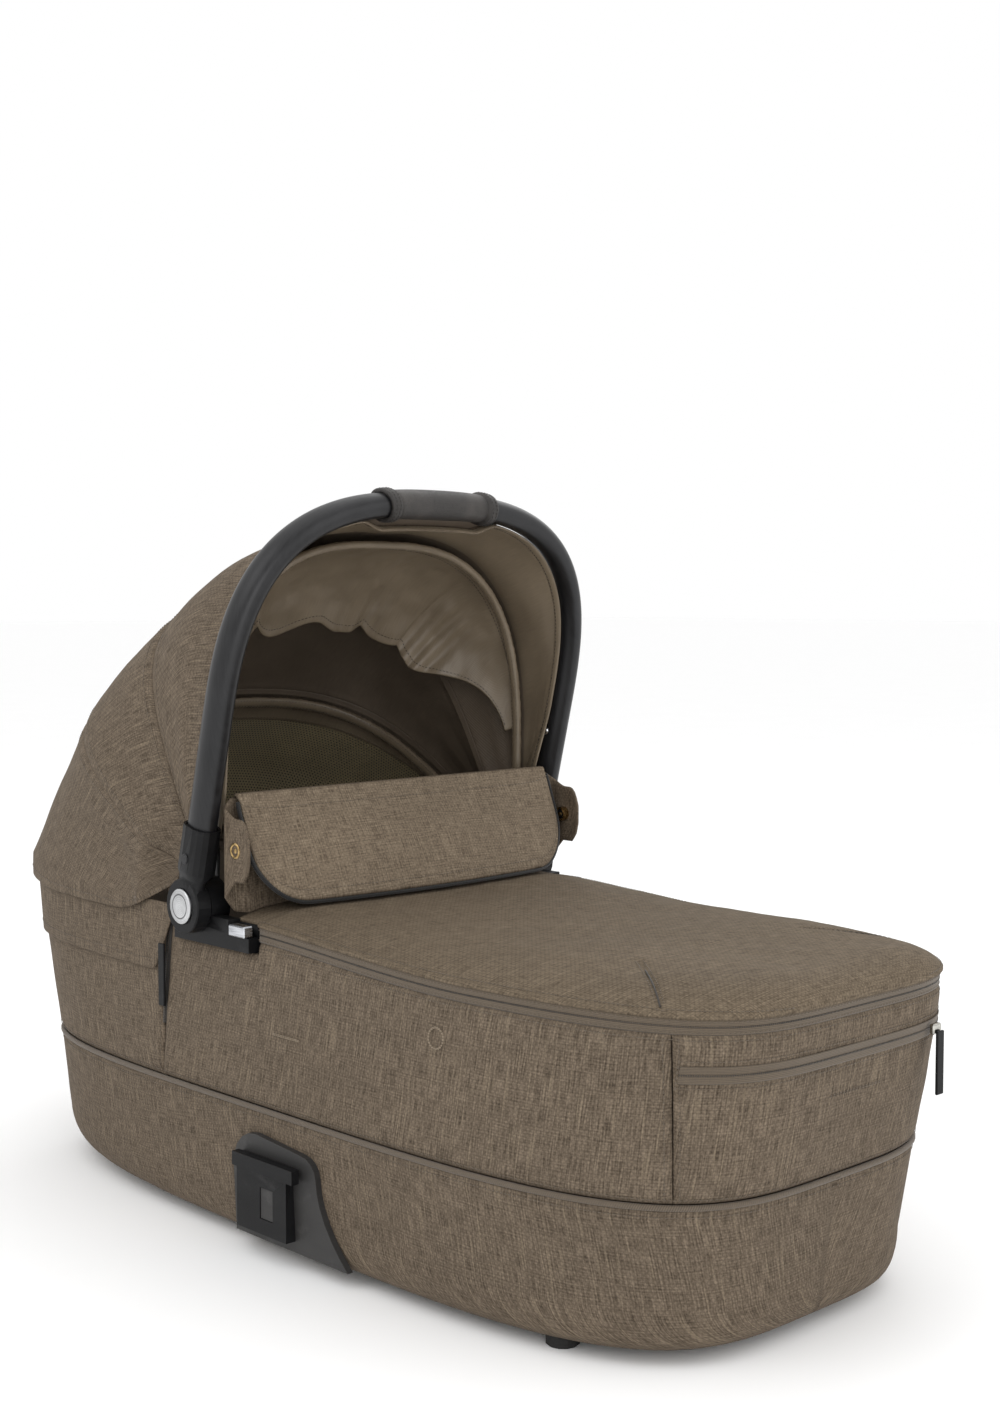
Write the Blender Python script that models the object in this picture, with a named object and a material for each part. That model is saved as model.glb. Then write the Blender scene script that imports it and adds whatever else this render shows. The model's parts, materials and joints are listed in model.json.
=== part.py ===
import bpy
import bmesh
from math import acos, asin, copysign, cos, degrees, pi, radians, sin, sqrt
from mathutils import Vector

# A carrycot: +X is the foot end, +Y the left side, +Z up, with the origin on the ground under its middle.
# Sizes are in metres and angles in degrees.

# Outline of the body at the apron edge
RIM_HALF_WIDTH = 0.1757
RIM_FOOT = 0.434
RIM_HEAD = 0.4295
RIM_HEIGHT = 0.2411
RIM_RISE = 0.012
RISE_START = 0.228
RISE_LENGTH = 0.281
RIM_FOOT_ROUNDNESS = 4.4
RIM_HEAD_ROUNDNESS = 4.6

# Outlines further down, each measured inwards from the one above:
# the piped seam, the knee of the base and its edge
SEAM_HEIGHT = 0.1122
SEAM_BULGE = 0.0097
SEAM_FOOT_TAPER = 0.0214
SEAM_HEAD_TAPER = 0.0426
SEAM_FOOT_ROUNDNESS = 3.85
SEAM_HEAD_ROUNDNESS = 4.2
KNEE_HEIGHT = 0.045
KNEE_TUCK = 0.0030
KNEE_FOOT_TAPER = 0.0106
KNEE_HEAD_TAPER = 0.0054
KNEE_FOOT_ROUNDNESS = 3.8
KNEE_HEAD_ROUNDNESS = 4.0
BASE_HEIGHT = 0.0117
BASE_TUCK = 0.0064
BASE_FOOT_TAPER = 0.011
BASE_HEAD_TAPER = 0.020
BASE_FOOT_ROUNDNESS = 3.7
BASE_HEAD_ROUNDNESS = 3.3
BASE_UNDERSIDE = 0.0085
BASE_CORNER = 0.008

# Fabric walls and what they hang on
CLEARANCE = 0.0003
COVER_THICKNESS = 0.003
BODY_BULGE = 0.0015
ZIP_BAND = 0.0134
ZIP_TAPE_THICKNESS = 0.0015
ZIP_RECESS = 0.0012
ZIP_TOP_GAP = 0.0016
PIPING_RADIUS = 0.0022
PIPING_RECESS = 0.0007
RIM_TUBE_WIDTH = 0.010
RIM_TUBE_HEIGHT = 0.012
RIM_TUBE_DROP = 0.0300
RIM_TUBE_GAP = 0.0012
LINER_THICKNESS = 0.005
LINER_TOP_DROP = 0.008
LINER_GAP = 0.0006
TRAY_THICKNESS = 0.004
TRAY_LIP = 0.020
TRAY_LIP_THICKNESS = 0.003
TRAY_GAP = 0.0025
TRAY_TUCK = 0.006
MATTRESS_HEIGHT = 0.045
MATTRESS_GAP = 0.005
MATTRESS_TUCK = 0.012
STRUT_LENGTH = 0.060
STRUT_THICKNESS = 0.0030

# Apron over the foot half, and the wind guard at its head edge
APRON_HEAD_EDGE = 0.035
APRON_THICKNESS = 0.003
APRON_CROWN = 0.017
APRON_HEAD_CROWN = 0.0085
APRON_CROWN_LENGTH = 0.30
APRON_SHOULDER = 0.035
APRON_FLATNESS = 6
GUARD_BACK = 0.044
GUARD_TOP = 0.3458
GUARD_HALF_WIDTH = 0.172
GUARD_THICKNESS = 0.0025
GUARD_GAP = 0.0006
EAR_SIDE = 0.180
EAR_TIP = 0.008
EAR_BOTTOM = 0.284
EAR_TOP = 0.331
COLLAR_HALF_WIDTH = 0.168
COLLAR_DROP = 0.079
COLLAR_THICKNESS = 0.0035
COLLAR_GAP = 0.0007
COLLAR_SWEEP = 0.030
COLLAR_BULGE = 0.016
COLLAR_CORNER = 0.042
COLLAR_PIPING_RADIUS = 0.0017
SNAP_RADIUS = 0.0063
SNAP_THICKNESS = 0.0022
SNAP_SHANK_RADIUS = 0.0018

# Pivots of the carrying handle
PIVOT_BACK = 0.076
PIVOT_RISE = 0.0069
DRUM_RADIUS = 0.0215
DRUM_INNER = 0.166
DRUM_WIDTH = 0.0175
DISC_RADIUS = 0.022
DISC_WIDTH = 0.0127
DISC_GAP = 0.001
GEAR_RECESS_RADIUS = 0.0142
DRUM_RECESS_DEPTH = 0.007
DISC_RECESS_DEPTH = 0.0045
GEAR_RADIUS = 0.0137
GEAR_TEETH = 10
GEAR_TOOTH_SHARE = 0.84
GEAR_WIDTH = 0.0075
GEAR_BACK_GAP = 0.0035
SPRING_BORE_RADIUS = 0.0062
SPRING_BORE_DEPTH = 0.0068
SPRING_RADIUS = 0.0047
SPRING_WIRE_RADIUS = 0.0005
SPRING_TURNS = 4
BUTTON_RADIUS = 0.0140
BUTTON_WIDTH = 0.0033
BUTTON_PROUD = 0.0023
BUTTON_BORE_GAP = 0.0006
STEM_RADIUS = 0.0050
STEM_GAP = 0.0004
COUNTERBORE_DEPTH = 0.0050
SADDLE_FRONT = 0.043
SADDLE_BACK = 0.031
SADDLE_BOTTOM = 0.230
SADDLE_INNER = 0.1722
SADDLE_WIDTH = 0.0113
SADDLE_GAP = 0.0055
BOSS_RADIUS = 0.0045
BOSS_LENGTH = 0.0095

# Release tab beside each pivot
TAB_START = 0.0284
TAB_LENGTH = 0.0204
TAB_HEIGHT = 0.0094
TAB_DEPTH = 0.009
TAB_PROUD = 0.0035
HOUSING_LENGTH = 0.0265
HOUSING_HEIGHT = 0.0113
TAB_WALL = 0.002

# Handle arch
HANDLE_ANGLE = 76.0
HANDLE_RADIUS = 0.328
HANDLE_SIDE = 0.188
HANDLE_ROUNDNESS = 2.9
HANDLE_LEG_SHARE = 0.45
TUBE_WIDE = 0.027
TUBE_TALL = 0.020
TUBE_START = 0.031
SOCKET_END = 0.066
SOCKET_WALL = 0.0021
SOCKET_FLOOR = 0.029
SOCKET_GAP = 0.0004
SOCKET_ROUNDNESS = 2.6
NECK_START = 0.016
NECK_END = 0.0235
NECK_WIDTH = 0.0115
GRIP_HALF_LENGTH = 0.0573
GRIP_THICKNESS = 0.0010
GRIP_BAND_WIDTH = 0.009
GRIP_BAND_THICKNESS = 0.0020
SOCKET_SCREW_PLACE = 0.040
SOCKET_SCREW_RADIUS = 0.0042
SCREW_THICKNESS = 0.0008
ARM_SCREW_PLACE = 0.125
ARM_SCREW_RADIUS = 0.0035

# Hood: sections around the pivot line, each with its angle, reach, half width and roundness.
# Reach is a share of the handle's radius and half width a share of the rim's.
HOOD_SECTION_SHARES = (
    (76.0, 0.971, 1.013, 2.6),
    (88.0, 0.915, 1.025, 2.8),
    (99.0, 0.892, 1.027, 3.0),
    (108.0, 0.862, 1.009, 3.2),
    (118.3, 0.840, 0.977, 3.4),
    (147.4, 0.876, 1.077, 3.3),
    (166.0, 0.961, 1.075, 3.2),
)
HOOD_LEG_SHARE = 0.3
HOOD_THICKNESS = 0.0015
HOOD_SEAM_GAP = 0.0008
HOOD_HUB_SIDE = 0.1715
HOOD_START = 0.036
FRONT_SEAM_ANGLE = 118.3
REAR_SEAM_ANGLE = 147.4
REAR_START = 0.042
HEM_GROW_SIDE = 0.0070
HEM_GROW_HEAD = 0.0050
HEM_DROP = 0.0095
HEM_CLIMB = 0.56
HEM_CLIMB_START = 0.199
HEM_CLIMB_EASE = 0.050
HEM_TAIL_RISE = 0.0070
HEM_TAIL_START = 0.300
HEM_SIDE_START = 0.165
HEM_HUB_PLACE = 0.120
HEM_BAND_SHARE = 0.88
REAR_BULGE = 0.002
SLOT_HALF_LENGTH = 0.050
SLOT_RAMP = 0.025
SLOT_DEPTH = 0.010
HANDLE_FABRIC_GAP = 0.0010
SKIRT_START = 0.111
SKIRT_TOP = 0.0010
SKIRT_BOTTOM = 0.200
SKIRT_SLANT = 0.040
SKIRT_GAP = 0.0006

# Hood bows, their eyes on the pivot bosses, and what hangs inside
BOW_RADIUS = 0.003
FRONT_BOW_ANGLE = 88.0
FRONT_BOW_INSET = 0.013
REAR_BOW_INSET = 0.022
BOW_EYE_RADIUS = 0.0085
BOW_EYE_GAP = 0.0004
BOW_EYE_THICKNESS = 0.0032
BOW_LANE_GAP = 0.0006
DRAPE_END_ANGLE = 112.0
DRAPE_INSET = 0.012
DRAPE_DROP = 0.040
DRAPE_THICKNESS = 0.0015
DRAPE_FOLDS = 7
DRAPE_FOLD_DEPTH = 0.006
WINDOW_START_ANGLE = 150.0
WINDOW_END_ANGLE = 177.0
WINDOW_INSET = 0.0089
WINDOW_THICKNESS = 0.0012

# Pocket zip on the foot panel and slit zips on the sides
FOOT_SEAM_ANGLE = 38.8
FOOT_SEAM_LOW_SHARE = 0.825
PANEL_GAP = 0.0006
POCKET_ZIP_HEIGHT = 0.0110
POCKET_ZIP_LEVEL = 0.2020
POCKET_ZIP_ANGLE = 33.0
POCKET_TAPE_THICKNESS = 0.0015
POCKET_SLIDER_PLACE = 0.088
SLIDER_LENGTH = 0.010
SLIDER_WIDTH = 0.0075
SLIDER_THICKNESS = 0.004
PULLER_LENGTH = 0.044
PULLER_WIDTH = 0.008
PULLER_THICKNESS = 0.0022
PULLER_GAP = 0.0006
SLIT_PLACE = 0.125
SLIT_HALF_WIDTH = 0.0045
SLIT_FOOT_HALF_WIDTH = 0.0006
SLIT_BOTTOM_SHARE = 0.14
SLIT_TAPE_THICKNESS = 0.0015
SIDE_SLIDER_DROP = 0.030
SIDE_SLIDER_WIDTH = 0.006
SIDE_PULLER_LENGTH = 0.050

# Stroller adapters on the lower sides
ADAPTER_REAR = 0.0213
ADAPTER_FRONT = 0.0816
ADAPTER_TOP = 0.0942
ADAPTER_SHOULDER = 0.0893
ADAPTER_FLARE = 0.034
ADAPTER_BOTTOM = 0.0125
ADAPTER_ARCH = 0.030
ADAPTER_THICKNESS = 0.005
CONNECTOR_REAR = 0.0087
CONNECTOR_FRONT = 0.0661
CONNECTOR_PLATE_FRONT = 0.0544
CONNECTOR_LOW = 0.0214
CONNECTOR_LIP_BOTTOM = 0.0690
CONNECTOR_LIP_TOP = 0.0796
CONNECTOR_PROUD = 0.0100
CONNECTOR_PLATE_PROUD = 0.0065
CONNECTOR_EDGE = 0.0012
CONNECTOR_WINDOW_WIDTH = 0.0160
CONNECTOR_WINDOW_HEIGHT = 0.0240
CONNECTOR_WINDOW_PLACE = 0.030
LATCH_GAP = 0.0004
LATCH_THICKNESS = 0.0025
LATCH_DEPTH = 0.0006

# Feet
FOOT_RADIUS = 0.012
FOOT_REACH_SHARE = 0.74
FOOT_SIDE_SHARE = 0.8
HEAD_FOOT_REACH_SHARE = 0.725
HEAD_FOOT_SIDE_SHARE = 0.71
FOOT_EDGE = 0.001

# Counts that set how finely round shapes are cut
RING_STEPS = 48
ARCH_STEPS = 18
TUBE_SIDES = 12
GRIP_STEPS = 4
ROUND_STEPS = 24

WOVEN = (0.139, 0.105, 0.071)
LIGHT_WOVEN = (0.162, 0.124, 0.086)
DARK_LINING = (0.045, 0.037, 0.029)
BLACK = (0.012, 0.012, 0.013)
CHARCOAL = (0.022, 0.022, 0.024)
SILVER = (0.62, 0.62, 0.60)
BRASS = (0.43, 0.31, 0.15)


def remove_objects():
    for item in list(bpy.data.objects):
        bpy.data.objects.remove(item)


def finish(name, colour, roughness, metallic=0.0):
    material = bpy.data.materials.new(name + "_finish")
    material.use_nodes = True
    shader = material.node_tree.nodes["Principled BSDF"]
    shader.inputs["Base Color"].default_value = (*colour, 1.0)
    shader.inputs["Roughness"].default_value = roughness
    shader.inputs["Metallic"].default_value = metallic
    return material


def add_object(name, shape, look, smooth=True, pivot=None):
    mesh = bpy.data.meshes.new(name)
    if pivot is not None:
        bmesh.ops.translate(shape, verts=shape.verts, vec=-Vector(pivot))
    shape.to_mesh(mesh)
    shape.free()
    if smooth:
        mesh.shade_smooth()
        mesh.set_sharp_from_angle(angle=radians(40))
    item = bpy.data.objects.new(name, mesh)
    if pivot is not None:
        item.location = pivot
    mesh.materials.append(finish(name, *look))
    bpy.context.scene.collection.objects.link(item)
    return item


def add_faces(shape, rows, around):
    # rows of equally many vertices, joined by quads; around closes each row on itself
    count = len(rows[0])
    for row, following in zip(rows, rows[1:]):
        for index in range(count if around else count - 1):
            step = (index + 1) % count
            shape.faces.new((row[index], row[step], following[step], following[index]))


def loft(shape, rings, closed=False):
    # a solid through rings of points; closed joins the last ring to the first
    rows = [[shape.verts.new(point) for point in ring] for ring in rings]
    if closed:
        add_faces(shape, rows + [rows[0]], True)
    else:
        add_faces(shape, rows, True)
        shape.faces.new(rows[0])
        shape.faces.new(rows[-1])
    return shape


def lofted(name, groups, look, closed=False, smooth=True, pivot=None):
    shape = bmesh.new()
    for rings in groups:
        loft(shape, rings, closed)
    bmesh.ops.recalc_face_normals(shape, faces=shape.faces)
    return add_object(name, shape, look, smooth, pivot)


def sheet(name, grid, look, thickness, inside, around=False, capped=False, pivot=None):
    # a cloth or shell whose outer face is the grid; inside is a point on the side its thickness grows to
    shape = bmesh.new()
    rows = [[shape.verts.new(point) for point in row] for row in grid]
    add_faces(shape, rows, around)
    if capped:
        shape.faces.new(rows[0])
    bmesh.ops.recalc_face_normals(shape, faces=shape.faces)
    facing = sum((face.normal.dot(face.calc_center_median() - Vector(inside)) * face.calc_area())
                 for face in shape.faces)
    if facing < 0:
        bmesh.ops.reverse_faces(shape, faces=shape.faces)
    item = add_object(name, shape, look, True, pivot)
    wall = item.modifiers.new("wall", "SOLIDIFY")
    wall.thickness = thickness
    wall.offset = -1
    wall.use_even_offset = True
    return item


def join_solid(item, other, operation="UNION"):
    cut = item.modifiers.new("join", "BOOLEAN")
    cut.operation = operation
    cut.object = other
    cut.solver = "EXACT"
    other.hide_render = True
    other.display_type = "WIRE"


def power(value, exponent):
    return copysign(abs(value) ** exponent, value)


def smooth_step(value):
    value = min(1.0, max(0.0, value))
    return value * value * (3 - 2 * value)


def outline_point(angle, foot, head, half_width, foot_roundness, head_roundness, grow=0.0):
    # a rounded rectangle, as a superellipse with its own roundness at each end
    roundness = foot_roundness if cos(angle) > 0 else head_roundness
    exponent = 2 / roundness
    middle = (foot - head) / 2
    half_length = (foot + head) / 2 + grow
    x = middle + half_length * power(cos(angle), exponent)
    y = (half_width + grow) * power(sin(angle), exponent)
    return x, y


def rim_outline(angle, grow=0.0):
    return outline_point(angle, RIM_FOOT, RIM_HEAD, RIM_HALF_WIDTH,
                         RIM_FOOT_ROUNDNESS, RIM_HEAD_ROUNDNESS, grow)


SEAM_FOOT = RIM_FOOT - SEAM_FOOT_TAPER
SEAM_HEAD = RIM_HEAD - SEAM_HEAD_TAPER
SEAM_HALF_WIDTH = RIM_HALF_WIDTH + SEAM_BULGE
KNEE_HALF_WIDTH = SEAM_HALF_WIDTH - KNEE_TUCK
KNEE_FOOT = SEAM_FOOT - KNEE_FOOT_TAPER
KNEE_HEAD = SEAM_HEAD - KNEE_HEAD_TAPER
BASE_HALF_WIDTH = KNEE_HALF_WIDTH - BASE_TUCK
BASE_FOOT = KNEE_FOOT - BASE_FOOT_TAPER
BASE_HEAD = KNEE_HEAD - BASE_HEAD_TAPER


def seam_outline(angle, grow=0.0):
    return outline_point(angle, SEAM_FOOT, SEAM_HEAD, SEAM_HALF_WIDTH,
                         SEAM_FOOT_ROUNDNESS, SEAM_HEAD_ROUNDNESS, grow)


def knee_outline(angle, grow=0.0):
    return outline_point(angle, KNEE_FOOT, KNEE_HEAD, KNEE_HALF_WIDTH,
                         KNEE_FOOT_ROUNDNESS, KNEE_HEAD_ROUNDNESS, grow)


def base_outline(angle, grow=0.0):
    return outline_point(angle, BASE_FOOT, BASE_HEAD, BASE_HALF_WIDTH,
                         BASE_FOOT_ROUNDNESS, BASE_HEAD_ROUNDNESS, grow)


def rim_height(x):
    return RIM_HEIGHT + RIM_RISE * smooth_step((RISE_START - x) / RISE_LENGTH)


RIM_TOP = RIM_HEIGHT + RIM_RISE
PIVOT_X = -PIVOT_BACK
PIVOT_Z = RIM_TOP + PIVOT_RISE
PIVOT = (PIVOT_X, 0.0, PIVOT_Z)
DRUM_OUTER = DRUM_INNER + DRUM_WIDTH
DISC_INNER = DRUM_OUTER + DISC_GAP
DISC_OUTER = DISC_INNER + DISC_WIDTH
CABIN_MIDDLE = (0.0, 0.0, SEAM_HEIGHT)


def rim_angle_at(x, side):
    # the angle of the rim outline where it passes x, on the side of sign side
    middle = (RIM_FOOT - RIM_HEAD) / 2
    half_length = (RIM_FOOT + RIM_HEAD) / 2
    share = (x - middle) / half_length
    roundness = RIM_FOOT_ROUNDNESS if share > 0 else RIM_HEAD_ROUNDNESS
    return side * acos(power(share, roundness / 2))


def upper_wall_point(angle, share, grow=0.0):
    # a point of the upper wall, share 0 at the piped seam and 1 at the rim
    rim_x, rim_y = rim_outline(angle, grow)
    seam_x, seam_y = seam_outline(angle, grow)
    bulge = BODY_BULGE * (1 - (2 * share - 1) ** 2)
    x = seam_x + (rim_x - seam_x) * share
    y = seam_y + (rim_y - seam_y) * share
    length = sqrt(x * x + y * y)
    z = SEAM_HEIGHT + (rim_height(rim_x) - SEAM_HEIGHT) * share
    return (x + bulge * x / length, y + bulge * y / length, z)


def upper_share(angle, drop):
    # the share of the upper wall that lies drop below the rim
    height = rim_height(rim_outline(angle)[0]) - SEAM_HEIGHT
    return 1 - drop / height


def lower_wall_point(angle, height, grow=0.0):
    # the lower wall leans in a little down to its knee, and rounds under from there to the base
    knee_x, knee_y = knee_outline(angle, grow)
    if height > KNEE_HEIGHT:
        share = (height - KNEE_HEIGHT) / (SEAM_HEIGHT - KNEE_HEIGHT)
        other_x, other_y = seam_outline(angle, grow)
    else:
        share = 1 - sqrt(1 - min(1.0, (KNEE_HEIGHT - height) / (KNEE_HEIGHT - BASE_HEIGHT)) ** 2)
        other_x, other_y = base_outline(angle, grow)
    return (knee_x + (other_x - knee_x) * share, knee_y + (other_y - knee_y) * share, height)


def ring_angles(count=RING_STEPS):
    return [2 * pi * index / count for index in range(count)]


def spread(first, last, count):
    return [first + (last - first) * index / count for index in range(count + 1)]


def body_angles(first, last):
    # the shared ring angles strictly between two angles, with both ends
    step = 2 * pi / RING_STEPS
    margin = step / 4
    inner = [index * step for index in range(-RING_STEPS, 2 * RING_STEPS)
             if first + margin < index * step < last - margin]
    return [first] + inner + [last]


def build_base():
    angles = ring_angles()
    seat = PIPING_RADIUS + CLEARANCE
    rings = [[(*base_outline(angle, -BASE_CORNER), BASE_UNDERSIDE) for angle in angles]]
    mid_drop = (BASE_HEIGHT - BASE_UNDERSIDE) / 4
    rings.append([(*base_outline(angle, -BASE_CORNER / 4), BASE_UNDERSIDE + mid_drop) for angle in angles])
    for height in (BASE_HEIGHT, (BASE_HEIGHT * 2 + KNEE_HEIGHT) / 3, KNEE_HEIGHT, SEAM_HEIGHT - seat):
        rings.append([lower_wall_point(angle, height) for angle in angles])
    sheet("lower_cover", rings, (WOVEN, 0.9), COVER_THICKNESS, CABIN_MIDDLE, around=True, capped=True)

    floor = BASE_UNDERSIDE + COVER_THICKNESS + CLEARANCE
    outer = COVER_THICKNESS + TRAY_GAP
    low = outer + TRAY_TUCK
    inner = outer + TRAY_LIP_THICKNESS
    flat_inset = outer + BASE_CORNER
    lip = floor + TRAY_LIP
    rings = [[(*base_outline(angle, -flat_inset), floor) for angle in angles]]
    for height, inset in ((floor + BASE_CORNER / 2, low), (lip, outer), (lip, inner),
                          (floor + TRAY_THICKNESS + BASE_CORNER / 2, low + TRAY_LIP_THICKNESS)):
        rings.append([lower_wall_point(angle, height, -inset) for angle in angles])
    rings.append([(*base_outline(angle, -flat_inset), floor + TRAY_THICKNESS) for angle in angles])
    lofted("base_tray", [rings], (CHARCOAL, 0.6))
    return floor + TRAY_THICKNESS, lip, inner


def build_feet():
    levels = ((0.0, FOOT_RADIUS - FOOT_EDGE), (FOOT_EDGE, FOOT_RADIUS),
              (BASE_UNDERSIDE - CLEARANCE, FOOT_RADIUS))
    places = ((BASE_FOOT * FOOT_REACH_SHARE, BASE_HALF_WIDTH * FOOT_SIDE_SHARE, "foot"),
              (-BASE_HEAD * HEAD_FOOT_REACH_SHARE, BASE_HALF_WIDTH * HEAD_FOOT_SIDE_SHARE, "head"))
    for x, y, end in places:
        for side, word in ((1, "left"), (-1, "right")):
            rings = [circle_flat((x, side * y), radius, height, ROUND_STEPS // 2) for height, radius in levels]
            lofted("rubber_foot_" + end + "_" + word, [rings], (BLACK, 0.7))


def circle_flat(centre, radius, height, count):
    return [(centre[0] + radius * cos(angle), centre[1] + radius * sin(angle), height)
            for angle in ring_angles(count)]


def circle_side(x, y, z, radius, count=ROUND_STEPS):
    # a circle that faces sideways, centred on x and z
    return [(x + radius * cos(angle), y, z + radius * sin(angle)) for angle in ring_angles(count)]


def build_upper_cover():
    low = (PIPING_RADIUS + CLEARANCE) / (RIM_HEIGHT - SEAM_HEIGHT)
    saddle_front = PIVOT_X + SADDLE_FRONT + HOUSING_LENGTH + SADDLE_GAP / 2
    saddle_back = PIVOT_X - SADDLE_BACK - SADDLE_GAP
    saddle_drop = RIM_TOP - SADDLE_BOTTOM + CLEARANCE

    def columns(angles, tops, leaning):
        # leaning columns swing towards the middle of the foot on their way down
        grid = []
        for level in range(4):
            row = []
            for index, (angle, top) in enumerate(zip(angles, tops)):
                share = low + (top - low) * level / 3
                lean = FOOT_SEAM_LOW_SHARE + (1 - FOOT_SEAM_LOW_SHARE) * level / 3 if index in leaning else 1.0
                row.append(upper_wall_point(angle * lean, share))
            grid.append(row)
        return grid

    seam = radians(FOOT_SEAM_ANGLE)
    gap = PANEL_GAP / RIM_HALF_WIDTH
    foot_angles = spread(-seam + gap, seam - gap, 12)
    tops = [upper_share(angle, ZIP_BAND + CLEARANCE) for angle in foot_angles]
    grid = columns(foot_angles, tops, range(13))
    sheet("foot_panel", grid, (WOVEN, 0.9), COVER_THICKNESS, CABIN_MIDDLE)

    for side, word in ((1, "left"), (-1, "right")):
        front = rim_angle_at(saddle_front, 1)
        back = rim_angle_at(saddle_back, 1)
        slit = rim_angle_at(-SLIT_PLACE + SLIT_HALF_WIDTH, 1)
        just_back = rim_angle_at(saddle_back - PANEL_GAP, 1)
        just_front = rim_angle_at(saddle_front + PANEL_GAP, 1)
        ahead = body_angles(seam + gap, just_front)
        across = body_angles(front, back)
        angles = ahead + across + [just_back, slit]
        drops = [ZIP_BAND + CLEARANCE] * len(ahead) + [saddle_drop] * len(across) + [CLEARANCE] * 2
        tops = [upper_share(angle, drop) for angle, drop in zip(angles, drops)]
        grid = columns([side * angle for angle in angles], tops, (0,))
        set_slit_edge(grid, -1, 1)
        sheet("side_panel_" + word, grid, (WOVEN, 0.9), COVER_THICKNESS, CABIN_MIDDLE)

    start = rim_angle_at(-SLIT_PLACE - SLIT_HALF_WIDTH, 1)
    head_angles = body_angles(start, 2 * pi - start)
    tops = [upper_share(angle, CLEARANCE) for angle in head_angles]
    grid = columns(head_angles, tops, ())
    set_slit_edge(grid, 0, -1)
    set_slit_edge(grid, -1, -1)
    sheet("head_panel", grid, (WOVEN, 0.9), COVER_THICKNESS, CABIN_MIDDLE)


def set_slit_edge(grid, column, way):
    # an upright edge of the slit, which closes towards the seam
    top = len(grid) - 1
    for level, row in enumerate(grid):
        x, y, z = row[column]
        half = SLIT_FOOT_HALF_WIDTH + (SLIT_HALF_WIDTH - SLIT_FOOT_HALF_WIDTH) * min(1.0, 1.5 * level / top)
        row[column] = (way * half - SLIT_PLACE, y, z)


def build_piping_and_rim(lip):
    angles = ring_angles()
    path = [(*seam_outline(angle, -PIPING_RECESS), SEAM_HEIGHT) for angle in angles]
    lofted("seam_piping", [tube_rings(path, PIPING_RADIUS, PIPING_RADIUS, 6, Vector((0, 0, 1)), True)],
           (BLACK, 0.6), closed=True)
    inset = COVER_THICKNESS + RIM_TUBE_GAP + RIM_TUBE_WIDTH / 2
    path = [upper_wall_point(angle, upper_share(angle, RIM_TUBE_DROP), -inset) for angle in angles]
    frame = lofted("rim_frame", [tube_rings(path, RIM_TUBE_HEIGHT / 2, RIM_TUBE_WIDTH / 2, 6,
                   Vector((0, 0, 1)), True)], (CHARCOAL, 0.5, 0.4), closed=True)
    add_uprights(frame, lip + CLEARANCE)
    return inset + RIM_TUBE_WIDTH / 2


def add_uprights(frame, low):
    # flat uprights inside the wall, from the tray's lip to the rim tube, welded to it
    outer = COVER_THICKNESS + RIM_TUBE_GAP
    inner = outer + STRUT_THICKNESS
    for side, word in ((1, "left"), (-1, "right")):
        front = rim_angle_at(STRUT_LENGTH / 2, side)
        back = rim_angle_at(-STRUT_LENGTH / 2, side)
        top = upper_share(front, RIM_TUBE_DROP)
        rings = []
        for share in (0.0, 0.5, 1.0):
            height = low + (SEAM_HEIGHT - low) * share
            rings.append([lower_wall_point(angle, height, -inset) for angle, inset in
                          ((front, outer), (back, outer), (back, inner), (front, inner))])
        for share in (0.5 * top, top):
            rings.append([upper_wall_point(angle, share, -inset - BODY_BULGE) for angle, inset in
                          ((front, outer), (back, outer), (back, inner), (front, inner))])
        upright = lofted("upright_" + word, [rings], (CHARCOAL, 0.5, 0.4), smooth=False)
        join_solid(frame, upright)


def tube_rings(path, wide, tall, sides, wide_direction, closed=False, roundness=2.0):
    # rings along a path; wide is the half size along wide_direction, tall the half size across it
    points = [Vector(point) for point in path]
    count = len(points)
    rings = []
    for index, point in enumerate(points):
        before = points[index - 1] if closed or index > 0 else point
        after = points[(index + 1) % count] if closed or index < count - 1 else point
        along = (after - before).normalized()
        across = along.cross(wide_direction).normalized()
        upright = across.cross(along).normalized()
        ring = []
        for turn in ring_angles(sides):
            angle = turn + pi / sides
            ring.append(point + upright * (wide * power(cos(angle), 2 / roundness))
                        + across * (tall * power(sin(angle), 2 / roundness)))
        rings.append(ring)
    return rings


def build_lining(tray_floor, lip, tray_inset, rim_inset):
    angles = ring_angles()
    top_inset = rim_inset + LINER_GAP
    low_inset = tray_inset + LINER_GAP
    flat_inset = low_inset + BASE_CORNER
    rings = [[(*base_outline(angle, -flat_inset), tray_floor + CLEARANCE) for angle in angles]]
    rings.append([lower_wall_point(angle, lip, -low_inset) for angle in angles])
    rings.append([lower_wall_point(angle, SEAM_HEIGHT, -top_inset) for angle in angles])
    rings.append([upper_wall_point(angle, upper_share(angle, LINER_TOP_DROP), -top_inset) for angle in angles])
    sheet("inner_liner", rings, (DARK_LINING, 0.9), LINER_THICKNESS, CABIN_MIDDLE, around=True)

    # mattress with a crown and drawn-in sides
    low = tray_floor + CLEARANCE
    edge = low_inset + LINER_THICKNESS + MATTRESS_GAP
    tuck = MATTRESS_TUCK
    rings = []
    for share, inset in ((0.0, tuck), (0.12, tuck * 0.6)):
        rings.append([(*base_outline(angle, -edge - inset), low + MATTRESS_HEIGHT * share) for angle in angles])
    for share, inset in ((0.40, 0.0), (0.62, tuck * 0.15), (0.84, tuck), (0.95, tuck * 3)):
        rings.append([(*knee_outline(angle, -edge - inset), low + MATTRESS_HEIGHT * share) for angle in angles])
    crown = low + MATTRESS_HEIGHT
    rings.append([(*knee_outline(angle, -edge - KNEE_HALF_WIDTH * 0.55), crown) for angle in angles])
    lofted("mattress", [rings], (LIGHT_WOVEN, 0.9))


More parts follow.
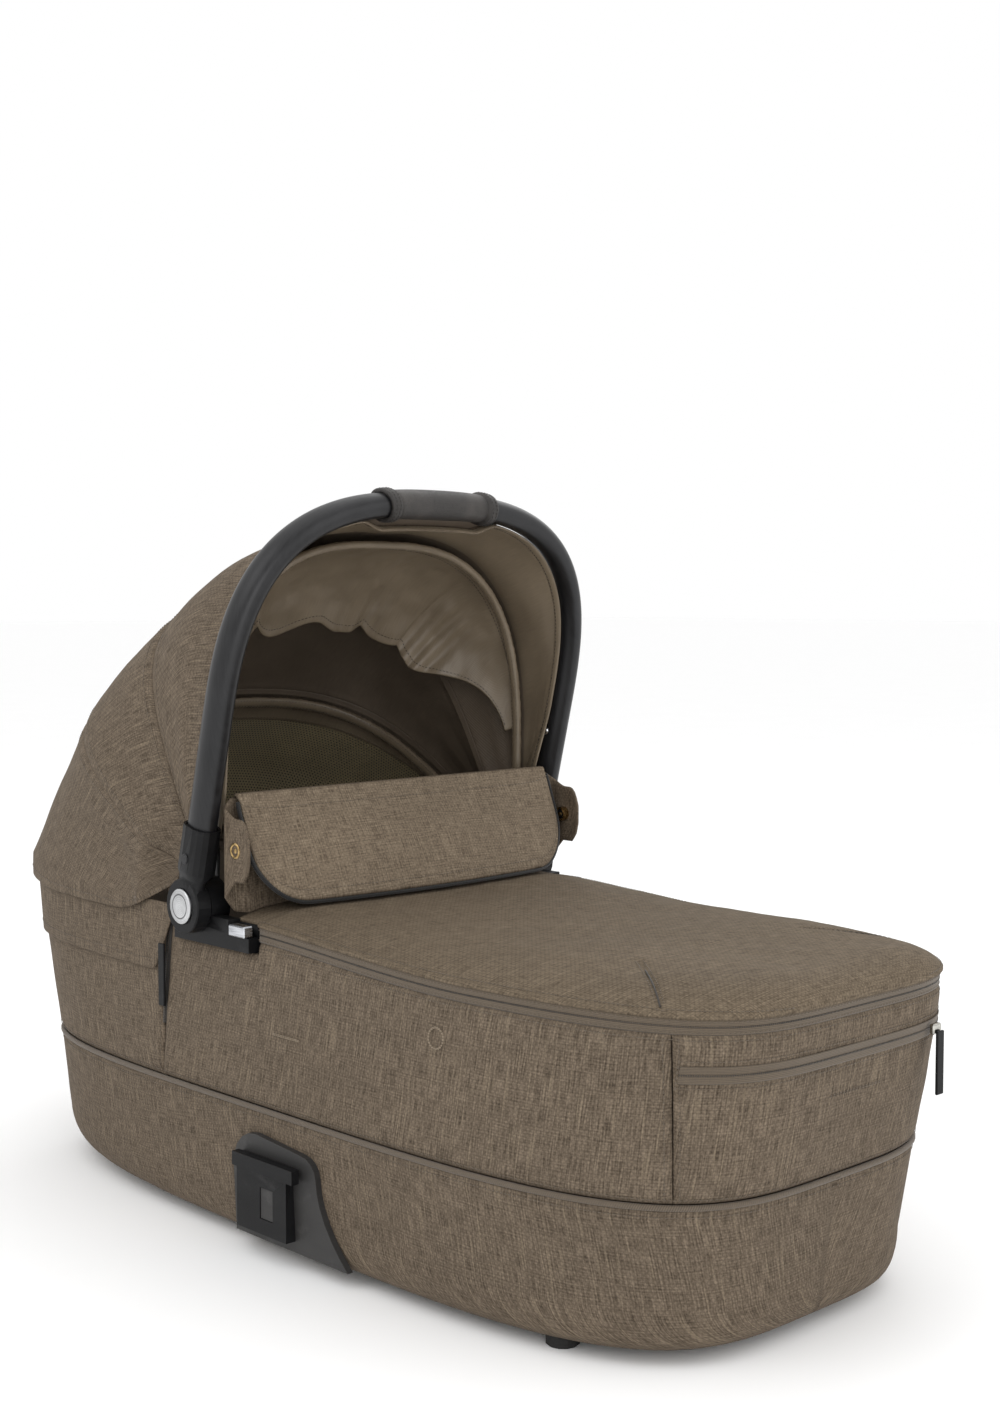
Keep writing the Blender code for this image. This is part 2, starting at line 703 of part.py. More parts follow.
def apron_crown(x, place):
    # how far the apron stands above the rim; place runs across from -1 to 1
    from_foot = min(1.0, (RIM_FOOT - x) / APRON_SHOULDER)
    height = APRON_HEAD_CROWN + (APRON_CROWN - APRON_HEAD_CROWN) * smooth_step(x / APRON_CROWN_LENGTH)
    return height * (1 - abs(place) ** APRON_FLATNESS) * sqrt(from_foot * (2 - from_foot))


def build_apron():
    # stations from the head edge to the foot, each a line across the body
    bracket_end = PIVOT_X + SADDLE_FRONT + HOUSING_LENGTH
    clear = rim_angle_at(bracket_end + PANEL_GAP * 2, 1)
    beside = rim_angle_at(bracket_end + PANEL_GAP, 1)
    angles = body_angles(radians(3), clear) + [beside, rim_angle_at(-APRON_HEAD_EDGE, 1)]
    grid = []
    for angle in angles:
        x, half = rim_outline(angle)
        half = min(half, SADDLE_INNER - PANEL_GAP) if angle >= beside else half
        row = []
        for place in (-1.0, -0.94, -0.82, -0.6, -0.3, 0.0, 0.3, 0.6, 0.82, 0.94, 1.0):
            row.append((x, half * place, rim_height(x) + apron_crown(x, place)))
        grid.append(row)
    sheet("apron", grid, (LIGHT_WOVEN, 0.9), APRON_THICKNESS, CABIN_MIDDLE)

    start = rim_angle_at(PIVOT_X + SADDLE_FRONT + HOUSING_LENGTH + 4 * PANEL_GAP, 1)
    angles = body_angles(-start, start)
    low = [upper_share(angle, ZIP_BAND - CLEARANCE) for angle in angles]
    high = [upper_share(angle, APRON_THICKNESS + ZIP_TOP_GAP) for angle in angles]
    grid = [[upper_wall_point(angle, share, -ZIP_RECESS) for angle, share in zip(angles, shares)]
            for shares in (low, high)]
    sheet("apron_zip", grid, (DARK_LINING, 0.8), ZIP_TAPE_THICKNESS, CABIN_MIDDLE)


def build_wind_guard():
    # stations along the guard: x, y, height of the lower and upper edge, and how far the foot leans forward
    corner = 0.5 * (EAR_SIDE - GUARD_HALF_WIDTH)
    back = -GUARD_BACK
    side_bottom = RIM_TOP + GUARD_GAP
    lean = GUARD_BACK - APRON_HEAD_EDGE
    half = [
        (-EAR_TIP, EAR_SIDE, (EAR_BOTTOM * 2 + EAR_TOP) / 3, (EAR_BOTTOM + EAR_TOP * 2) / 3, 0.0),
        (-EAR_TIP * 1.8, EAR_SIDE, EAR_BOTTOM, EAR_TOP, 0.0),
        (-(EAR_TIP + GUARD_BACK) / 2, EAR_SIDE, EAR_BOTTOM, EAR_TOP, 0.0),
        (back + corner, EAR_SIDE, (side_bottom + EAR_BOTTOM) / 2, (EAR_TOP + GUARD_TOP) / 2, 0.0),
        (back, GUARD_HALF_WIDTH, side_bottom + APRON_CROWN / 4, GUARD_TOP, lean / 2),
    ]
    stations = [(x, -y, low, high, forward) for x, y, low, high, forward in half]
    for place in spread(-1.0, 1.0, 8)[1:-1]:
        crown = apron_crown(back, place)
        stations.append((back, GUARD_HALF_WIDTH * place, side_bottom + crown, GUARD_TOP, lean))
    stations += half[::-1]
    grid = []
    for share in (0.0, 0.5, 1.0):
        grid.append([(x + forward * (1 - share), y, low + (high - low) * share)
                     for x, y, low, high, forward in stations])
    guard = sheet("wind_guard", grid, (WOVEN, 0.9), GUARD_THICKNESS, (0.0, 0.0, EAR_TOP))

    # press studs through both ears
    x = -(EAR_TIP * 1.8 + GUARD_BACK * 0.5) / 1.5
    z = (EAR_BOTTOM + EAR_TOP) / 2
    outer = EAR_SIDE + CLEARANCE
    inner = EAR_SIDE - GUARD_THICKNESS - CLEARANCE
    edge = SNAP_RADIUS * 0.7
    profile = [(outer + SNAP_THICKNESS, edge), (outer + SNAP_THICKNESS / 2, SNAP_RADIUS), (outer, SNAP_RADIUS),
               (outer, SNAP_SHANK_RADIUS), (inner, SNAP_SHANK_RADIUS), (inner, SNAP_RADIUS),
               (inner - SNAP_THICKNESS / 2, SNAP_RADIUS), (inner - SNAP_THICKNESS, edge)]
    bore = SNAP_SHANK_RADIUS + CLEARANCE
    through = [(outer + CLEARANCE, bore), (inner - CLEARANCE, bore)]
    for side, word in ((1, "left"), (-1, "right")):
        hole = lofted("snap_hole_" + word, [turned(through, x, z, side, 12)], (BRASS, 0.35, 1.0))
        join_solid(guard, hole, "DIFFERENCE")
        lofted("ear_snap_" + word, [turned(profile, x, z, side, 16)], (BRASS, 0.35, 1.0))


def collar_point(place, share, offset=0.0):
    # place runs across from -1 to 1, share down from the fold to the free edge
    corner = COLLAR_CORNER / COLLAR_HALF_WIDTH
    cut = max(0.0, (abs(place) - (1 - corner)) / corner)
    drop = COLLAR_DROP - COLLAR_CORNER * (1 - sqrt(max(0.0, 1 - cut * cut)))
    z = GUARD_TOP + COLLAR_GAP - drop * share
    down = (GUARD_TOP + COLLAR_GAP - z) / COLLAR_DROP
    bulge = COLLAR_BULGE * (1 - place * place) * sin(pi * 0.5 * down)
    x = -GUARD_BACK + GUARD_THICKNESS + COLLAR_GAP + COLLAR_THICKNESS + COLLAR_SWEEP * down + bulge
    return (x + offset, COLLAR_HALF_WIDTH * place, z)


def build_collar():
    pivot = (-GUARD_BACK, 0.0, GUARD_TOP + COLLAR_GAP)
    places = [-1.0, -0.985, -0.94, -0.87, -0.77] + spread(-0.64, 0.64, 8) + [0.77, 0.87, 0.94, 0.985, 1.0]
    grid = [[collar_point(place, share) for place in places] for share in spread(0.0, 1.0, 5)]
    # the fold lies over the top edge of the guard
    fold_height = GUARD_TOP + COLLAR_GAP + COLLAR_THICKNESS
    fold = [(-GUARD_BACK, COLLAR_HALF_WIDTH * place, fold_height) for place in places]
    top = [(x - COLLAR_THICKNESS / 2, y, fold_height) for x, y, z in grid[0]]
    grid = [fold, top] + grid[1:]
    sheet("wind_guard_collar", grid, (LIGHT_WOVEN, 0.9), COLLAR_THICKNESS,
          (-GUARD_BACK - COLLAR_DROP, 0.0, EAR_BOTTOM), pivot=pivot)
    proud = COLLAR_PIPING_RADIUS + CLEARANCE * 2
    path = []
    for share in (0.25, 0.5, 0.75):
        x, y, z = collar_point(-1.0, share, -COLLAR_THICKNESS / 2)
        path.append((x, y - proud, z))
    for place in places:
        x, y, z = collar_point(place, 1.0, -COLLAR_THICKNESS / 2)
        side = copysign(1.0, place) * max(0.0, (abs(place) - 0.87) / 0.13)
        path.append((x, y + proud * side, z - proud * (1.4 - abs(side))))
    for share in (0.75, 0.5, 0.25):
        x, y, z = collar_point(1.0, share, -COLLAR_THICKNESS / 2)
        path.append((x, y + proud, z))
    rings = tube_rings(path, COLLAR_PIPING_RADIUS, COLLAR_PIPING_RADIUS, 6, Vector((1, 0, 0)))
    lofted("collar_piping", [rings], (BLACK, 0.5), pivot=pivot)


def turned(profile, x, z, side, count=ROUND_STEPS):
    # rings around the pivot line from (distance from the middle, radius) pairs
    return [circle_side(x, side * distance, z, radius, count) for distance, radius in profile]


def build_pivots():
    for side, word in ((1, "left"), (-1, "right")):
        recess = DRUM_OUTER - DRUM_RECESS_DEPTH
        bore = recess - SPRING_BORE_DEPTH
        profile = [(DRUM_INNER - BOSS_LENGTH, BOSS_RADIUS), (DRUM_INNER, BOSS_RADIUS),
                   (DRUM_INNER, DRUM_RADIUS), (DRUM_OUTER, DRUM_RADIUS),
                   (DRUM_OUTER, GEAR_RECESS_RADIUS), (recess, GEAR_RECESS_RADIUS),
                   (recess, SPRING_BORE_RADIUS), (bore, SPRING_BORE_RADIUS)]
        drum = lofted("hub_bracket_" + word, [turned(profile, PIVOT_X, PIVOT_Z, side)], (BLACK, 0.55))
        front = PIVOT_X + SADDLE_FRONT
        back = PIVOT_X - SADDLE_BACK
        housing_end = front + HOUSING_LENGTH
        shelf = SADDLE_BOTTOM + HOUSING_HEIGHT
        outline = [(back, SADDLE_BOTTOM), (housing_end, SADDLE_BOTTOM), (housing_end, shelf), (front, shelf),
                   (front, RIM_TOP), (back, RIM_TOP)]
        saddle = lofted("saddle_" + word, [[[(x, side * y, z) for x, z in outline]
                        for y in (SADDLE_INNER, SADDLE_INNER + SADDLE_WIDTH)]], (BLACK, 0.55), smooth=False)
        wall = block("tab_wall_" + word,
                     (front + CLEARANCE, side * (SADDLE_INNER + CLEARANCE), shelf - TAB_WALL),
                     (housing_end - CLEARANCE, side * (SADDLE_INNER + TAB_WALL), shelf + TAB_HEIGHT),
                     (BLACK, 0.55))
        join_solid(saddle, wall)
        cut_recess = lofted("recess_" + word, [turned([(recess, GEAR_RECESS_RADIUS), (DRUM_OUTER + DISC_GAP,
                            GEAR_RECESS_RADIUS)], PIVOT_X, PIVOT_Z, side)], (BLACK, 0.55))
        join_solid(saddle, cut_recess, "DIFFERENCE")
        join_solid(drum, saddle)

        gear_in = recess + GEAR_BACK_GAP
        gear_out = gear_in + GEAR_WIDTH
        rings = []
        for distance in (gear_in, gear_out):
            ring = []
            for tooth in range(GEAR_TEETH):
                for quarter, share in ((0, 1.0), (1, 1.0), (2, GEAR_TOOTH_SHARE), (3, GEAR_TOOTH_SHARE)):
                    angle = 2 * pi * (tooth + quarter / 4) / GEAR_TEETH
                    radius = GEAR_RADIUS * share
                    ring.append((PIVOT_X + radius * cos(angle), side * distance, PIVOT_Z + radius * sin(angle)))
            rings.append(ring)
        hole = [circle_side(PIVOT_X, side * distance, PIVOT_Z, STEM_RADIUS + CLEARANCE, GEAR_TEETH * 4)
                for distance in (gear_out, gear_in)]
        pivot = (PIVOT_X, side * gear_out, PIVOT_Z)
        lofted("lock_gear_" + word, [rings + hole], (SILVER, 0.4, 0.9), closed=True, smooth=False, pivot=pivot)

        outer = DISC_OUTER + BUTTON_PROUD
        under = outer - BUTTON_WIDTH
        stem = [(gear_in, STEM_RADIUS), (under, STEM_RADIUS), (under, BUTTON_RADIUS),
                (outer - BUTTON_WIDTH / 4, BUTTON_RADIUS), (outer, BUTTON_RADIUS * 0.93)]
        lofted("pivot_button_" + word, [turned(stem, PIVOT_X, PIVOT_Z, side)], (SILVER, 0.3, 0.8),
               pivot=(PIVOT_X, side * outer, PIVOT_Z))

        low = bore + CLEARANCE + SPRING_WIRE_RADIUS
        high = gear_in - CLEARANCE - SPRING_WIRE_RADIUS
        steps = 8 * SPRING_TURNS
        path = []
        for index in range(steps + 1):
            angle = 2 * pi * index / 8
            distance = low + (high - low) * index / steps
            path.append((PIVOT_X + SPRING_RADIUS * cos(angle), side * distance,
                         PIVOT_Z + SPRING_RADIUS * sin(angle)))
        rings = tube_rings(path, SPRING_WIRE_RADIUS, SPRING_WIRE_RADIUS, 4, Vector((0, 1, 0)))
        lofted("button_spring_" + word, [rings], (SILVER, 0.3, 1.0))


def block(name, low, high, look, smooth=False, pivot=None, edge=0.0):
    shape = bmesh.new()
    bmesh.ops.create_cube(shape, size=1.0)
    size = Vector(abs(end - start) for start, end in zip(low, high))
    middle = (Vector(high) + Vector(low)) / 2
    for vertex in shape.verts:
        vertex.co = Vector(part * width for part, width in zip(vertex.co, size)) + middle
    if edge > 0:
        bmesh.ops.bevel(shape, geom=shape.edges, offset=edge, segments=1, affect="EDGES")
    return add_object(name, shape, look, smooth, pivot)


def build_release_tabs():
    shelf = SADDLE_BOTTOM + HOUSING_HEIGHT
    face = SADDLE_INNER + SADDLE_WIDTH + TAB_PROUD
    start = -TAB_START
    end = start + TAB_LENGTH
    for side, word in ((1, "left"), (-1, "right")):
        block("release_tab_" + word, (start, side * (face - TAB_DEPTH), shelf + CLEARANCE),
              (end, side * face, shelf + TAB_HEIGHT), (SILVER, 0.3, 0.8), smooth=True,
              pivot=((start + end) / 2, side * face, shelf + TAB_HEIGHT / 2), edge=TAB_WALL / 2)


def arm_direction(angle):
    return Vector((cos(radians(angle)), 0.0, sin(radians(angle))))


def around_pivot(angle, reach, y):
    # a point at reach from the pivot line, at an angle above the foot direction
    out = arm_direction(angle)
    return Vector((PIVOT_X, 0.0, PIVOT_Z)) + out * reach + Vector((0.0, y, 0.0))


def arch_point(angle, turn, radius, half_width, roundness, leg_share):
    # an arch over the pivots; turn runs from 0 on the left side to pi on the right
    rise = leg_share + (1 - leg_share) * abs(sin(turn)) ** (2 / roundness)
    return around_pivot(angle, radius * rise, half_width * power(cos(turn), 2 / roundness))


def handle_path():
    path = [around_pivot(HANDLE_ANGLE, reach, -HANDLE_SIDE)
            for reach in spread(TUBE_START, HANDLE_RADIUS * HANDLE_LEG_SHARE, 2)]
    path = [Vector((point.x, -point.y, point.z)) for point in path]
    for turn in spread(0.0, pi / 2, ARCH_STEPS // 2)[1:-1]:
        point = arch_point(HANDLE_ANGLE, turn, HANDLE_RADIUS, HANDLE_SIDE, HANDLE_ROUNDNESS, HANDLE_LEG_SHARE)
        if point.y > GRIP_HALF_LENGTH * 1.1:
            path.append(point)
    inside = GRIP_HALF_LENGTH - GRIP_BAND_WIDTH
    crown = [*grip_stretch(GRIP_HALF_LENGTH, inside, 1), *grip_stretch(inside, -inside, GRIP_STEPS)[1:],
             *grip_stretch(-inside, -GRIP_HALF_LENGTH, 1)[1:]]
    return path + crown + [Vector((point.x, -point.y, point.z)) for point in reversed(path)]


def grip_stretch(first, last, count):
    # points of the arch's crown, evenly spaced across from one side distance to another
    points = []
    for y in spread(first, last, count):
        turn = acos(power(y / HANDLE_SIDE, HANDLE_ROUNDNESS / 2))
        points.append(arch_point(HANDLE_ANGLE, turn, HANDLE_RADIUS, HANDLE_SIDE, HANDLE_ROUNDNESS,
                                 HANDLE_LEG_SHARE))
    return points


def build_handle():
    forward = arm_direction(HANDLE_ANGLE - 90)
    lofted("handle_tube", [tube_rings(handle_path(), TUBE_WIDE / 2, TUBE_TALL / 2, TUBE_SIDES, forward)],
           (CHARCOAL, 0.35, 0.6), pivot=PIVOT)

    skin = CLEARANCE * 2
    cover = skin + GRIP_THICKNESS
    band = cover + GRIP_BAND_THICKNESS
    inside = GRIP_HALF_LENGTH - GRIP_BAND_WIDTH
    stretches = ((GRIP_HALF_LENGTH, inside, 1, band), (inside, -inside, GRIP_STEPS, cover),
                 (-inside, -GRIP_HALF_LENGTH, 1, band))
    rings = []
    for first, last, count, grow in stretches:
        rings += tube_rings(grip_stretch(first, last, count), TUBE_WIDE / 2 + grow, TUBE_TALL / 2 + grow,
                            TUBE_SIDES, forward)
    path = [grip_stretch(GRIP_HALF_LENGTH, inside, 1)[0], *grip_stretch(inside, -inside, GRIP_STEPS),
            grip_stretch(GRIP_HALF_LENGTH, -GRIP_HALF_LENGTH, 1)[1]]
    inner = tube_rings(path, TUBE_WIDE / 2 + skin, TUBE_TALL / 2 + skin, TUBE_SIDES, forward)
    lofted("grip_cover", [rings + inner[::-1]], (BLACK, 0.5), closed=True, pivot=PIVOT)
    for side, word in ((1, "left"), (-1, "right")):
        build_socket(side, word, forward)

    socket_face = HANDLE_SIDE + TUBE_TALL / 2 + SOCKET_WALL + SOCKET_GAP + CLEARANCE
    arm_face = HANDLE_SIDE - TUBE_TALL / 2 - CLEARANCE
    places = ((SOCKET_SCREW_PLACE, socket_face, SOCKET_SCREW_RADIUS, 1, "socket_screw_"),
              (ARM_SCREW_PLACE, arm_face, ARM_SCREW_RADIUS, -1, "arm_screw_"))
    for reach, face, radius, way, name in places:
        centre = around_pivot(HANDLE_ANGLE, reach, 0.0)
        profile = [(face, radius), (face + way * SCREW_THICKNESS, radius * 0.8)]
        for side, word in ((1, "left"), (-1, "right")):
            rings = turned(profile, centre.x, centre.z, side, 12)
            lofted(name + word, [rings], (SILVER, 0.4, 1.0), pivot=PIVOT)


def build_socket(side, word, forward):
    stem = STEM_RADIUS + STEM_GAP
    button = BUTTON_RADIUS + BUTTON_BORE_GAP
    gear_floor = DISC_INNER + DISC_RECESS_DEPTH
    button_floor = DISC_OUTER - COUNTERBORE_DEPTH
    edge = COUNTERBORE_DEPTH / 5
    profile = [(DISC_INNER, GEAR_RECESS_RADIUS), (gear_floor, GEAR_RECESS_RADIUS), (gear_floor, stem),
               (button_floor, stem), (button_floor, button), (DISC_OUTER, button),
               (DISC_OUTER, DISC_RADIUS - edge), (DISC_OUTER - edge, DISC_RADIUS), (DISC_INNER, DISC_RADIUS)]
    disc = lofted("handle_socket_" + word, [turned(profile, PIVOT_X, PIVOT_Z, side)], (BLACK, 0.45),
                  closed=True, pivot=PIVOT)

    wide = TUBE_WIDE / 2 + SOCKET_WALL + SOCKET_GAP
    tall = TUBE_TALL / 2 + SOCKET_WALL + SOCKET_GAP
    neck_middle = DISC_OUTER - NECK_WIDTH / 2 - edge / 2
    sleeve_start = NECK_END + NECK_WIDTH / 2
    outer = [(NECK_START + BUTTON_BORE_GAP, wide * 0.86, NECK_WIDTH / 2, neck_middle),
             (NECK_END, wide * 0.94, NECK_WIDTH / 2, neck_middle),
             (sleeve_start, wide, tall, HANDLE_SIDE), (SOCKET_END, wide, tall, HANDLE_SIDE)]
    inner = [(SOCKET_END, wide - SOCKET_WALL, tall - SOCKET_WALL, HANDLE_SIDE),
             (SOCKET_FLOOR + SOCKET_WALL / 2, wide - SOCKET_WALL, tall - SOCKET_WALL, HANDLE_SIDE)]
    rings = []
    for reach, half_wide, half_tall, middle in outer + inner:
        centre = around_pivot(HANDLE_ANGLE, reach, side * middle)
        ring = []
        for angle in ring_angles(16):
            turn = angle + pi / 16
            ring.append(centre + forward * (half_wide * power(cos(turn), 2 / SOCKET_ROUNDNESS))
                        + Vector((0.0, half_tall * power(sin(turn), 2 / SOCKET_ROUNDNESS), 0.0)))
        rings.append(ring)
    sleeve = lofted("sleeve_" + word, [rings], (BLACK, 0.45))
    join_solid(disc, sleeve)


def hood_section(angle):
    # reach, half width and roundness of the hood at an angle, smoothly between the table's rows
    table = HOOD_SECTION_SHARES
    last = len(table) - 1
    index = 0
    while index < last - 1 and angle > table[index + 1][0]:
        index += 1
    low, high = table[index], table[index + 1]
    before, after = table[max(0, index - 1)], table[min(last, index + 2)]
    span = high[0] - low[0]
    share = min(1.0, max(0.0, (angle - low[0]) / span))
    values = []
    for part in range(1, 4):
        slope_low = (high[part] - before[part]) / (high[0] - before[0]) * span
        slope_high = (after[part] - low[part]) / (after[0] - low[0]) * span
        square = share * share
        cube = square * share
        value = (2 * cube - 3 * square + 1) * low[part] + (cube - 2 * square + share) * slope_low
        value += (3 * square - 2 * cube) * high[part] + (cube - square) * slope_high
        values.append(value)
    return values[0] * HANDLE_RADIUS, values[1] * RIM_HALF_WIDTH, values[2]


def hood_point(angle, turn, inset=0.0):
    # turn runs from 0 to pi over the arch; below and above that range it runs down the legs
    reach, half_width, roundness = hood_section(angle)
    return hood_arch_point(angle, turn, reach - inset, half_width - inset, roundness)


def hood_arch_point(angle, turn, reach, half_width, roundness, start=HOOD_START):
    leg = reach * HOOD_LEG_SHARE
    if 0 <= turn <= pi:
        return arch_point(angle, turn, reach, half_width, roundness, HOOD_LEG_SHARE)
    share = -turn if turn < 0 else turn - pi
    side = 1.0 if turn < 0 else -1.0
    distance = leg + (start - leg) * share
    return around_pivot(angle, distance, side * leg_side(distance, leg, half_width))


def leg_side(distance, leg, half_width):
    # the sides of the hood draw in towards the pivots
    share = smooth_step(1.5 * (leg - distance) / (leg - HOOD_START))
    return half_width + (min(half_width, HOOD_HUB_SIDE) - half_width) * share


def turn_over(length, place):
    # the angle about the pivot line that a length spans at a point
    return degrees(length / sqrt((place.x - PIVOT_X) ** 2 + (place.z - PIVOT_Z) ** 2))


def seam_row(angle, turns, way, start=HOOD_START):
    # a row beside a seam, half the seam's gap to one side of it all the way down
    reach, half_width, roundness = hood_section(angle)
    row = []
    for turn in turns:
        place = hood_arch_point(angle, turn, reach, half_width, roundness, start)
        shifted = angle + way * turn_over(HOOD_SEAM_GAP / 2, place)
        row.append(hood_arch_point(shifted, turn, reach, half_width, roundness, start))
    return row


def hem_height(x):
    # height of the hem, which climbs over the pivots and rises a little towards the head
    low = RIM_TOP - HEM_DROP
    climb = HEM_CLIMB * (x + HEM_CLIMB_START + HEM_CLIMB_EASE / 2)
    if x < -HEM_CLIMB_START:
        climb = 0.0
    elif x < -HEM_CLIMB_START + HEM_CLIMB_EASE:
        climb = HEM_CLIMB * (x + HEM_CLIMB_START) ** 2 / (2 * HEM_CLIMB_EASE)
    else:
        climb = HEM_CLIMB * (x + HEM_CLIMB_START - HEM_CLIMB_EASE / 2)
    tail = HEM_TAIL_RISE * smooth_step((-x - HEM_TAIL_START) / (RIM_HEAD - HEM_TAIL_START))
    return low + climb + tail


def hem_row(turns):
    # the hem runs along the rim outside the skirt, and up beside the pivots
    row = []
    middle = (RIM_FOOT - RIM_HEAD) / 2
    half_length = (RIM_FOOT + RIM_HEAD) / 2 + HEM_GROW_HEAD
    half_width = RIM_HALF_WIDTH + HEM_GROW_SIDE
    exponent = 2 / RIM_HEAD_ROUNDNESS
    for turn in turns:
        if 0 <= turn <= pi:
            x = min(middle - half_length * abs(sin(turn)) ** exponent, -HEM_SIDE_START)
            y = half_width * power(cos(turn), exponent)
        else:
            share = -turn if turn < 0 else turn - pi
            x = -HEM_SIDE_START + (HEM_SIDE_START - HEM_HUB_PLACE) * share
            draw = smooth_step(1.2 * share) * (half_width - HOOD_HUB_SIDE)
            y = (half_width - draw) if turn < 0 else (draw - half_width)
        row.append(Vector((x, y, hem_height(x))))
    return row


def hood_turns():
    legs = [-1.0, -0.5]
    arch = spread(0.0, pi, ARCH_STEPS)
    return legs + arch + [pi + 0.5, pi + 1.0]


def build_hood():
    turns = hood_turns()
    middle = around_pivot(HANDLE_ANGLE + 45, HOOD_START, 0.0)
    front_reach = HANDLE_RADIUS - TUBE_TALL / 2 - HANDLE_FABRIC_GAP
    front_side = HANDLE_SIDE - TUBE_TALL / 2 - HANDLE_FABRIC_GAP

    def front_edge(turn):
        # the front edge follows the inner face of the handle and dips under the grip
        if 0 <= turn <= pi:
            rise = HANDLE_LEG_SHARE * HANDLE_RADIUS
            rise += (front_reach - rise) * abs(sin(turn)) ** (2 / HANDLE_ROUNDNESS)
            y = front_side * power(cos(turn), 2 / HANDLE_ROUNDNESS)
            dip = SLOT_DEPTH * smooth_step((SLOT_HALF_LENGTH + SLOT_RAMP - abs(y)) / SLOT_RAMP)
            return around_pivot(HANDLE_ANGLE, rise - dip, y)
        leg = HANDLE_LEG_SHARE * HANDLE_RADIUS
        share = -turn if turn < 0 else turn - pi
        y = front_side if turn < 0 else -front_side
        narrow = (front_side - HOOD_HUB_SIDE) * smooth_step(share * 1.5)
        return around_pivot(HANDLE_ANGLE, leg + (HOOD_START - leg) * share, y - copysign(narrow, y))

    rows = [[front_edge(turn) for turn in turns]]
    near = FRONT_BOW_ANGLE - (FRONT_BOW_ANGLE - HANDLE_ANGLE) / 2
    row = [hood_point(near, turn) for turn in turns]
    rows.append([first.lerp(second, 0.75) for first, second in zip(turned_back(rows[0], near), row)])
    for angle in spread(FRONT_BOW_ANGLE, FRONT_SEAM_ANGLE, 3)[:-1]:
        rows.append([hood_point(angle, turn) for turn in turns])
    rows.append(seam_row(FRONT_SEAM_ANGLE, turns, -1))
    sheet("canopy_front", rows, (WOVEN, 0.9), HOOD_THICKNESS, middle)

    rows = [seam_row(FRONT_SEAM_ANGLE, turns, 1)]
    rows.append([hood_point((FRONT_SEAM_ANGLE + REAR_SEAM_ANGLE) / 2, turn) for turn in turns])
    rows.append(seam_row(REAR_SEAM_ANGLE, turns, -1))
    sheet("canopy_middle", rows, (WOVEN, 0.9), HOOD_THICKNESS, middle)

    # the rear panel falls straight for the last stretch above the hem
    first = seam_row(REAR_SEAM_ANGLE, turns, 1, REAR_START)
    last = hem_row(turns)
    rows = [first]
    for share in [HEM_BAND_SHARE * level / 3 for level in (1, 2, 3)]:
        inward = 1 - share / HEM_BAND_SHARE
        row = []
        for turn, high, low in zip(turns, first, last):
            place = high.lerp(low, 1 - inward)
            place.z = high.z + (low.z - high.z) * share
            arch = sin(turn) if 0 <= turn <= pi else 0.0
            out = Vector((place.x - PIVOT_X, 0.0, place.z - PIVOT_Z)).normalized()
            row.append(place + out * (4 * REAR_BULGE * arch * inward * (1 - inward)))
        rows.append(row)
    rows.append(last)
    sheet("canopy_rear", rows, (WOVEN, 0.9), HOOD_THICKNESS, middle)


def turned_back(row, angle):
    # the row of the front edge, turned about the pivot line to an angle
    turn = radians(angle - HANDLE_ANGLE)
    turned_row = []
    for point in row:
        x = point.x - PIVOT_X
        z = point.z - PIVOT_Z
        turned_row.append(Vector((PIVOT_X + x * cos(turn) - z * sin(turn), point.y,
                                  PIVOT_Z + x * sin(turn) + z * cos(turn))))
    return turned_row


def build_skirt():
    # a flap behind the hem, outside the head panel
    start = rim_angle_at(-SKIRT_START, 1)
    angles = body_angles(start, 2 * pi - start)
    top_share = 1.0 + SKIRT_TOP / (RIM_TOP - SEAM_HEIGHT)
    low_share = (SKIRT_BOTTOM - SEAM_HEIGHT) / (RIM_TOP - SEAM_HEIGHT)
    grow = SKIRT_GAP + HOOD_THICKNESS
    grid = []
    for level in spread(0.0, 1.0, 3):
        row = []
        for angle in angles:
            x = rim_outline(angle)[0]
            ahead = smooth_step((x + SKIRT_START + SKIRT_SLANT) / SKIRT_SLANT)
            low = low_share + (top_share - low_share) * 0.92 * ahead
            row.append(upper_wall_point(angle, top_share + (low - top_share) * level, grow))
        grid.append(row)
    sheet("canopy_skirt", grid, (WOVEN, 0.9), HOOD_THICKNESS, CABIN_MIDDLE)


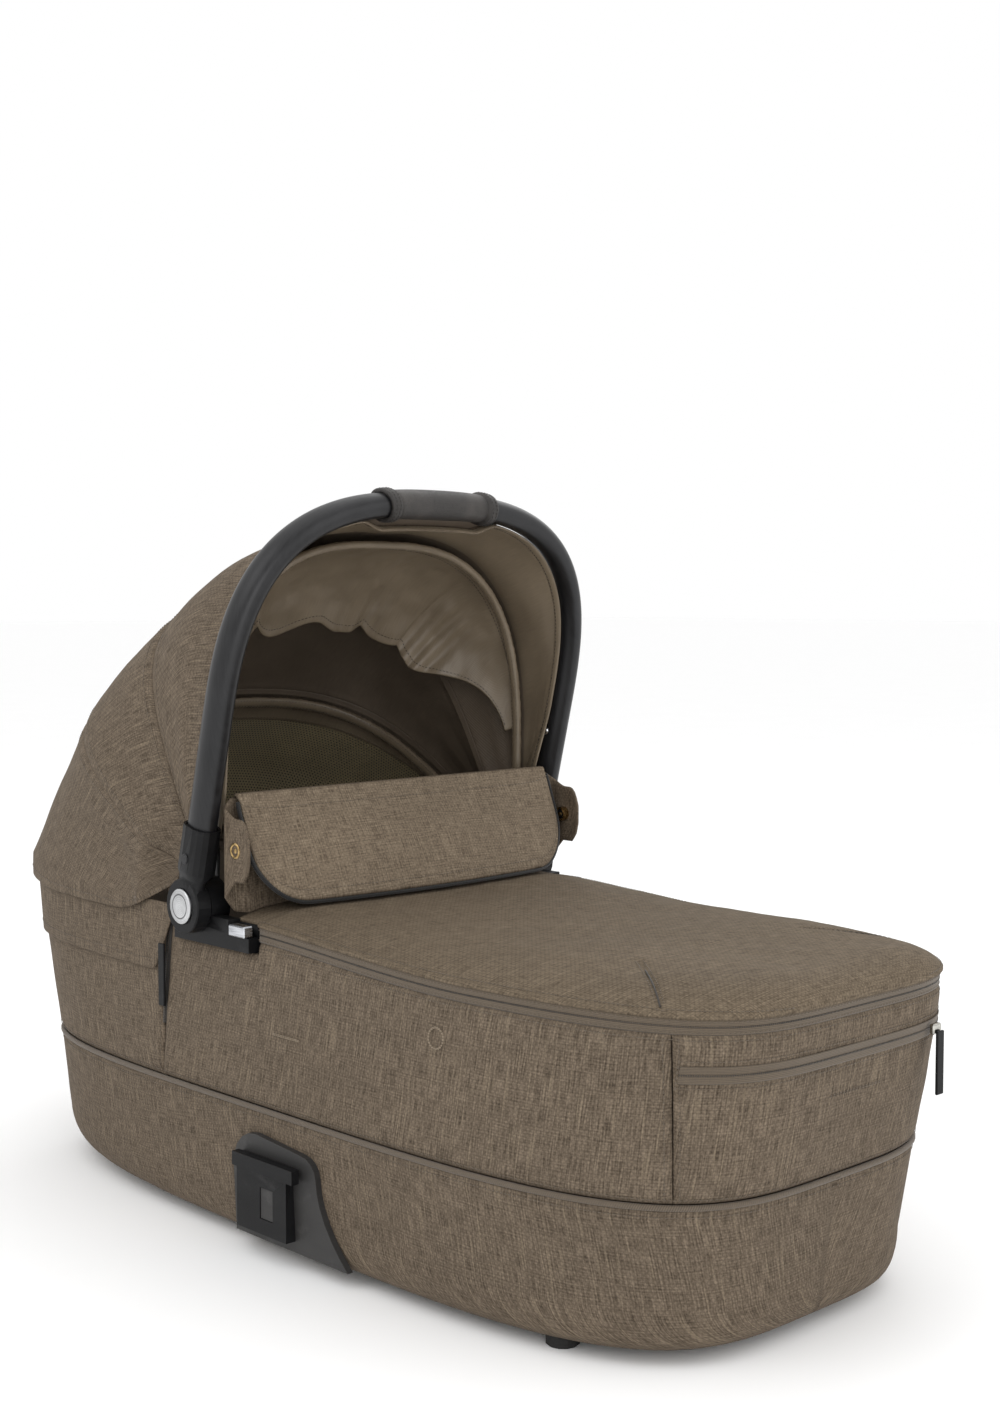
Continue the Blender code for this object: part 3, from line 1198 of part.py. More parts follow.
def build_bows():
    lanes = ((FRONT_BOW_ANGLE, FRONT_BOW_INSET, 0, "front_bow"),
             (REAR_SEAM_ANGLE, REAR_BOW_INSET, 1, "rear_bow"))
    for angle, inset, lane, name in lanes:
        reach, half_width, roundness = hood_section(angle)
        outer = DRUM_INNER - BOW_LANE_GAP - lane * (BOW_EYE_THICKNESS + BOW_LANE_GAP)
        side = outer - BOW_EYE_THICKNESS / 2
        path = []
        start = BOW_EYE_RADIUS - BOW_RADIUS
        leg = (reach - inset) * HOOD_LEG_SHARE
        for share, outward in ((0.0, 0.0), (0.4, 0.0), (0.8, 0.7)):
            y = side + (half_width - inset - side) * outward
            path.append(around_pivot(angle, start + (leg - start) * share, y))
        for turn in spread(0.0, pi, ARCH_STEPS):
            path.append(arch_point(angle, turn, reach - inset, half_width - inset, roundness, HOOD_LEG_SHARE))
        path += [Vector((point.x, -point.y, point.z)) for point in reversed(path[:3])]
        forward = arm_direction(angle - 90)
        bow = lofted(name, [tube_rings(path, BOW_RADIUS, BOW_EYE_THICKNESS / 2, 8, forward)],
                     (CHARCOAL, 0.5, 0.3), pivot=PIVOT)
        for sign, word in ((1, "left"), (-1, "right")):
            eye = [(outer, BOW_EYE_RADIUS), (outer - BOW_EYE_THICKNESS, BOW_EYE_RADIUS)]
            solid = lofted(name + "_eye_" + word, [turned(eye, PIVOT_X, PIVOT_Z, sign, 16)], (CHARCOAL, 0.5))
            join_solid(bow, solid)
        for sign, word in ((1, "left"), (-1, "right")):
            radius = BOSS_RADIUS + BOW_EYE_GAP
            bore = [(outer + BOW_EYE_THICKNESS, radius), (outer - BOW_EYE_THICKNESS * 2, radius)]
            hole = lofted(name + "_bore_" + word, [turned(bore, PIVOT_X, PIVOT_Z, sign, 16)], (CHARCOAL, 0.5))
            join_solid(bow, hole, "DIFFERENCE")


def build_inner_hood():
    # gathered drape behind the front bow, with a wavy free edge
    grid = []
    turns = spread(0.12 * pi, 0.88 * pi, DRAPE_FOLDS * 4)
    for share in spread(0.0, 1.0, 3):
        row = []
        for turn in turns:
            beside = hood_point(FRONT_BOW_ANGLE, turn, DRAPE_INSET)
            start = FRONT_BOW_ANGLE + turn_over(BOW_RADIUS + 2 * CLEARANCE, beside)
            angle = start + (DRAPE_END_ANGLE - start) * share
            wave = DRAPE_FOLD_DEPTH * share * sin(2 * DRAPE_FOLDS * (turn - turns[0]))
            inset = DRAPE_INSET + DRAPE_DROP * share * share + wave
            row.append(hood_point(angle, turn, inset))
        grid.append(row)
    middle = around_pivot(HANDLE_ANGLE + 45, HOOD_START, 0.0)
    sheet("canopy_drape", grid, (LIGHT_WOVEN, 0.6), DRAPE_THICKNESS, middle)

    angles = spread(WINDOW_START_ANGLE, WINDOW_END_ANGLE, 4)
    turns = spread(0.02 * pi, 0.98 * pi, ARCH_STEPS)
    grid = [[hood_point(angle, turn, WINDOW_INSET) for turn in turns] for angle in angles]
    sheet("mesh_window", grid, (DARK_LINING, 0.9), WINDOW_THICKNESS, middle)


def build_zips():
    # pocket zip on the foot panel, with a slider and a hanging puller
    def foot_place(angle, z, grow):
        share = (z - SEAM_HEIGHT) / (RIM_HEIGHT - SEAM_HEIGHT)
        return upper_wall_point(angle, share, grow)

    proud = POCKET_TAPE_THICKNESS + PULLER_GAP
    heights = (POCKET_ZIP_LEVEL - POCKET_ZIP_HEIGHT / 2, POCKET_ZIP_LEVEL + POCKET_ZIP_HEIGHT / 2)
    reach = radians(POCKET_ZIP_ANGLE)
    grid = [[foot_place(angle, z, proud) for angle in spread(-reach, reach, 12)] for z in heights]
    sheet("pocket_zip", grid, (BLACK, 0.7), POCKET_TAPE_THICKNESS, CABIN_MIDDLE)

    near = asin(((POCKET_SLIDER_PLACE - SLIDER_LENGTH / 2) / RIM_HALF_WIDTH) ** (RIM_FOOT_ROUNDNESS / 2))
    face = foot_place(near, POCKET_ZIP_LEVEL, proud + CLEARANCE * 2)[0]
    hinge = (face + SLIDER_THICKNESS + PULLER_GAP + PULLER_THICKNESS / 2, POCKET_SLIDER_PLACE,
             POCKET_ZIP_LEVEL - SLIDER_LENGTH * 0.2)
    block("pocket_slider",
          (face, POCKET_SLIDER_PLACE - SLIDER_LENGTH / 2, POCKET_ZIP_LEVEL - SLIDER_WIDTH / 2),
          (face + SLIDER_THICKNESS, POCKET_SLIDER_PLACE + SLIDER_LENGTH / 2, POCKET_ZIP_LEVEL + SLIDER_WIDTH / 2),
          (SILVER, 0.3, 1.0), smooth=True, edge=SLIDER_THICKNESS / 4)
    block("pocket_puller",
          (hinge[0] - PULLER_THICKNESS / 2, hinge[1] - PULLER_WIDTH / 2, hinge[2] - PULLER_LENGTH),
          (hinge[0] + PULLER_THICKNESS / 2, hinge[1] + PULLER_WIDTH / 2, hinge[2] + PULLER_THICKNESS / 2),
          (BLACK, 0.6), smooth=True, pivot=hinge, edge=PULLER_THICKNESS / 4)

    for side, word in ((1, "left"), (-1, "right")):
        middle = rim_angle_at(-SLIT_PLACE, 1)
        half = SLIT_HALF_WIDTH - PANEL_GAP
        grid = []
        for share in spread(SLIT_BOTTOM_SHARE + 0.2, 0.93, 3):
            narrow = SLIT_FOOT_HALF_WIDTH / SLIT_HALF_WIDTH
            width = half * (narrow + (1 - narrow) * max(0.0, (share - 0.3) / 0.7))
            y, z = upper_wall_point(middle, share, -ZIP_RECESS)[1:]
            grid.append([(way * width - SLIT_PLACE, side * y, z) for way in (1, -1)])
        zip_tape = sheet("side_zip_" + word, grid, (BLACK, 0.7), SLIT_TAPE_THICKNESS, CABIN_MIDDLE)
        x = -SLIT_PLACE
        y, z = upper_wall_point(middle, upper_share(middle, SIDE_SLIDER_DROP), -ZIP_RECESS)[1:]
        outer = y + ZIP_RECESS + SLIDER_THICKNESS
        slider = block("side_slider_" + word,
                       (x - SIDE_SLIDER_WIDTH / 2, side * (y - SLIT_TAPE_THICKNESS / 2), z - SLIDER_LENGTH / 2),
                       (x + SIDE_SLIDER_WIDTH / 2, side * outer, z + SLIDER_LENGTH / 2), (BLACK, 0.35, 0.8))
        join_solid(zip_tape, slider)
        hinge = (x, side * (outer + PULLER_GAP + PULLER_THICKNESS / 2), z - SLIDER_LENGTH * 0.2)
        block("side_puller_" + word,
              (x - PULLER_WIDTH / 2, hinge[1] - PULLER_THICKNESS / 2, hinge[2] - SIDE_PULLER_LENGTH),
              (x + PULLER_WIDTH / 2, hinge[1] + PULLER_THICKNESS / 2, hinge[2] + PULLER_THICKNESS / 2),
              (BLACK, 0.6), smooth=True, pivot=hinge, edge=PULLER_THICKNESS / 4)


def wall_side(z):
    # half width on the line of the lower wall between seam and knee, carried on straight below it
    share = (z - KNEE_HEIGHT) / (SEAM_HEIGHT - KNEE_HEIGHT)
    return KNEE_HALF_WIDTH + (SEAM_HALF_WIDTH - KNEE_HALF_WIDTH) * share


def prism(outline, inner, outer, side):
    # an outline of x and z, between two distances from the middle that may depend on z
    return [[(x, side * inner(z), z) for x, z in outline], [(x, side * outer(z), z) for x, z in outline]]


def rectangle(left, right, low, high):
    return [(left, low), (right, low), (right, high), (left, high)]


def adapter_outline():
    # flared foot at the front, a round shoulder there and an arch over the rear
    points = [(-ADAPTER_REAR, ADAPTER_BOTTOM), (ADAPTER_FRONT + ADAPTER_FLARE, ADAPTER_BOTTOM)]
    shoulder = ADAPTER_FRONT - ADAPTER_ARCH * 0.58
    for share in spread(0.15, 1.0, 5):
        sweep = (1 - share) ** 2
        points.append((ADAPTER_FRONT + ADAPTER_FLARE * sweep,
                       ADAPTER_BOTTOM + (ADAPTER_SHOULDER - ADAPTER_ARCH / 2 - ADAPTER_BOTTOM) * share))
    for turn in spread(0.0, pi / 2, 4)[1:]:
        points.append((shoulder + (ADAPTER_FRONT - shoulder) * cos(turn),
                       ADAPTER_SHOULDER - ADAPTER_ARCH / 2 + ADAPTER_ARCH / 2 * sin(turn)))
    for turn in spread(pi / 2, pi, 5):
        points.append((-ADAPTER_REAR + ADAPTER_ARCH + ADAPTER_ARCH * cos(turn),
                       ADAPTER_TOP - ADAPTER_ARCH + ADAPTER_ARCH * sin(turn)))
    return points


def build_adapters():
    def plate_back(z):
        return wall_side(z) + CLEARANCE

    def plate_front(z):
        return plate_back(z) + ADAPTER_THICKNESS

    def connector_back(z):
        return plate_front(z) + CLEARANCE

    lip_face = plate_front(CONNECTOR_LIP_TOP) + CONNECTOR_PROUD
    plate_face = plate_front(CONNECTOR_LIP_TOP) + CONNECTOR_PLATE_PROUD
    lip_root = plate_face - CONNECTOR_PLATE_PROUD / 2
    for side, word in ((1, "left"), (-1, "right")):
        lofted("adapter_plate_" + word, [prism(adapter_outline(), plate_back, plate_front, side)],
               (BLACK, 0.6), smooth=False)
        left = CONNECTOR_WINDOW_PLACE - CONNECTOR_WINDOW_WIDTH / 2
        right = CONNECTOR_WINDOW_PLACE + CONNECTOR_WINDOW_WIDTH / 2
        window_low = (CONNECTOR_LOW + CONNECTOR_LIP_BOTTOM - CONNECTOR_WINDOW_HEIGHT) / 2
        window_high = window_low + CONNECTOR_WINDOW_HEIGHT
        rear = -CONNECTOR_REAR + CONNECTOR_EDGE
        high = CONNECTOR_LIP_TOP - CONNECTOR_EDGE
        frame = rectangle(rear, CONNECTOR_PLATE_FRONT, CONNECTOR_LOW, high)
        window = rectangle(left, right, window_low, window_high)
        back = [[(x, side * connector_back(z), z) for x, z in corners] for corners in (window, frame)]
        face = [[(x, side * plate_face, z) for x, z in corners] for corners in (frame, window)]
        connector = lofted("adapter_connector_" + word, [back + face], (BLACK, 0.5), closed=True, smooth=False)
        lip = block("connector_lip_" + word, (-CONNECTOR_REAR, side * lip_root, CONNECTOR_LIP_BOTTOM),
                    (CONNECTOR_FRONT, side * lip_face, CONNECTOR_LIP_TOP), (BLACK, 0.5))
        join_solid(connector, lip)
        latch_face = plate_face - LATCH_DEPTH
        latch = rectangle(left + LATCH_GAP, right - LATCH_GAP, window_low + LATCH_GAP, window_high - LATCH_GAP)
        lofted("adapter_latch_" + word,
               [prism(latch, lambda z: latch_face - LATCH_THICKNESS, lambda z: latch_face, side)],
               (CHARCOAL, 0.4), smooth=False, pivot=(CONNECTOR_WINDOW_PLACE, side * latch_face,
                                                     (window_low + window_high) / 2))


def build_carrycot():
    remove_objects()
    tray_floor, lip, tray_inset = build_base()
    build_feet()
    build_upper_cover()
    rim_inset = build_piping_and_rim(lip)
    build_lining(tray_floor, lip, tray_inset, rim_inset)
    build_apron()
    build_wind_guard()
    build_collar()
    build_pivots()
    build_release_tabs()
    build_handle()
    build_hood()
    build_skirt()
    build_bows()
    build_inner_hood()
    build_zips()
    build_adapters()


build_carrycot()
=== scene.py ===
import json
import bmesh
import bpy
import numpy as np
from math import acos, atan2, copysign, cos, pi, radians, sin, sqrt
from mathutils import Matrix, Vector, noise


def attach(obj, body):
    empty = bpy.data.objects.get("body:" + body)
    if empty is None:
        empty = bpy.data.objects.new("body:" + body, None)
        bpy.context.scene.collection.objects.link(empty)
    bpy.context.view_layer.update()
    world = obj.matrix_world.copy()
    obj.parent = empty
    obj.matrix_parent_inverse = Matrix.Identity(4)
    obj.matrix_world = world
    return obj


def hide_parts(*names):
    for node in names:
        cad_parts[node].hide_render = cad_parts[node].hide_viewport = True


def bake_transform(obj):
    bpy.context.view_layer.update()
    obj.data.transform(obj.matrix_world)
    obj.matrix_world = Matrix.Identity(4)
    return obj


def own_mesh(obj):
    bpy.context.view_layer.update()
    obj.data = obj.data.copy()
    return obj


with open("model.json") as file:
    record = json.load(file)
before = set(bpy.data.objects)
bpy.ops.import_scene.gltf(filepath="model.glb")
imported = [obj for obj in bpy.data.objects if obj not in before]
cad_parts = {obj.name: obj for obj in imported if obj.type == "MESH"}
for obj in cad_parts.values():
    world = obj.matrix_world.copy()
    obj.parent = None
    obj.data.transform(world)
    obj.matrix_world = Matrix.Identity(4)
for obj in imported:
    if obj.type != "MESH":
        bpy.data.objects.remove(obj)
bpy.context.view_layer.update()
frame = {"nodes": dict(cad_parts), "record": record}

print("stage: frame loaded")

# The carrycot: +X is the foot end, +Y the left side, +Z up. Sizes in metres, angles in degrees.

bodyShape = {
    "rim": (0.434, 0.4295, 0.1757, 4.4, 4.6),           # foot end, head end, half width, roundness of both ends
    "seam": (0.4126, 0.3869, 0.1854, 3.85, 4.2),
    "knee": (0.4020, 0.3815, 0.1824, 3.8, 4.0),
    "base": (0.3910, 0.3615, 0.1760, 3.7, 3.3),
    "rimHeight": 0.2411, "rimRise": 0.012, "riseStart": 0.228, "riseLength": 0.281,
    "seamHeight": 0.1122, "kneeHeight": 0.045, "baseHeight": 0.0117, "underside": 0.0085, "corner": 0.008,
    "bulge": 0.0015, "cover": 0.003, "zipBand": 0.0134,
    "pivotX": -0.076, "pivotZ": 0.26,
}
handleShape = {
    "angle": 76.0, "reach": 0.328, "side": 0.188, "roundness": 2.9, "legShare": 0.45,
    "wide": 0.0135, "tall": 0.010, "start": 0.031, "gripHalf": 0.0573, "bandWidth": 0.009,
    "oval": 2.15,
}
hoodShape = {
    # angle, reach as a share of the handle's, half width as a share of the rim's, roundness
    "rows": ((76.0, 0.971, 1.013, 2.6), (88.0, 0.915, 1.025, 2.8), (99.0, 0.892, 1.027, 3.0),
             (108.0, 0.862, 1.009, 3.2), (118.3, 0.840, 0.977, 3.4), (147.4, 0.876, 1.077, 3.3),
             (166.0, 0.961, 1.075, 3.2)),
    "legShare": 0.3, "hubSide": 0.1715, "start": 0.036, "rearStart": 0.042,
    "frontSeam": 118.3, "rearSeam": 147.4, "bowAngle": 88.0,
    "hemGrowSide": 0.0070, "hemGrowHead": 0.0050, "hemDrop": 0.0095, "hemClimb": 0.56,
    "climbStart": 0.199, "climbEase": 0.050, "tailRise": 0.0070, "tailStart": 0.300,
    "hemSideStart": 0.165, "hemHubPlace": 0.120, "bandShare": 0.88, "rearBulge": 0.002,
    "slotHalf": 0.050, "slotRamp": 0.025, "slotDepth": 0.010, "frontGap": 0.0106,
}
pivotPoint = (bodyShape["pivotX"], 0, bodyShape["pivotZ"])
bothSides = ((1, "Left"), (-1, "Right"))


def power(value, exponent):
    return np.sign(value) * np.abs(value) ** exponent


def smoothStep(value):
    value = np.clip(value, 0.0, 1.0)
    return value * value * (3 - 2 * value)


def unit(vectors):
    return vectors / np.linalg.norm(vectors, axis=-1, keepdims=True)


def runningLength(points):
    # how far along the line each of its points lies
    return np.concatenate([[0], np.cumsum(np.linalg.norm(np.diff(points, axis=0), axis=1))])


def eased(line):
    # the same line with its bends rounded a little; both ends stay
    line = line.copy()
    line[1:-1] = line[:-2] * 0.25 + line[1:-1] * 0.5 + line[2:] * 0.25
    return line


def outlinePoint(level, angle, grow=0.0):
    foot, head, half, footRound, headRound = bodyShape[level]
    exponent = np.where(np.cos(angle) > 0, 2 / footRound, 2 / headRound)
    x = (foot - head) / 2 + ((foot + head) / 2 + grow) * power(np.cos(angle), exponent)
    y = (half + grow) * power(np.sin(angle), exponent)
    return x, y


def outlineRow(level, angles, grow, height):
    x, y = outlinePoint(level, angles, grow)
    return np.stack([x, y, height + 0 * x], -1)


def rimHeight(x):
    b = bodyShape
    return b["rimHeight"] + b["rimRise"] * smoothStep((b["riseStart"] - x) / b["riseLength"])


rimTop = bodyShape["rimHeight"] + bodyShape["rimRise"]


def rimAngleAt(x):
    foot, head, _, footRound, headRound = bodyShape["rim"]
    share = (x - (foot - head) / 2) / ((foot + head) / 2)
    roundness = footRound if share > 0 else headRound
    return acos(copysign(abs(share) ** (roundness / 2), share))


def upperWall(angle, share, grow=0.0):
    # share 0 at the piped seam, 1 at the rim
    rimX, rimY = outlinePoint("rim", angle, grow)
    seamX, seamY = outlinePoint("seam", angle, grow)
    bulge = bodyShape["bulge"] * (1 - (2 * share - 1) ** 2)
    x = seamX + (rimX - seamX) * share
    y = seamY + (rimY - seamY) * share
    length = np.sqrt(x * x + y * y)
    z = bodyShape["seamHeight"] + (rimHeight(rimX) - bodyShape["seamHeight"]) * share
    return np.stack([x + bulge * x / length, y + bulge * y / length, z + 0 * x], -1)


def upperShare(angle, drop):
    height = rimHeight(outlinePoint("rim", angle)[0]) - bodyShape["seamHeight"]
    return 1 - drop / height


def lowerWall(angle, height, grow=0.0):
    b = bodyShape
    kneeX, kneeY = outlinePoint("knee", angle, grow)
    if height > b["kneeHeight"]:
        share = (height - b["kneeHeight"]) / (b["seamHeight"] - b["kneeHeight"])
        otherX, otherY = outlinePoint("seam", angle, grow)
    else:
        share = 1 - sqrt(1 - min(1.0, (b["kneeHeight"] - height) / (b["kneeHeight"] - b["baseHeight"])) ** 2)
        otherX, otherY = outlinePoint("base", angle, grow)
    return np.stack([kneeX + (otherX - kneeX) * share, kneeY + (otherY - kneeY) * share, height + 0 * kneeX], -1)


def ringAngles(count):
    # even steps along the rim's outline, so that corners get as many points as straights
    fine = np.linspace(0, 2 * pi, 20001)
    x, y = outlinePoint("rim", fine)
    along = runningLength(np.stack([x, y], -1))
    return np.interp(np.arange(count) / count * along[-1], along, fine)


def aroundPivot(angle, reach, y):
    turn = np.radians(angle)
    x = bodyShape["pivotX"] + np.cos(turn) * reach
    z = bodyShape["pivotZ"] + np.sin(turn) * reach
    return np.stack(np.broadcast_arrays(x, y, z), -1)


def headingAt(angle):
    # the direction from the pivot at an angle
    return aroundPivot(angle, 1.0, 0.0) - pivotPoint


def pivotDistance(points):
    return np.linalg.norm(points[..., [0, 2]] - [bodyShape["pivotX"], bodyShape["pivotZ"]], axis=-1)


def swung(row, turn):
    # a row turned about the pivot, by one angle or by one for each point
    x, z = row[:, 0] - bodyShape["pivotX"], row[:, 2] - bodyShape["pivotZ"]
    return np.stack([bodyShape["pivotX"] + x * np.cos(turn) - z * np.sin(turn), row[:, 1],
                     bodyShape["pivotZ"] + x * np.sin(turn) + z * np.cos(turn)], -1)


def archPoint(angle, turn, reach, half, roundness, legShare):
    rise = legShare + (1 - legShare) * np.abs(np.sin(turn)) ** (2 / roundness)
    return aroundPivot(angle, reach * rise, half * power(np.cos(turn), 2 / roundness))


def hoodPointAt(angle, turn, reach, half, roundness):
    return archPoint(angle, turn, reach, half, roundness, hoodShape["legShare"])


def hoodSection(angle):
    rows = hoodShape["rows"]
    last = len(rows) - 1
    index = 0
    while index < last - 1 and angle > rows[index + 1][0]:
        index += 1
    low, high = rows[index], rows[index + 1]
    before, after = rows[max(0, index - 1)], rows[min(last, index + 2)]
    span = high[0] - low[0]
    share = min(1.0, max(0.0, (angle - low[0]) / span))
    values = []
    for part in range(1, 4):
        slopeLow = (high[part] - before[part]) / (high[0] - before[0]) * span
        slopeHigh = (after[part] - low[part]) / (after[0] - low[0]) * span
        square, cube = share * share, share ** 3
        values.append((2 * cube - 3 * square + 1) * low[part] + (cube - 2 * square + share) * slopeLow
                      + (3 * square - 2 * cube) * high[part] + (cube - square) * slopeHigh)
    return values[0] * handleShape["reach"], values[1] * bodyShape["rim"][2], values[2]


def hoodArch(angle, turns, reach, half, roundness, start):
    # turns run from 0 to pi over the arch; below and above that they run down the legs
    h = hoodShape
    leg = reach * h["legShare"]
    rows = []
    for turn in turns:
        if 0 <= turn <= pi:
            rows.append(hoodPointAt(angle, turn, reach, half, roundness))
            continue
        share = -turn if turn < 0 else turn - pi
        side = 1.0 if turn < 0 else -1.0
        distance = leg + (start - leg) * share
        draw = smoothStep(1.5 * (leg - distance) / (leg - h["start"]))
        y = half + (min(half, h["hubSide"]) - half) * draw
        rows.append(aroundPivot(angle, distance, side * y))
    return np.array(rows)


def hoodRow(angle, turns, inset=0.0, start=None):
    reach, half, roundness = hoodSection(angle)
    return hoodArch(angle, turns, reach - inset, half - inset, roundness, start or hoodShape["start"])


def hoodTurns(arch, legs):
    # evenly spaced over the arch by length, then down both legs
    fine = np.linspace(0, pi, 4001)
    points = archPoint(110.0, fine, 0.29, 0.18, 3.1, hoodShape["legShare"])
    along = runningLength(points)
    over = np.interp(np.linspace(0, along[-1], arch + 1), along, fine)
    over[0], over[-1] = 0.0, pi
    down = [-share / legs for share in range(legs, 0, -1)]
    return np.array(down + list(over) + [pi + share / legs for share in range(1, legs + 1)])


def hemHeight(x):
    h = hoodShape
    start, ease, climb = h["climbStart"], h["climbEase"], h["hemClimb"]
    if x < -start:
        rise = 0.0
    elif x < -start + ease:
        rise = climb * (x + start) ** 2 / (2 * ease)
    else:
        rise = climb * (x + start - ease / 2)
    tail = h["tailRise"] * smoothStep((-x - h["tailStart"]) / (bodyShape["rim"][1] - h["tailStart"]))
    return rimTop - h["hemDrop"] + rise + tail


def hemRow(turns):
    h = hoodShape
    foot, head, half, _, headRound = bodyShape["rim"]
    middle, halfLength = (foot - head) / 2, (foot + head) / 2 + h["hemGrowHead"]
    halfWidth = half + h["hemGrowSide"]
    row = []
    for turn in turns:
        if 0 <= turn <= pi:
            x = min(middle - halfLength * abs(sin(turn)) ** (2 / headRound), -h["hemSideStart"])
            y = halfWidth * float(power(cos(turn), 2 / headRound))
        else:
            share = -turn if turn < 0 else turn - pi
            x = -h["hemSideStart"] + (h["hemSideStart"] - h["hemHubPlace"]) * share
            draw = float(smoothStep(1.2 * share)) * (halfWidth - h["hubSide"])
            y = (halfWidth - draw) if turn < 0 else (draw - halfWidth)
        row.append((x, y, hemHeight(x)))
    return np.array(row)


# ---- making meshes


def newObject(name, points, faces, materials, smooth=True, faceSlots=None, uvs=None, wrap=0):
    mesh = bpy.data.meshes.new(name)
    mesh.from_pydata([tuple(map(float, p)) for p in points], [], [tuple(map(int, f)) for f in faces])
    for material in materials:
        mesh.materials.append(material)
    if faceSlots is not None:
        mesh.polygons.foreach_set("material_index", np.asarray(faceSlots, np.int32))
    if smooth:
        mesh.shade_smooth()
    if uvs is not None:
        layer = mesh.uv_layers.new(name="cloth")
        corners = np.zeros(len(mesh.loops), np.int32)
        mesh.loops.foreach_get("vertex_index", corners)
        spread = np.asarray(uvs, np.float32)[corners]
        if wrap:
            # faces that close a ring get a map that runs on past its end
            axis, starts = wrap, np.zeros(len(mesh.polygons), np.int32)
            lengths = np.zeros_like(starts)
            mesh.polygons.foreach_get("loop_start", starts)
            mesh.polygons.foreach_get("loop_total", lengths)
            step = float(np.ptp(spread[:, axis - 1])) / 2
            for s, n in zip(starts[lengths == 4], lengths[lengths == 4]):
                values = spread[s:s + n, axis - 1]
                if np.ptp(values) > step:
                    values[values < values.max() - step] += 2 * step
        layer.data.foreach_set("uv", spread.ravel())
    mesh.update()
    item = bpy.data.objects.new(name, mesh)
    bpy.context.scene.collection.objects.link(item)
    return item


def gridNormals(grid, around):
    if around:
        alongU = np.roll(grid, -1, 1) - np.roll(grid, 1, 1)
    else:
        alongU = np.gradient(grid, axis=1)
    alongV = np.gradient(grid, axis=0)
    normals = np.cross(alongU, alongV)
    length = np.linalg.norm(normals, axis=2, keepdims=True)
    length[length < 1e-12] = 1.0
    return normals / length


def outwardNormals(grid, inside, around):
    normals = gridNormals(grid, around)
    facing = np.sum(normals * (grid - np.asarray(inside, float)))
    return normals if facing > 0 else -normals


def gridLengths(grid):
    # real distances along both directions of a sheet, for patterns that follow the cloth
    rows, columns = grid.shape[:2]
    stepU = np.linalg.norm(np.diff(grid, axis=1), axis=2)
    stepV = np.linalg.norm(np.diff(grid, axis=0), axis=2)
    u = np.concatenate([np.zeros((rows, 1)), np.cumsum(stepU, 1)], 1)
    u -= u[:, columns // 2][:, None]
    v = np.concatenate([np.zeros((1, columns)), np.cumsum(stepV, 0)], 0)
    return np.stack([u, v], -1)


def clothSheet(name, grid, materials, thickness, inside, around=False, hem=0.45, cap=None):
    # a closed cloth: grid is its outer face, the inner face lies thickness behind it, edges are rolled by hem
    grid = np.asarray(grid, float)
    rows, columns = grid.shape[:2]
    normals = outwardNormals(grid, inside, around)
    sign = 1 if np.sum(gridNormals(grid, around) * normals) > 0 else -1
    inner = grid - normals * thickness
    uv = gridLengths(grid)
    points = [grid.reshape(-1, 3), inner.reshape(-1, 3)]
    uvs = [uv.reshape(-1, 2), uv.reshape(-1, 2)]
    offset = rows * columns
    faces, slots = [], []

    def quad(a, b, c, d, slot):
        faces.append((a, b, c, d) if sign > 0 else (d, c, b, a))
        slots.append(slot)

    index = np.arange(rows * columns).reshape(rows, columns)
    spanU = columns if around else columns - 1
    for r in range(rows - 1):
        for c in range(spanU):
            n = (c + 1) % columns
            quad(index[r, c], index[r, n], index[r + 1, n], index[r + 1, c], 0)
            quad(index[r + 1, c] + offset, index[r + 1, n] + offset, index[r, n] + offset, index[r, c] + offset, 1)

    total = 2 * offset

    def roll(line, outwards):
        # joins outer and inner edge through a rounded middle line
        nonlocal total
        line = list(line)
        outer = grid.reshape(-1, 3)[line]
        back = inner.reshape(-1, 3)[line]
        middle = (outer + back) / 2 + outwards * thickness * hem
        points.append(middle)
        uvs.append(uv.reshape(-1, 2)[line])
        start = total
        total += len(line)
        return start, line

    def strip(start, line, closed, flip):
        count = len(line)
        for i in range(count if closed else count - 1):
            n = (i + 1) % count
            a, b = line[i], line[n]
            if flip:
                quad(b, a, start + i, start + n, 0)
                quad(start + n, start + i, a + offset, b + offset, 1)
            else:
                quad(a, b, start + n, start + i, 0)
                quad(start + i, start + n, b + offset, a + offset, 1)

    def away(line, neighbour):
        a = grid.reshape(-1, 3)[line]
        b = grid.reshape(-1, 3)[neighbour]
        d = a - b
        return d / np.maximum(np.linalg.norm(d, axis=1, keepdims=True), 1e-9)

    if cap != "first":
        firstRow, line = roll(index[0], away(index[0], index[1]))
        strip(firstRow, line, around, True)
    lastRow, line = roll(index[-1], away(index[-1], index[-2]))
    strip(lastRow, line, around, False)
    if cap == "first":
        faces.append(tuple(index[0]) if sign < 0 else tuple(index[0][::-1]))
        slots.append(0)
        faces.append(tuple(index[0][::-1] + offset) if sign < 0 else tuple(index[0] + offset))
        slots.append(1)
    if not around:
        left, line = roll(index[:, 0], away(index[:, 0], index[:, 1]))
        strip(left, line, False, False)
        right, line = roll(index[:, -1], away(index[:, -1], index[:, -2]))
        strip(right, line, False, True)
        # small faces close the four corners between the rolled edges
        for row, side, corner in ((firstRow, left, index[0, 0]), (lastRow, left + rows - 1, index[-1, 0]),
                                  (firstRow + columns - 1, right, index[0, -1]),
                                  (lastRow + columns - 1, right + rows - 1, index[-1, -1])):
            faces.append((corner, row, side))
            slots.append(0)
            faces.append((corner + offset, row, side))
            slots.append(1)
    return faceOut(newObject(name, np.concatenate(points), faces, materials, True, slots, np.concatenate(uvs),
                             1 if around else 0))


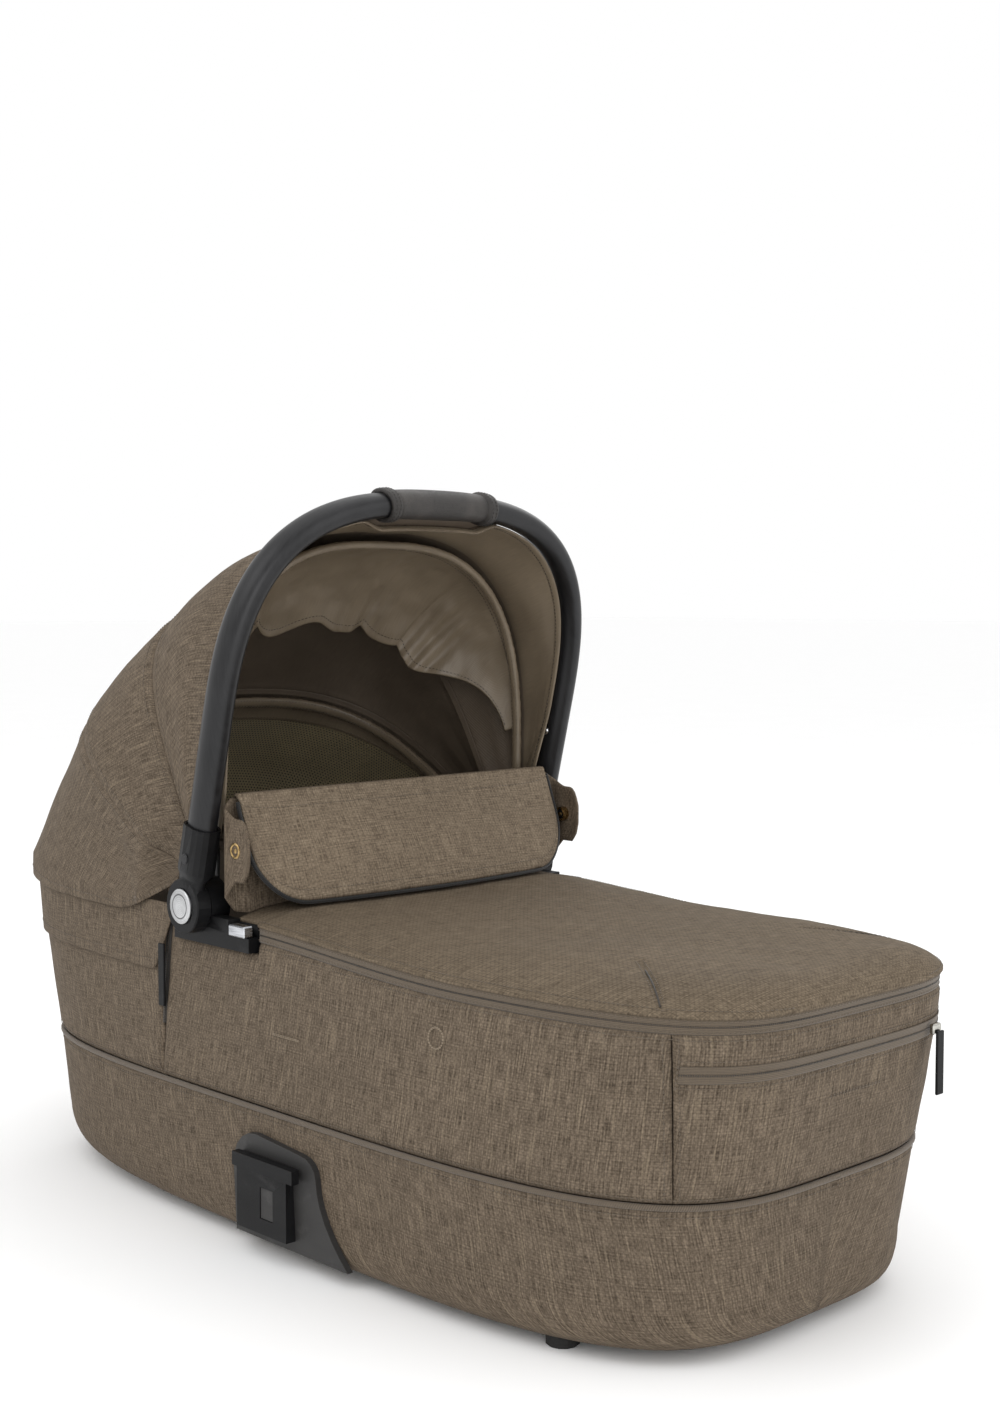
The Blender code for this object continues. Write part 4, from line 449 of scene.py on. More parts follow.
def sweep(name, path, section, materials, side, closed=False, ends="round", grow=None):
    # section is a list of (across, up) pairs; side is a direction that up lies near, one for all or one a point
    path = np.asarray(path, float)
    count = len(path)
    if closed:
        along = np.roll(path, -1, 0) - np.roll(path, 1, 0)
    else:
        along = np.gradient(path, axis=0)
    along = unit(along)
    side = np.broadcast_to(np.asarray(side, float), (count, 3))
    across = unit(np.cross(along, side))
    up = np.cross(across, along)
    section = np.asarray(section, float)
    scale = np.ones(count) if grow is None else np.asarray(grow, float)
    rings = (path[:, None] + across[:, None] * (section[None, :, :1] * scale[:, None, None])
             + up[:, None] * (section[None, :, 1:] * scale[:, None, None]))
    sides = len(section)
    distance = runningLength(path)
    around = runningLength(section)
    uvs = np.stack(np.broadcast_arrays(around[None, :], distance[:, None]), -1)
    points = rings.reshape(-1, 3)
    uvs = uvs.reshape(-1, 2)
    faces = []
    spans = count if closed else count - 1
    for r in range(spans):
        n = (r + 1) % count
        for c in range(sides):
            d = (c + 1) % sides
            faces.append((r * sides + c, n * sides + c, n * sides + d, r * sides + d))
    if not closed:
        extra, extraUv = [], []
        total = len(points)
        for end, way in ((0, -1), (count - 1, 1)):
            ring = rings[end]
            centre = path[end]
            previous = [end * sides + c for c in range(sides)]
            if ends == "round":
                size = np.abs(section).max() * scale[end]
                for share in (0.35, 0.7):
                    drawn = centre + (ring - centre) * sqrt(1 - share * share * 0.98)
                    extra.append(drawn + along[end] * way * size * 0.5 * share)
                    extraUv.append(np.zeros((sides, 2)))
                    fresh = [total + c for c in range(sides)]
                    total += sides
                    for c in range(sides):
                        d = (c + 1) % sides
                        face = (previous[c], fresh[c], fresh[d], previous[d])
                        faces.append(face if way > 0 else face[::-1])
                    previous = fresh
            faces.append(tuple(previous) if way > 0 else tuple(previous[::-1]))
        if extra:
            points = np.concatenate([points] + extra)
            uvs = np.concatenate([uvs] + extraUv)
    return faceOut(newObject(name, points, faces, materials, True, None, uvs, 2 if closed else 0))


def ovalSection(wide, tall, count, roundness=2.0):
    # wide lies along up, tall across it
    return [(tall * float(power(sin(a), 2 / roundness)), wide * float(power(cos(a), 2 / roundness)))
            for a in (2 * pi * i / count for i in range(count))]


def turned(name, profile, materials, x, z, side, steps=72, closed=False):
    # a piece turned about a sideways line through x and z; profile is (distance from the middle, radius)
    angles = np.linspace(0, 2 * pi, steps, endpoint=False)
    rings = np.array([[(x + r * cos(a), side * d, z + r * sin(a)) for a in angles] for d, r in profile])
    count = len(profile)
    faces = []
    for r in range(count if closed else count - 1):
        n = (r + 1) % count
        for c in range(steps):
            d = (c + 1) % steps
            faces.append((r * steps + c, n * steps + c, n * steps + d, r * steps + d))
    if not closed:
        faces.append(tuple(range(steps)))
        faces.append(tuple((count - 1) * steps + c for c in range(steps)))
    item = newObject(name, rings.reshape(-1, 3), faces, materials)
    return faceOut(item, 35)


def faceOut(item, sharp=None):
    shape = bmesh.new()
    shape.from_mesh(item.data)
    bmesh.ops.recalc_face_normals(shape, faces=shape.faces)
    shape.to_mesh(item.data)
    shape.free()
    if sharp:
        item.data.shade_smooth()
        item.data.set_sharp_from_angle(angle=radians(sharp))
    return item


def plain(item, sharp=None):
    # the evaluated shape becomes the object's own mesh, and its modifiers go
    bpy.context.view_layer.update()
    fresh = bpy.data.meshes.new_from_object(item.evaluated_get(bpy.context.evaluated_depsgraph_get()))
    item.modifiers.clear()
    item.data = fresh
    item.data.shade_smooth()
    if sharp:
        item.data.set_sharp_from_angle(angle=radians(sharp))
    return item


def ripple(points, size, height, seed):
    # gentle unevenness of cloth, as a height for each point
    flat = np.asarray(points).reshape(-1, 3) / size + seed
    values = [noise.noise(Vector(p)) + 0.5 * noise.noise(Vector(p * 2.1)) for p in flat]
    return np.array(values).reshape(np.asarray(points).shape[:-1]) * height


# ---- finishes


class Amount:
    # a socket that takes part in sums: 1 - mask, wave * 0.5 and so on become Math nodes
    def __init__(self, tree, socket):
        self.tree, self.socket = tree, socket

    def sum(self, operation, *values):
        node = self.tree.nodes.new("ShaderNodeMath")
        node.operation = operation
        for slot, value in zip(node.inputs, values):
            if isinstance(value, Amount):
                self.tree.links.new(value.socket, slot)
            else:
                slot.default_value = value
        return Amount(self.tree, node.outputs[0])

    def __add__(self, other): return self.sum("ADD", self, other)
    def __radd__(self, other): return self.sum("ADD", other, self)
    def __sub__(self, other): return self.sum("SUBTRACT", self, other)
    def __rsub__(self, other): return self.sum("SUBTRACT", other, self)
    def __mul__(self, other): return self.sum("MULTIPLY", self, other)
    def __rmul__(self, other): return self.sum("MULTIPLY", other, self)
    def __truediv__(self, other): return self.sum("DIVIDE", self, other)
    def __rtruediv__(self, other): return self.sum("DIVIDE", other, self)
    def __pow__(self, other): return self.sum("POWER", self, other)
    def wave(self): return self.sum("SINE", self)
    def size(self): return self.sum("ABSOLUTE", self)
    def most(self, other): return self.sum("MAXIMUM", self, other)
    def whole(self): return self.sum("FLOOR", self)
    def part(self): return self.sum("FRACT", self)


class Finish:
    def __init__(self, name, roughness, **constants):
        self.material = bpy.data.materials.new(name)
        self.material.use_nodes = True
        self.tree = self.material.node_tree
        self.shader = self.tree.nodes["Principled BSDF"]
        self.shader.inputs["Roughness"].default_value = roughness
        for name, value in constants.items():
            self.shader.inputs[name.replace("_", " ")].default_value = value

    def node(self, kind, settings=None, values=None, output=0):
        made = self.tree.nodes.new(kind)
        for key, value in (settings or {}).items():
            setattr(made, key, value)
        for key, value in (values or {}).items():
            if isinstance(value, Amount):
                self.tree.links.new(value.socket, made.inputs[key])
            else:
                made.inputs[key].default_value = value
        return Amount(self.tree, made.outputs[output])

    def axes(self, place, *outputs):
        split = self.node("ShaderNodeSeparateXYZ", None, {0: place}).socket.node
        return [Amount(self.tree, split.outputs[n]) for n in outputs]

    def feed(self, **values):
        for name, value in values.items():
            self.tree.links.new(value.socket, self.shader.inputs[name.replace("_", " ")])

    def place(self, scale=(1, 1, 1), turn=(0, 0, 0), cloth=False):
        if cloth:
            source = self.node("ShaderNodeUVMap", {"uv_map": "cloth"})
        else:
            source = self.node("ShaderNodeTexCoord", output="Object")
        return self.node("ShaderNodeMapping", None, {"Vector": source, "Scale": scale, "Rotation": turn})

    def grain(self, place, scale, detail=3.0, rough=0.55):
        return self.node("ShaderNodeTexNoise", None,
                         {"Vector": place, "Scale": scale, "Detail": detail, "Roughness": rough})

    def between(self, amount, low, high, start=0.0, end=1.0, soft=False):
        return self.node("ShaderNodeMapRange", {"interpolation_type": "SMOOTHSTEP" if soft else "LINEAR"},
                         {"Value": amount, "From Min": low, "From Max": high, "To Min": start, "To Max": end})

    def tint(self, amount, first, second, blend="MIX"):
        return self.node("ShaderNodeMix", {"data_type": "RGBA", "blend_type": blend},
                         {0: amount, 6: first, 7: second}, 2)

    def bump(self, height, distance, strength=1.0, under=None):
        values = {"Height": height, "Distance": distance, "Strength": strength}
        if under:
            values["Normal"] = under
        return self.node("ShaderNodeBump", None, values)


def tone(red, green, blue):
    linear = [c / 3294.6 if c <= 10.3 else ((c / 255 + 0.055) / 1.055) ** 2.4 for c in (red, green, blue)]
    return (*linear, 1.0)


def wovenFinish(name, look):
    # melange cloth: short threads both ways under a fine speckle, a few long pale slubs, and a plain weave
    f = Finish(name, look["roughness"], Sheen_Weight=look["sheen"], Sheen_Roughness=0.45,
               Sheen_Tint=look["light"], Specular_IOR_Level=look["gloss"])
    cloth = f.place(cloth=True)
    fine, short, share = look["fine"], look["short"], look["upright"]
    upright = f.grain(f.place((fine, short, 1), cloth=True), 1.0, 1.0, 0.4)
    level = f.grain(f.place((short, fine * 0.93, 1), cloth=True), 1.0, 1.0, 0.4)
    speckle = f.grain(f.place((fine * 0.8, fine * 0.8, 1), cloth=True), 1.0, 1.0, 0.5)
    long = f.grain(f.place((fine * 0.55, look["slub"], 1), cloth=True), 1.0, 1.0, 0.4)
    streaks = (upright * share + level * (1 - share)) * 0.78 + speckle * 0.22
    patches = f.grain(cloth, 9.0, 3.0)
    slub = f.between(long, 0.56, 0.74, soft=True)
    colour = f.tint(f.between(streaks, 0.34, 0.66), look["dark"], look["light"])
    colour = f.tint(slub * look["slubs"], colour, look["pale"])
    shade = f.between(patches, 0.3, 0.7, 0.93, 1.06)
    across, down = f.axes(cloth, 0, 1)
    turnsA, turnsB = across * (pi / look["pitch"]), down * (pi / look["pitch"])
    over = turnsA.wave() * turnsB.wave()
    threads = turnsA.wave().size().most(turnsB.wave().size())
    weave = over * 0.35 + threads * 0.65
    shade = shade * f.between(weave, 0.1, 1.0, 1 - look["depth"], 1.0)
    grey = f.node("ShaderNodeCombineColor", None, {0: shade, 1: shade, 2: shade})
    f.feed(Base_Color=f.tint(1.0, colour, grey, "MULTIPLY"),
           Roughness=f.between(streaks, 0.3, 0.7, look["roughness"] + 0.05, look["roughness"] - 0.05),
           Normal=f.bump(weave * 0.6 + streaks * 0.7, look["bump"], 0.8,
                         f.bump(f.grain(cloth, look["wrinkle"], 2.0), look["wrinkleHeight"], 0.7)))
    return f.material


def satinFinish(name, look):
    # smooth lining: fine diagonal threads, soft highlights and small creases
    f = Finish(name, look["roughness"], Sheen_Weight=look["sheen"], Sheen_Roughness=0.3, Sheen_Tint=look["light"],
               Specular_IOR_Level=0.45)
    cloth = f.place(cloth=True)
    threads = f.grain(f.place((1500, 60, 1), cloth=True), 1.0, 2.0)
    patches = f.grain(cloth, 14.0, 3.0)
    twill = f.node("ShaderNodeSeparateXYZ", None, {0: f.place((1, 1, 1), (0, 0, 0.9), cloth=True)})
    ribs = (twill * (2 * pi / look["pitch"])).wave()
    colour = f.tint(f.between(threads * 0.4 + patches * 0.6, 0.36, 0.64), look["dark"], look["light"])
    creases = f.grain(f.place((9, 17, 1), cloth=True), 1.0, 2.0, 0.4)
    f.feed(Base_Color=colour,
           Roughness=f.between(patches, 0.3, 0.7, look["roughness"] - 0.05, look["roughness"] + 0.07),
           Normal=f.bump(ribs * 0.5 + threads, look["bump"], 0.5, f.bump(creases, look["crease"], 0.6)))
    return f.material


def meshFinish(name, look):
    # knitted mesh: staggered round holes with raised threads between them
    f = Finish(name, 0.7, Sheen_Weight=0.2)
    across, down = f.axes(f.place((1 / look["pitch"], 1.155 / look["pitch"], 1), cloth=True), 0, 1)
    row = down.whole()
    shifted = across + (row * 0.5)
    x, y = shifted.part() - 0.5, (down.part() - 0.5) * 0.87
    away = (x * x + y * y) ** 0.5
    hole = f.between(away, look["hole"] - 0.10, look["hole"] + 0.08, 0.0, 1.0, soft=True)
    colour = f.tint(hole, look["dark"], look["light"])
    cloth = f.place(cloth=True)
    colour = f.tint(f.between(f.grain(cloth, 20.0), 0.35, 0.65, 0.0, 0.25), colour, look["dark"])
    f.feed(Base_Color=colour, Normal=f.bump(hole, 0.0003, 0.7),
           Alpha=f.between(hole, 0.0, 0.6, look["solid"], 1.0))
    return f.material


def ribbedFinish(name, look):
    # tape and cord: ribs along the map with fine threads between
    f = Finish(name, look["roughness"], Sheen_Weight=0.15, Specular_IOR_Level=0.35)
    across, along = f.axes(f.place(cloth=True), 0, 1)
    ribs = (along * (pi / look["rib"]) + across * (look["twist"] * pi / look["rib"])).wave().size()
    threads = f.grain(f.place((900, 220, 1), cloth=True), 1.0, 2.0)
    colour = f.tint(f.between(ribs * 0.6 + threads * 0.6, 0.3, 1.0), look["dark"], look["light"])
    f.feed(Base_Color=colour, Normal=f.bump(ribs + threads * 0.4, look["bump"], 0.7),
           Roughness=f.between(threads, 0.3, 0.7, look["roughness"] - 0.06, look["roughness"] + 0.08))
    return f.material


def leatherFinish(name, look):
    f = Finish(name, look["roughness"], Specular_IOR_Level=0.5, Coat_Roughness=0.45)
    base = f.place()
    cells = f.node("ShaderNodeTexVoronoi", {"feature": "DISTANCE_TO_EDGE"}, {"Vector": base, "Scale": look["cells"]})
    small = f.grain(base, look["cells"] * 2.2, 4.0)
    worn = f.between(f.grain(base, 26.0, 3.0), 0.45, 0.7, soft=True)
    pebbles = f.between(cells, 0.0, 0.22, soft=True)
    colour = f.tint(pebbles * 0.7 + small * 0.3, look["dark"], look["light"])
    colour = f.tint(worn * 0.35, colour, look["worn"])
    f.feed(Base_Color=colour, Roughness=f.between(small, 0.3, 0.7, look["roughness"] - 0.08, look["roughness"] + 0.1),
           Normal=f.bump(pebbles + small * 0.3, 0.0003, 0.8), Coat_Weight=worn * 0.12)
    return f.material


def mouldedFinish(name, look):
    # moulded plastic: fine spark grain, faint flow lines and rubbed places
    f = Finish(name, look["roughness"], Specular_IOR_Level=look.get("gloss", 0.5))
    base = f.place()
    spark = f.grain(base, look["grain"], 3.0, 0.6)
    flow = f.grain(f.place((6, 18, 30)), 1.0, 4.0)
    rubbed = f.between(f.grain(base, 38.0, 5.0, 0.65), 0.55, 0.75, soft=True)
    colour = f.tint(f.between(flow, 0.35, 0.65), look["dark"], look["light"])
    colour = f.tint(rubbed * look.get("wear", 0.25), colour, look["worn"])
    f.feed(Base_Color=colour,
           Roughness=f.between(spark + rubbed * 0.3, 0.3, 0.9, look["roughness"] + 0.08, look["roughness"] - 0.08),
           Normal=f.bump(spark, look["bump"], 0.6, f.bump(flow, 0.0004, 0.2)))
    return f.material


def metalFinish(name, look):
    # brushed or anodised metal: hair lines along one direction over a slightly uneven tone
    f = Finish(name, look["roughness"], Metallic=look.get("metallic", 1.0),
               Specular_IOR_Level=look.get("gloss", 0.5), Coat_Roughness=0.25)
    base = f.place()
    lines = f.grain(f.place(look["lines"]), 1.0, 3.0, 0.6)
    blotch = f.grain(base, 30.0, 3.0)
    colour = f.tint(f.between(lines * 0.6 + blotch * 0.4, 0.35, 0.65), look["dark"], look["light"])
    scuff = f.between(f.grain(base, 70.0, 5.0, 0.7), 0.62, 0.75, soft=True)
    f.feed(Base_Color=f.tint(scuff * 0.3, colour, look["light"]),
           Roughness=f.between(lines + scuff * 0.2, 0.25, 0.85, look["roughness"] - 0.07, look["roughness"] + 0.09),
           Normal=f.bump(lines, look.get("bump", 0.00008), 0.5), Coat_Weight=blotch * look.get("coat", 0.0))
    return f.material


def turnedFinish(name, look):
    # metal faced on a lathe: rings round the pivot line
    f = Finish(name, look["roughness"], Metallic=1.0)
    source = f.node("ShaderNodeTexCoord", output="Object")
    x, z = f.axes(f.node("ShaderNodeMapping", None, {"Vector": source, "Location": look["centre"]}), 0, 2)
    away = (x * x + z * z) ** 0.5
    rings = (away * look["rings"]).wave()
    blotch = f.grain(f.place(), 120.0, 3.0)
    groove = f.between((away - look["groove"]).size(), 0.0003, 0.0007, soft=True)
    colour = f.tint(f.between(rings * 0.15 + blotch, 0.3, 0.75), look["dark"], look["light"])
    f.feed(Base_Color=f.tint(groove, look["shade"], colour),
           Roughness=f.between(blotch + rings * 0.1, 0.3, 0.8, look["roughness"] - 0.06, look["roughness"] + 0.1),
           Normal=f.bump(rings * 0.2 + groove, 0.0002, 0.6))
    return f.material


def floorFinish():
    f = Finish("studioPaper", 0.85, Specular_IOR_Level=0.2)
    soft = f.grain(f.place(), 5.0, 3.0)
    f.feed(Base_Color=f.tint(soft, tone(252, 252, 252), tone(255, 255, 255)),
           Normal=f.bump(f.grain(f.place(), 700.0, 2.0), 0.0001, 0.2))
    return f.material


clothLook = {
    "dark": tone(68, 58, 47), "light": tone(124, 110, 94), "pale": tone(146, 131, 110), "roughness": 0.85,
    "sheen": 0.08, "gloss": 0.2, "fine": 900.0, "short": 70.0, "slub": 22.0, "upright": 0.62, "slubs": 0.35,
    "pitch": 0.0021, "depth": 0.32, "bump": 0.0005, "wrinkle": 16.0, "wrinkleHeight": 0.003,
}
apronLook = {**clothLook, "dark": tone(78, 67, 54), "light": tone(124, 110, 92), "upright": 0.5, "slubs": 0.25}
# a lighter copy of the apron's cloth for the collar, which is the same cloth: its extra lightness is painted light
litCollarLook = {**apronLook, "dark": tone(88, 76, 63), "light": tone(140, 125, 106), "pale": tone(158, 142, 120)}
liningLook = {"dark": tone(106, 94, 78), "light": tone(124, 111, 93), "roughness": 0.38, "sheen": 0.25,
              "pitch": 0.0009, "bump": 0.0001, "crease": 0.007}
linerLook = {"dark": tone(88, 77, 65), "light": tone(104, 92, 79), "roughness": 0.55, "sheen": 0.15,
             "pitch": 0.0012, "bump": 0.0002, "crease": 0.004}
meshLook = {"dark": tone(66, 58, 44), "light": tone(134, 122, 92), "pitch": 0.0032, "hole": 0.26, "solid": 0.8}
mattressLook = {**clothLook, "dark": tone(168, 160, 148), "light": tone(205, 198, 187), "pale": tone(222, 216, 206),
                "slubs": 0.2}

def shades(dark, light, roughness, **rest):
    # a finish's settings, with both tones as red, green and blue
    return {"dark": tone(*dark), "light": tone(*light), "roughness": roughness, **rest}


finishes = {
    "woven_fabric": wovenFinish("wovenMelange", clothLook),
    "light_fabric": wovenFinish("wovenMelangePale", apronLook),
    "collar_fabric": wovenFinish("wovenMelangeCollar", litCollarLook),
    "satin": satinFinish("satinLining", liningLook),
    "dark_lining": satinFinish("darkLining", linerLook),
    "mesh": meshFinish("knittedMesh", meshLook),
    "mattress_fabric": wovenFinish("cottonJersey", mattressLook),
    "black_tape": ribbedFinish("zipTape", shades((20, 18, 16), (50, 46, 41), 0.75, rib=0.0012, twist=0.0,
        bump=0.0003)),
    "black_piping": ribbedFinish("pipingCord", shades((5, 5, 5), (18, 17, 17), 0.6, rib=0.0016, twist=0.5,
        bump=0.0003)),
    "brown_piping": ribbedFinish("brownPiping", shades((66, 57, 47), (102, 90, 76), 0.7, rib=0.0016, twist=0.5,
        bump=0.0003)),
    "brown_tape": ribbedFinish("brownTape", shades((70, 60, 49), (98, 86, 71), 0.7, rib=0.0011, twist=0.0,
        bump=0.0002)),
    "paleThread": ribbedFinish("paleThread", shades((128, 114, 95), (168, 153, 132), 0.7, rib=0.0006, twist=0.6,
        bump=0.0001)),
    "thread": ribbedFinish("sewingThread", shades((88, 77, 64), (124, 110, 93), 0.6, rib=0.0006, twist=1.0,
        bump=0.0001)),
    # dark thread for stitches; the same finish colours the dark cords in the hood seams and darts, which are painted
    # shadow
    "darkThread": ribbedFinish("darkThread", shades((26, 23, 20), (62, 54, 46), 0.6, rib=0.0006, twist=1.0,
        bump=0.0001)),
    "zipCoil": mouldedFinish("zipCoil", shades((40, 35, 29), (62, 54, 46), 0.4, worn=tone(92, 82, 70), grain=1500.0,
        bump=0.00005)),
    "grip_leather": leatherFinish("gripLeather", shades((26, 24, 23), (54, 50, 47), 0.5, worn=tone(78, 72, 66),
        cells=900.0)),
    "charcoal_tube": metalFinish("charcoalTube", shades((18, 18, 20), (31, 31, 33), 0.40, metallic=0.35,
        lines=(700, 60, 60), coat=0.12)),
    "frame_metal": metalFinish("frameSteel", shades((60, 61, 63), (98, 99, 101), 0.42, lines=(40, 40, 700))),
    "tray_plastic": mouldedFinish("trayPlastic", shades((38, 37, 36), (52, 50, 48), 0.5, worn=tone(90, 87, 84),
        grain=1100.0, bump=0.0001)),
    "bow_plastic": mouldedFinish("bowPlastic", shades((28, 27, 27), (42, 41, 40), 0.42, worn=tone(92, 88, 84),
        grain=1000.0, bump=0.0001)),
    "black_plastic": mouldedFinish("blackPlastic", shades((13, 13, 14), (24, 24, 25), 0.42, worn=tone(58, 57, 57),
        grain=1300.0, bump=0.00012, gloss=0.16)),
    "grey_plastic": mouldedFinish("greyPlastic", shades((40, 39, 39), (52, 51, 50), 0.48, worn=tone(92, 90, 88),
        grain=1200.0, bump=0.00012, gloss=0.3)),
    "silver_button": turnedFinish("silverButton", shades((176, 177, 178), (206, 207, 208), 0.34,
        shade=tone(96, 96, 97), rings=4000.0, groove=0.0095, centre=(0.076, 0, -0.26))),
    "silver_tab": metalFinish("silverTab", shades((150, 152, 156), (206, 208, 212), 0.28, lines=(60, 60, 900))),
    "bright_steel": metalFinish("brightSteel", shades((150, 151, 154), (214, 215, 218), 0.24, lines=(300, 300, 300))),
    "zip_metal": metalFinish("zipMetal", shades((150, 148, 142), (224, 222, 214), 0.20, lines=(200, 200, 500))),
    "snap_brass": metalFinish("snapBrass", shades((128, 104, 66), (196, 168, 118), 0.28, lines=(300, 300, 300))),
    "foot_rubber": mouldedFinish("footRubber", shades((22, 22, 22), (36, 35, 34), 0.7, worn=tone(84, 82, 80),
        grain=700.0, bump=0.0002, gloss=0.3)),
}
for node in frame["nodes"].values():
    for slotOfNode in node.material_slots:
        slotOfNode.material = finishes[slotOfNode.material.name.split(".")[0]]
for side in ("left", "right"):
    frame["nodes"]["release_tab_" + side].material_slots[0].material = finishes["silver_tab"]
print("stage: finishes made")


def both(outer, inner):
    # the finishes of a cloth's two faces
    return [finishes[outer], finishes[inner]]


# ---- geometry nodes for what repeats along a seam


def runTree(name, kind):
    # a tree that sets one small shape at even steps along a line of edges; "up" on the line turns the shapes
    tree = bpy.data.node_groups.new(name, "GeometryNodeTree")
    face = tree.interface
    face.new_socket("Line", in_out="INPUT", socket_type="NodeSocketGeometry")
    for label, value in (("Spacing", 0.003), ("Length", 0.002), ("Width", 0.0005), ("Height", 0.0004),
                         ("Sideways", 0.0)):
        face.new_socket(label, in_out="INPUT", socket_type="NodeSocketFloat").default_value = value
    face.new_socket("Seed", in_out="INPUT", socket_type="NodeSocketInt").default_value = 7
    face.new_socket("Finish", in_out="INPUT", socket_type="NodeSocketMaterial")
    face.new_socket("Result", in_out="OUTPUT", socket_type="NodeSocketGeometry")
    start, end = tree.nodes.new("NodeGroupInput"), tree.nodes.new("NodeGroupOutput")

    def add(kind, settings=None, values=None):
        node = tree.nodes.new(kind)
        for key, value in (settings or {}).items():
            setattr(node, key, value)
        for key, value in (values or {}).items():
            if isinstance(value, bpy.types.NodeSocket):
                tree.links.new(value, node.inputs[key])
            else:
                node.inputs[key].default_value = value
        return node

    given = {socket.name: socket for socket in start.outputs}
    curve = add("GeometryNodeMeshToCurve", None, {"Mesh": given["Line"]})
    steps = add("GeometryNodeResampleCurve", {"mode": "LENGTH"},
                {"Curve": curve.outputs[0], "Length": given["Spacing"]})
    if kind == "stitch":
        shape = add("GeometryNodeMeshUVSphere", None, {"Segments": 6, "Rings": 4, "Radius": 1.0})
    else:
        shape = add("GeometryNodeMeshCylinder", None, {"Vertices": 6, "Radius": 1.0, "Depth": 1.6})
    tangent = add("GeometryNodeInputTangent")
    up = add("GeometryNodeInputNamedAttribute", {"data_type": "FLOAT_VECTOR"}, {"Name": "up"})
    along = add("FunctionNodeAlignRotationToVector", {"axis": "X"}, {"Vector": tangent.outputs[0]})
    facing = add("FunctionNodeAlignRotationToVector", {"axis": "Z", "pivot_axis": "X"},
                 {"Rotation": along.outputs[0], "Vector": up.outputs[0]})
    size = add("ShaderNodeCombineXYZ", None, {0: given["Length"], 1: given["Width"], 2: given["Height"]})
    half = add("ShaderNodeVectorMath", {"operation": "SCALE"}, {0: size.outputs[0], "Scale": 0.5})
    index = add("GeometryNodeInputIndex")
    vary = add("FunctionNodeRandomValue", {"data_type": "FLOAT"},
               {2: 0.88, 3: 1.12, "ID": index.outputs[0], "Seed": given["Seed"]})
    varied = add("ShaderNodeVectorMath", {"operation": "SCALE"}, {0: half.outputs[0], "Scale": vary.outputs[1]})
    copies = add("GeometryNodeInstanceOnPoints", None,
                 {"Points": steps.outputs[0], "Instance": shape.outputs[0], "Rotation": facing.outputs[0],
                  "Scale": varied.outputs[0]})
    # every second tooth of a coil leans to the other side
    parity = add("ShaderNodeMath", {"operation": "MODULO"}, {0: index.outputs[0], 1: 2.0})
    way = add("ShaderNodeMath", {"operation": "MULTIPLY_ADD"}, {0: parity.outputs[0], 1: 2.0, 2: -1.0})
    shift = add("ShaderNodeMath", {"operation": "MULTIPLY"}, {0: way.outputs[0], 1: given["Sideways"]})
    offset = add("ShaderNodeCombineXYZ", None, {1: shift.outputs[0]})
    moved = add("GeometryNodeTranslateInstances", None,
                {"Instances": copies.outputs[0], "Translation": offset.outputs[0]})
    real = add("GeometryNodeRealizeInstances", None, {0: moved.outputs[0]})
    finish = add("GeometryNodeSetMaterial", None, {0: real.outputs[0], "Material": given["Finish"]})
    tree.links.new(finish.outputs[0], end.inputs[0])
    return tree


stitchTree = runTree("stitchRun", "stitch")
coilTree = runTree("coilRun", "tooth")


def runAlong(name, lines, tree, settings, finish):
    # lines is a list of (points, ups); the result is one plain mesh
    points, ups, edges = [], [], []
    for line, up in lines:
        line = np.asarray(line, float)
        up = np.broadcast_to(np.asarray(up, float), line.shape)
        start = sum(len(p) for p in points)
        points.append(line)
        ups.append(up)
        edges += [(start + i, start + i + 1) for i in range(len(line) - 1)]
    mesh = bpy.data.meshes.new(name)
    mesh.from_pydata([tuple(p) for p in np.concatenate(points)], edges, [])
    layer = mesh.attributes.new("up", "FLOAT_VECTOR", "POINT")
    layer.data.foreach_set("vector", np.concatenate(ups).astype(np.float32).ravel())
    item = bpy.data.objects.new(name, mesh)
    bpy.context.scene.collection.objects.link(item)
    modifier = item.modifiers.new("run", "NODES")
    modifier.node_group = tree
    sockets = {socket.name: socket.identifier for socket in tree.interface.items_tree if socket.in_out == "INPUT"}
    for label, value in settings.items():
        modifier[sockets[label]] = value
    modifier[sockets["Finish"]] = finish
    return plain(item)


stitchSize = {"Spacing": 0.0034, "Length": 0.0026, "Width": 0.0007, "Height": 0.0005}
coilSize = {"Spacing": 0.0015, "Length": 0.0010, "Width": 0.0013, "Height": 0.0009, "Sideways": 0.0003}


def stitched(name, lines, seed, thread="thread", **size):
    return runAlong(name, lines, stitchTree, {**stitchSize, **size, "Seed": seed}, finishes[thread])


def coiled(name, line, seed, **size):
    # a zip's teeth along one line
    return runAlong(name, [line], coilTree, {**coilSize, **size, "Seed": seed}, finishes["zipCoil"])


# ---- woven body

coverLook = {
    # a ripple is its size, height and seed
    "columns": 260, "wallRipple": (0.055, 0.0008, 1.3), "lowerRipple": (0.06, 0.0008, 3.0), "fade": 0.02,
    "seamDraw": 0.0018, "seamReach": 0.006, "pipeDraw": 0.0008, "pipeReach": 0.007, "softStart": 0.012,
    "pucker": 0.00022, "puckerLength": 0.0068, "puckerPlace": 0.002,
    "footSeam": radians(38.8), "seamLow": 0.825, "panelGap": 0.0010, "rows": 34,
    "slitPlace": -0.125, "slitTop": 0.0036, "slitFoot": 0.0006, "saddleBottom": 0.230,
    "saddleFront": -0.00375, "saddleBack": -0.1125, "clear": 0.0003, "pipeSeat": 0.0025,
    # the lower cover's rows: inset and rise round its lower corner, then heights up to the piping
    "baseCorner": ((0.0055, 0.0003), (0.0033, 0.0009), (0.0015, 0.0018)),
    "heights": (0.0135, 0.016, 0.019, 0.023, 0.028, 0.034, 0.040, 0.045, 0.051, 0.057, 0.063, 0.069, 0.075, 0.081,
                0.087, 0.092, 0.097, 0.101, 0.104, 0.1065, 0.1085),
}
cabinMiddle = (0, 0, 0.16)


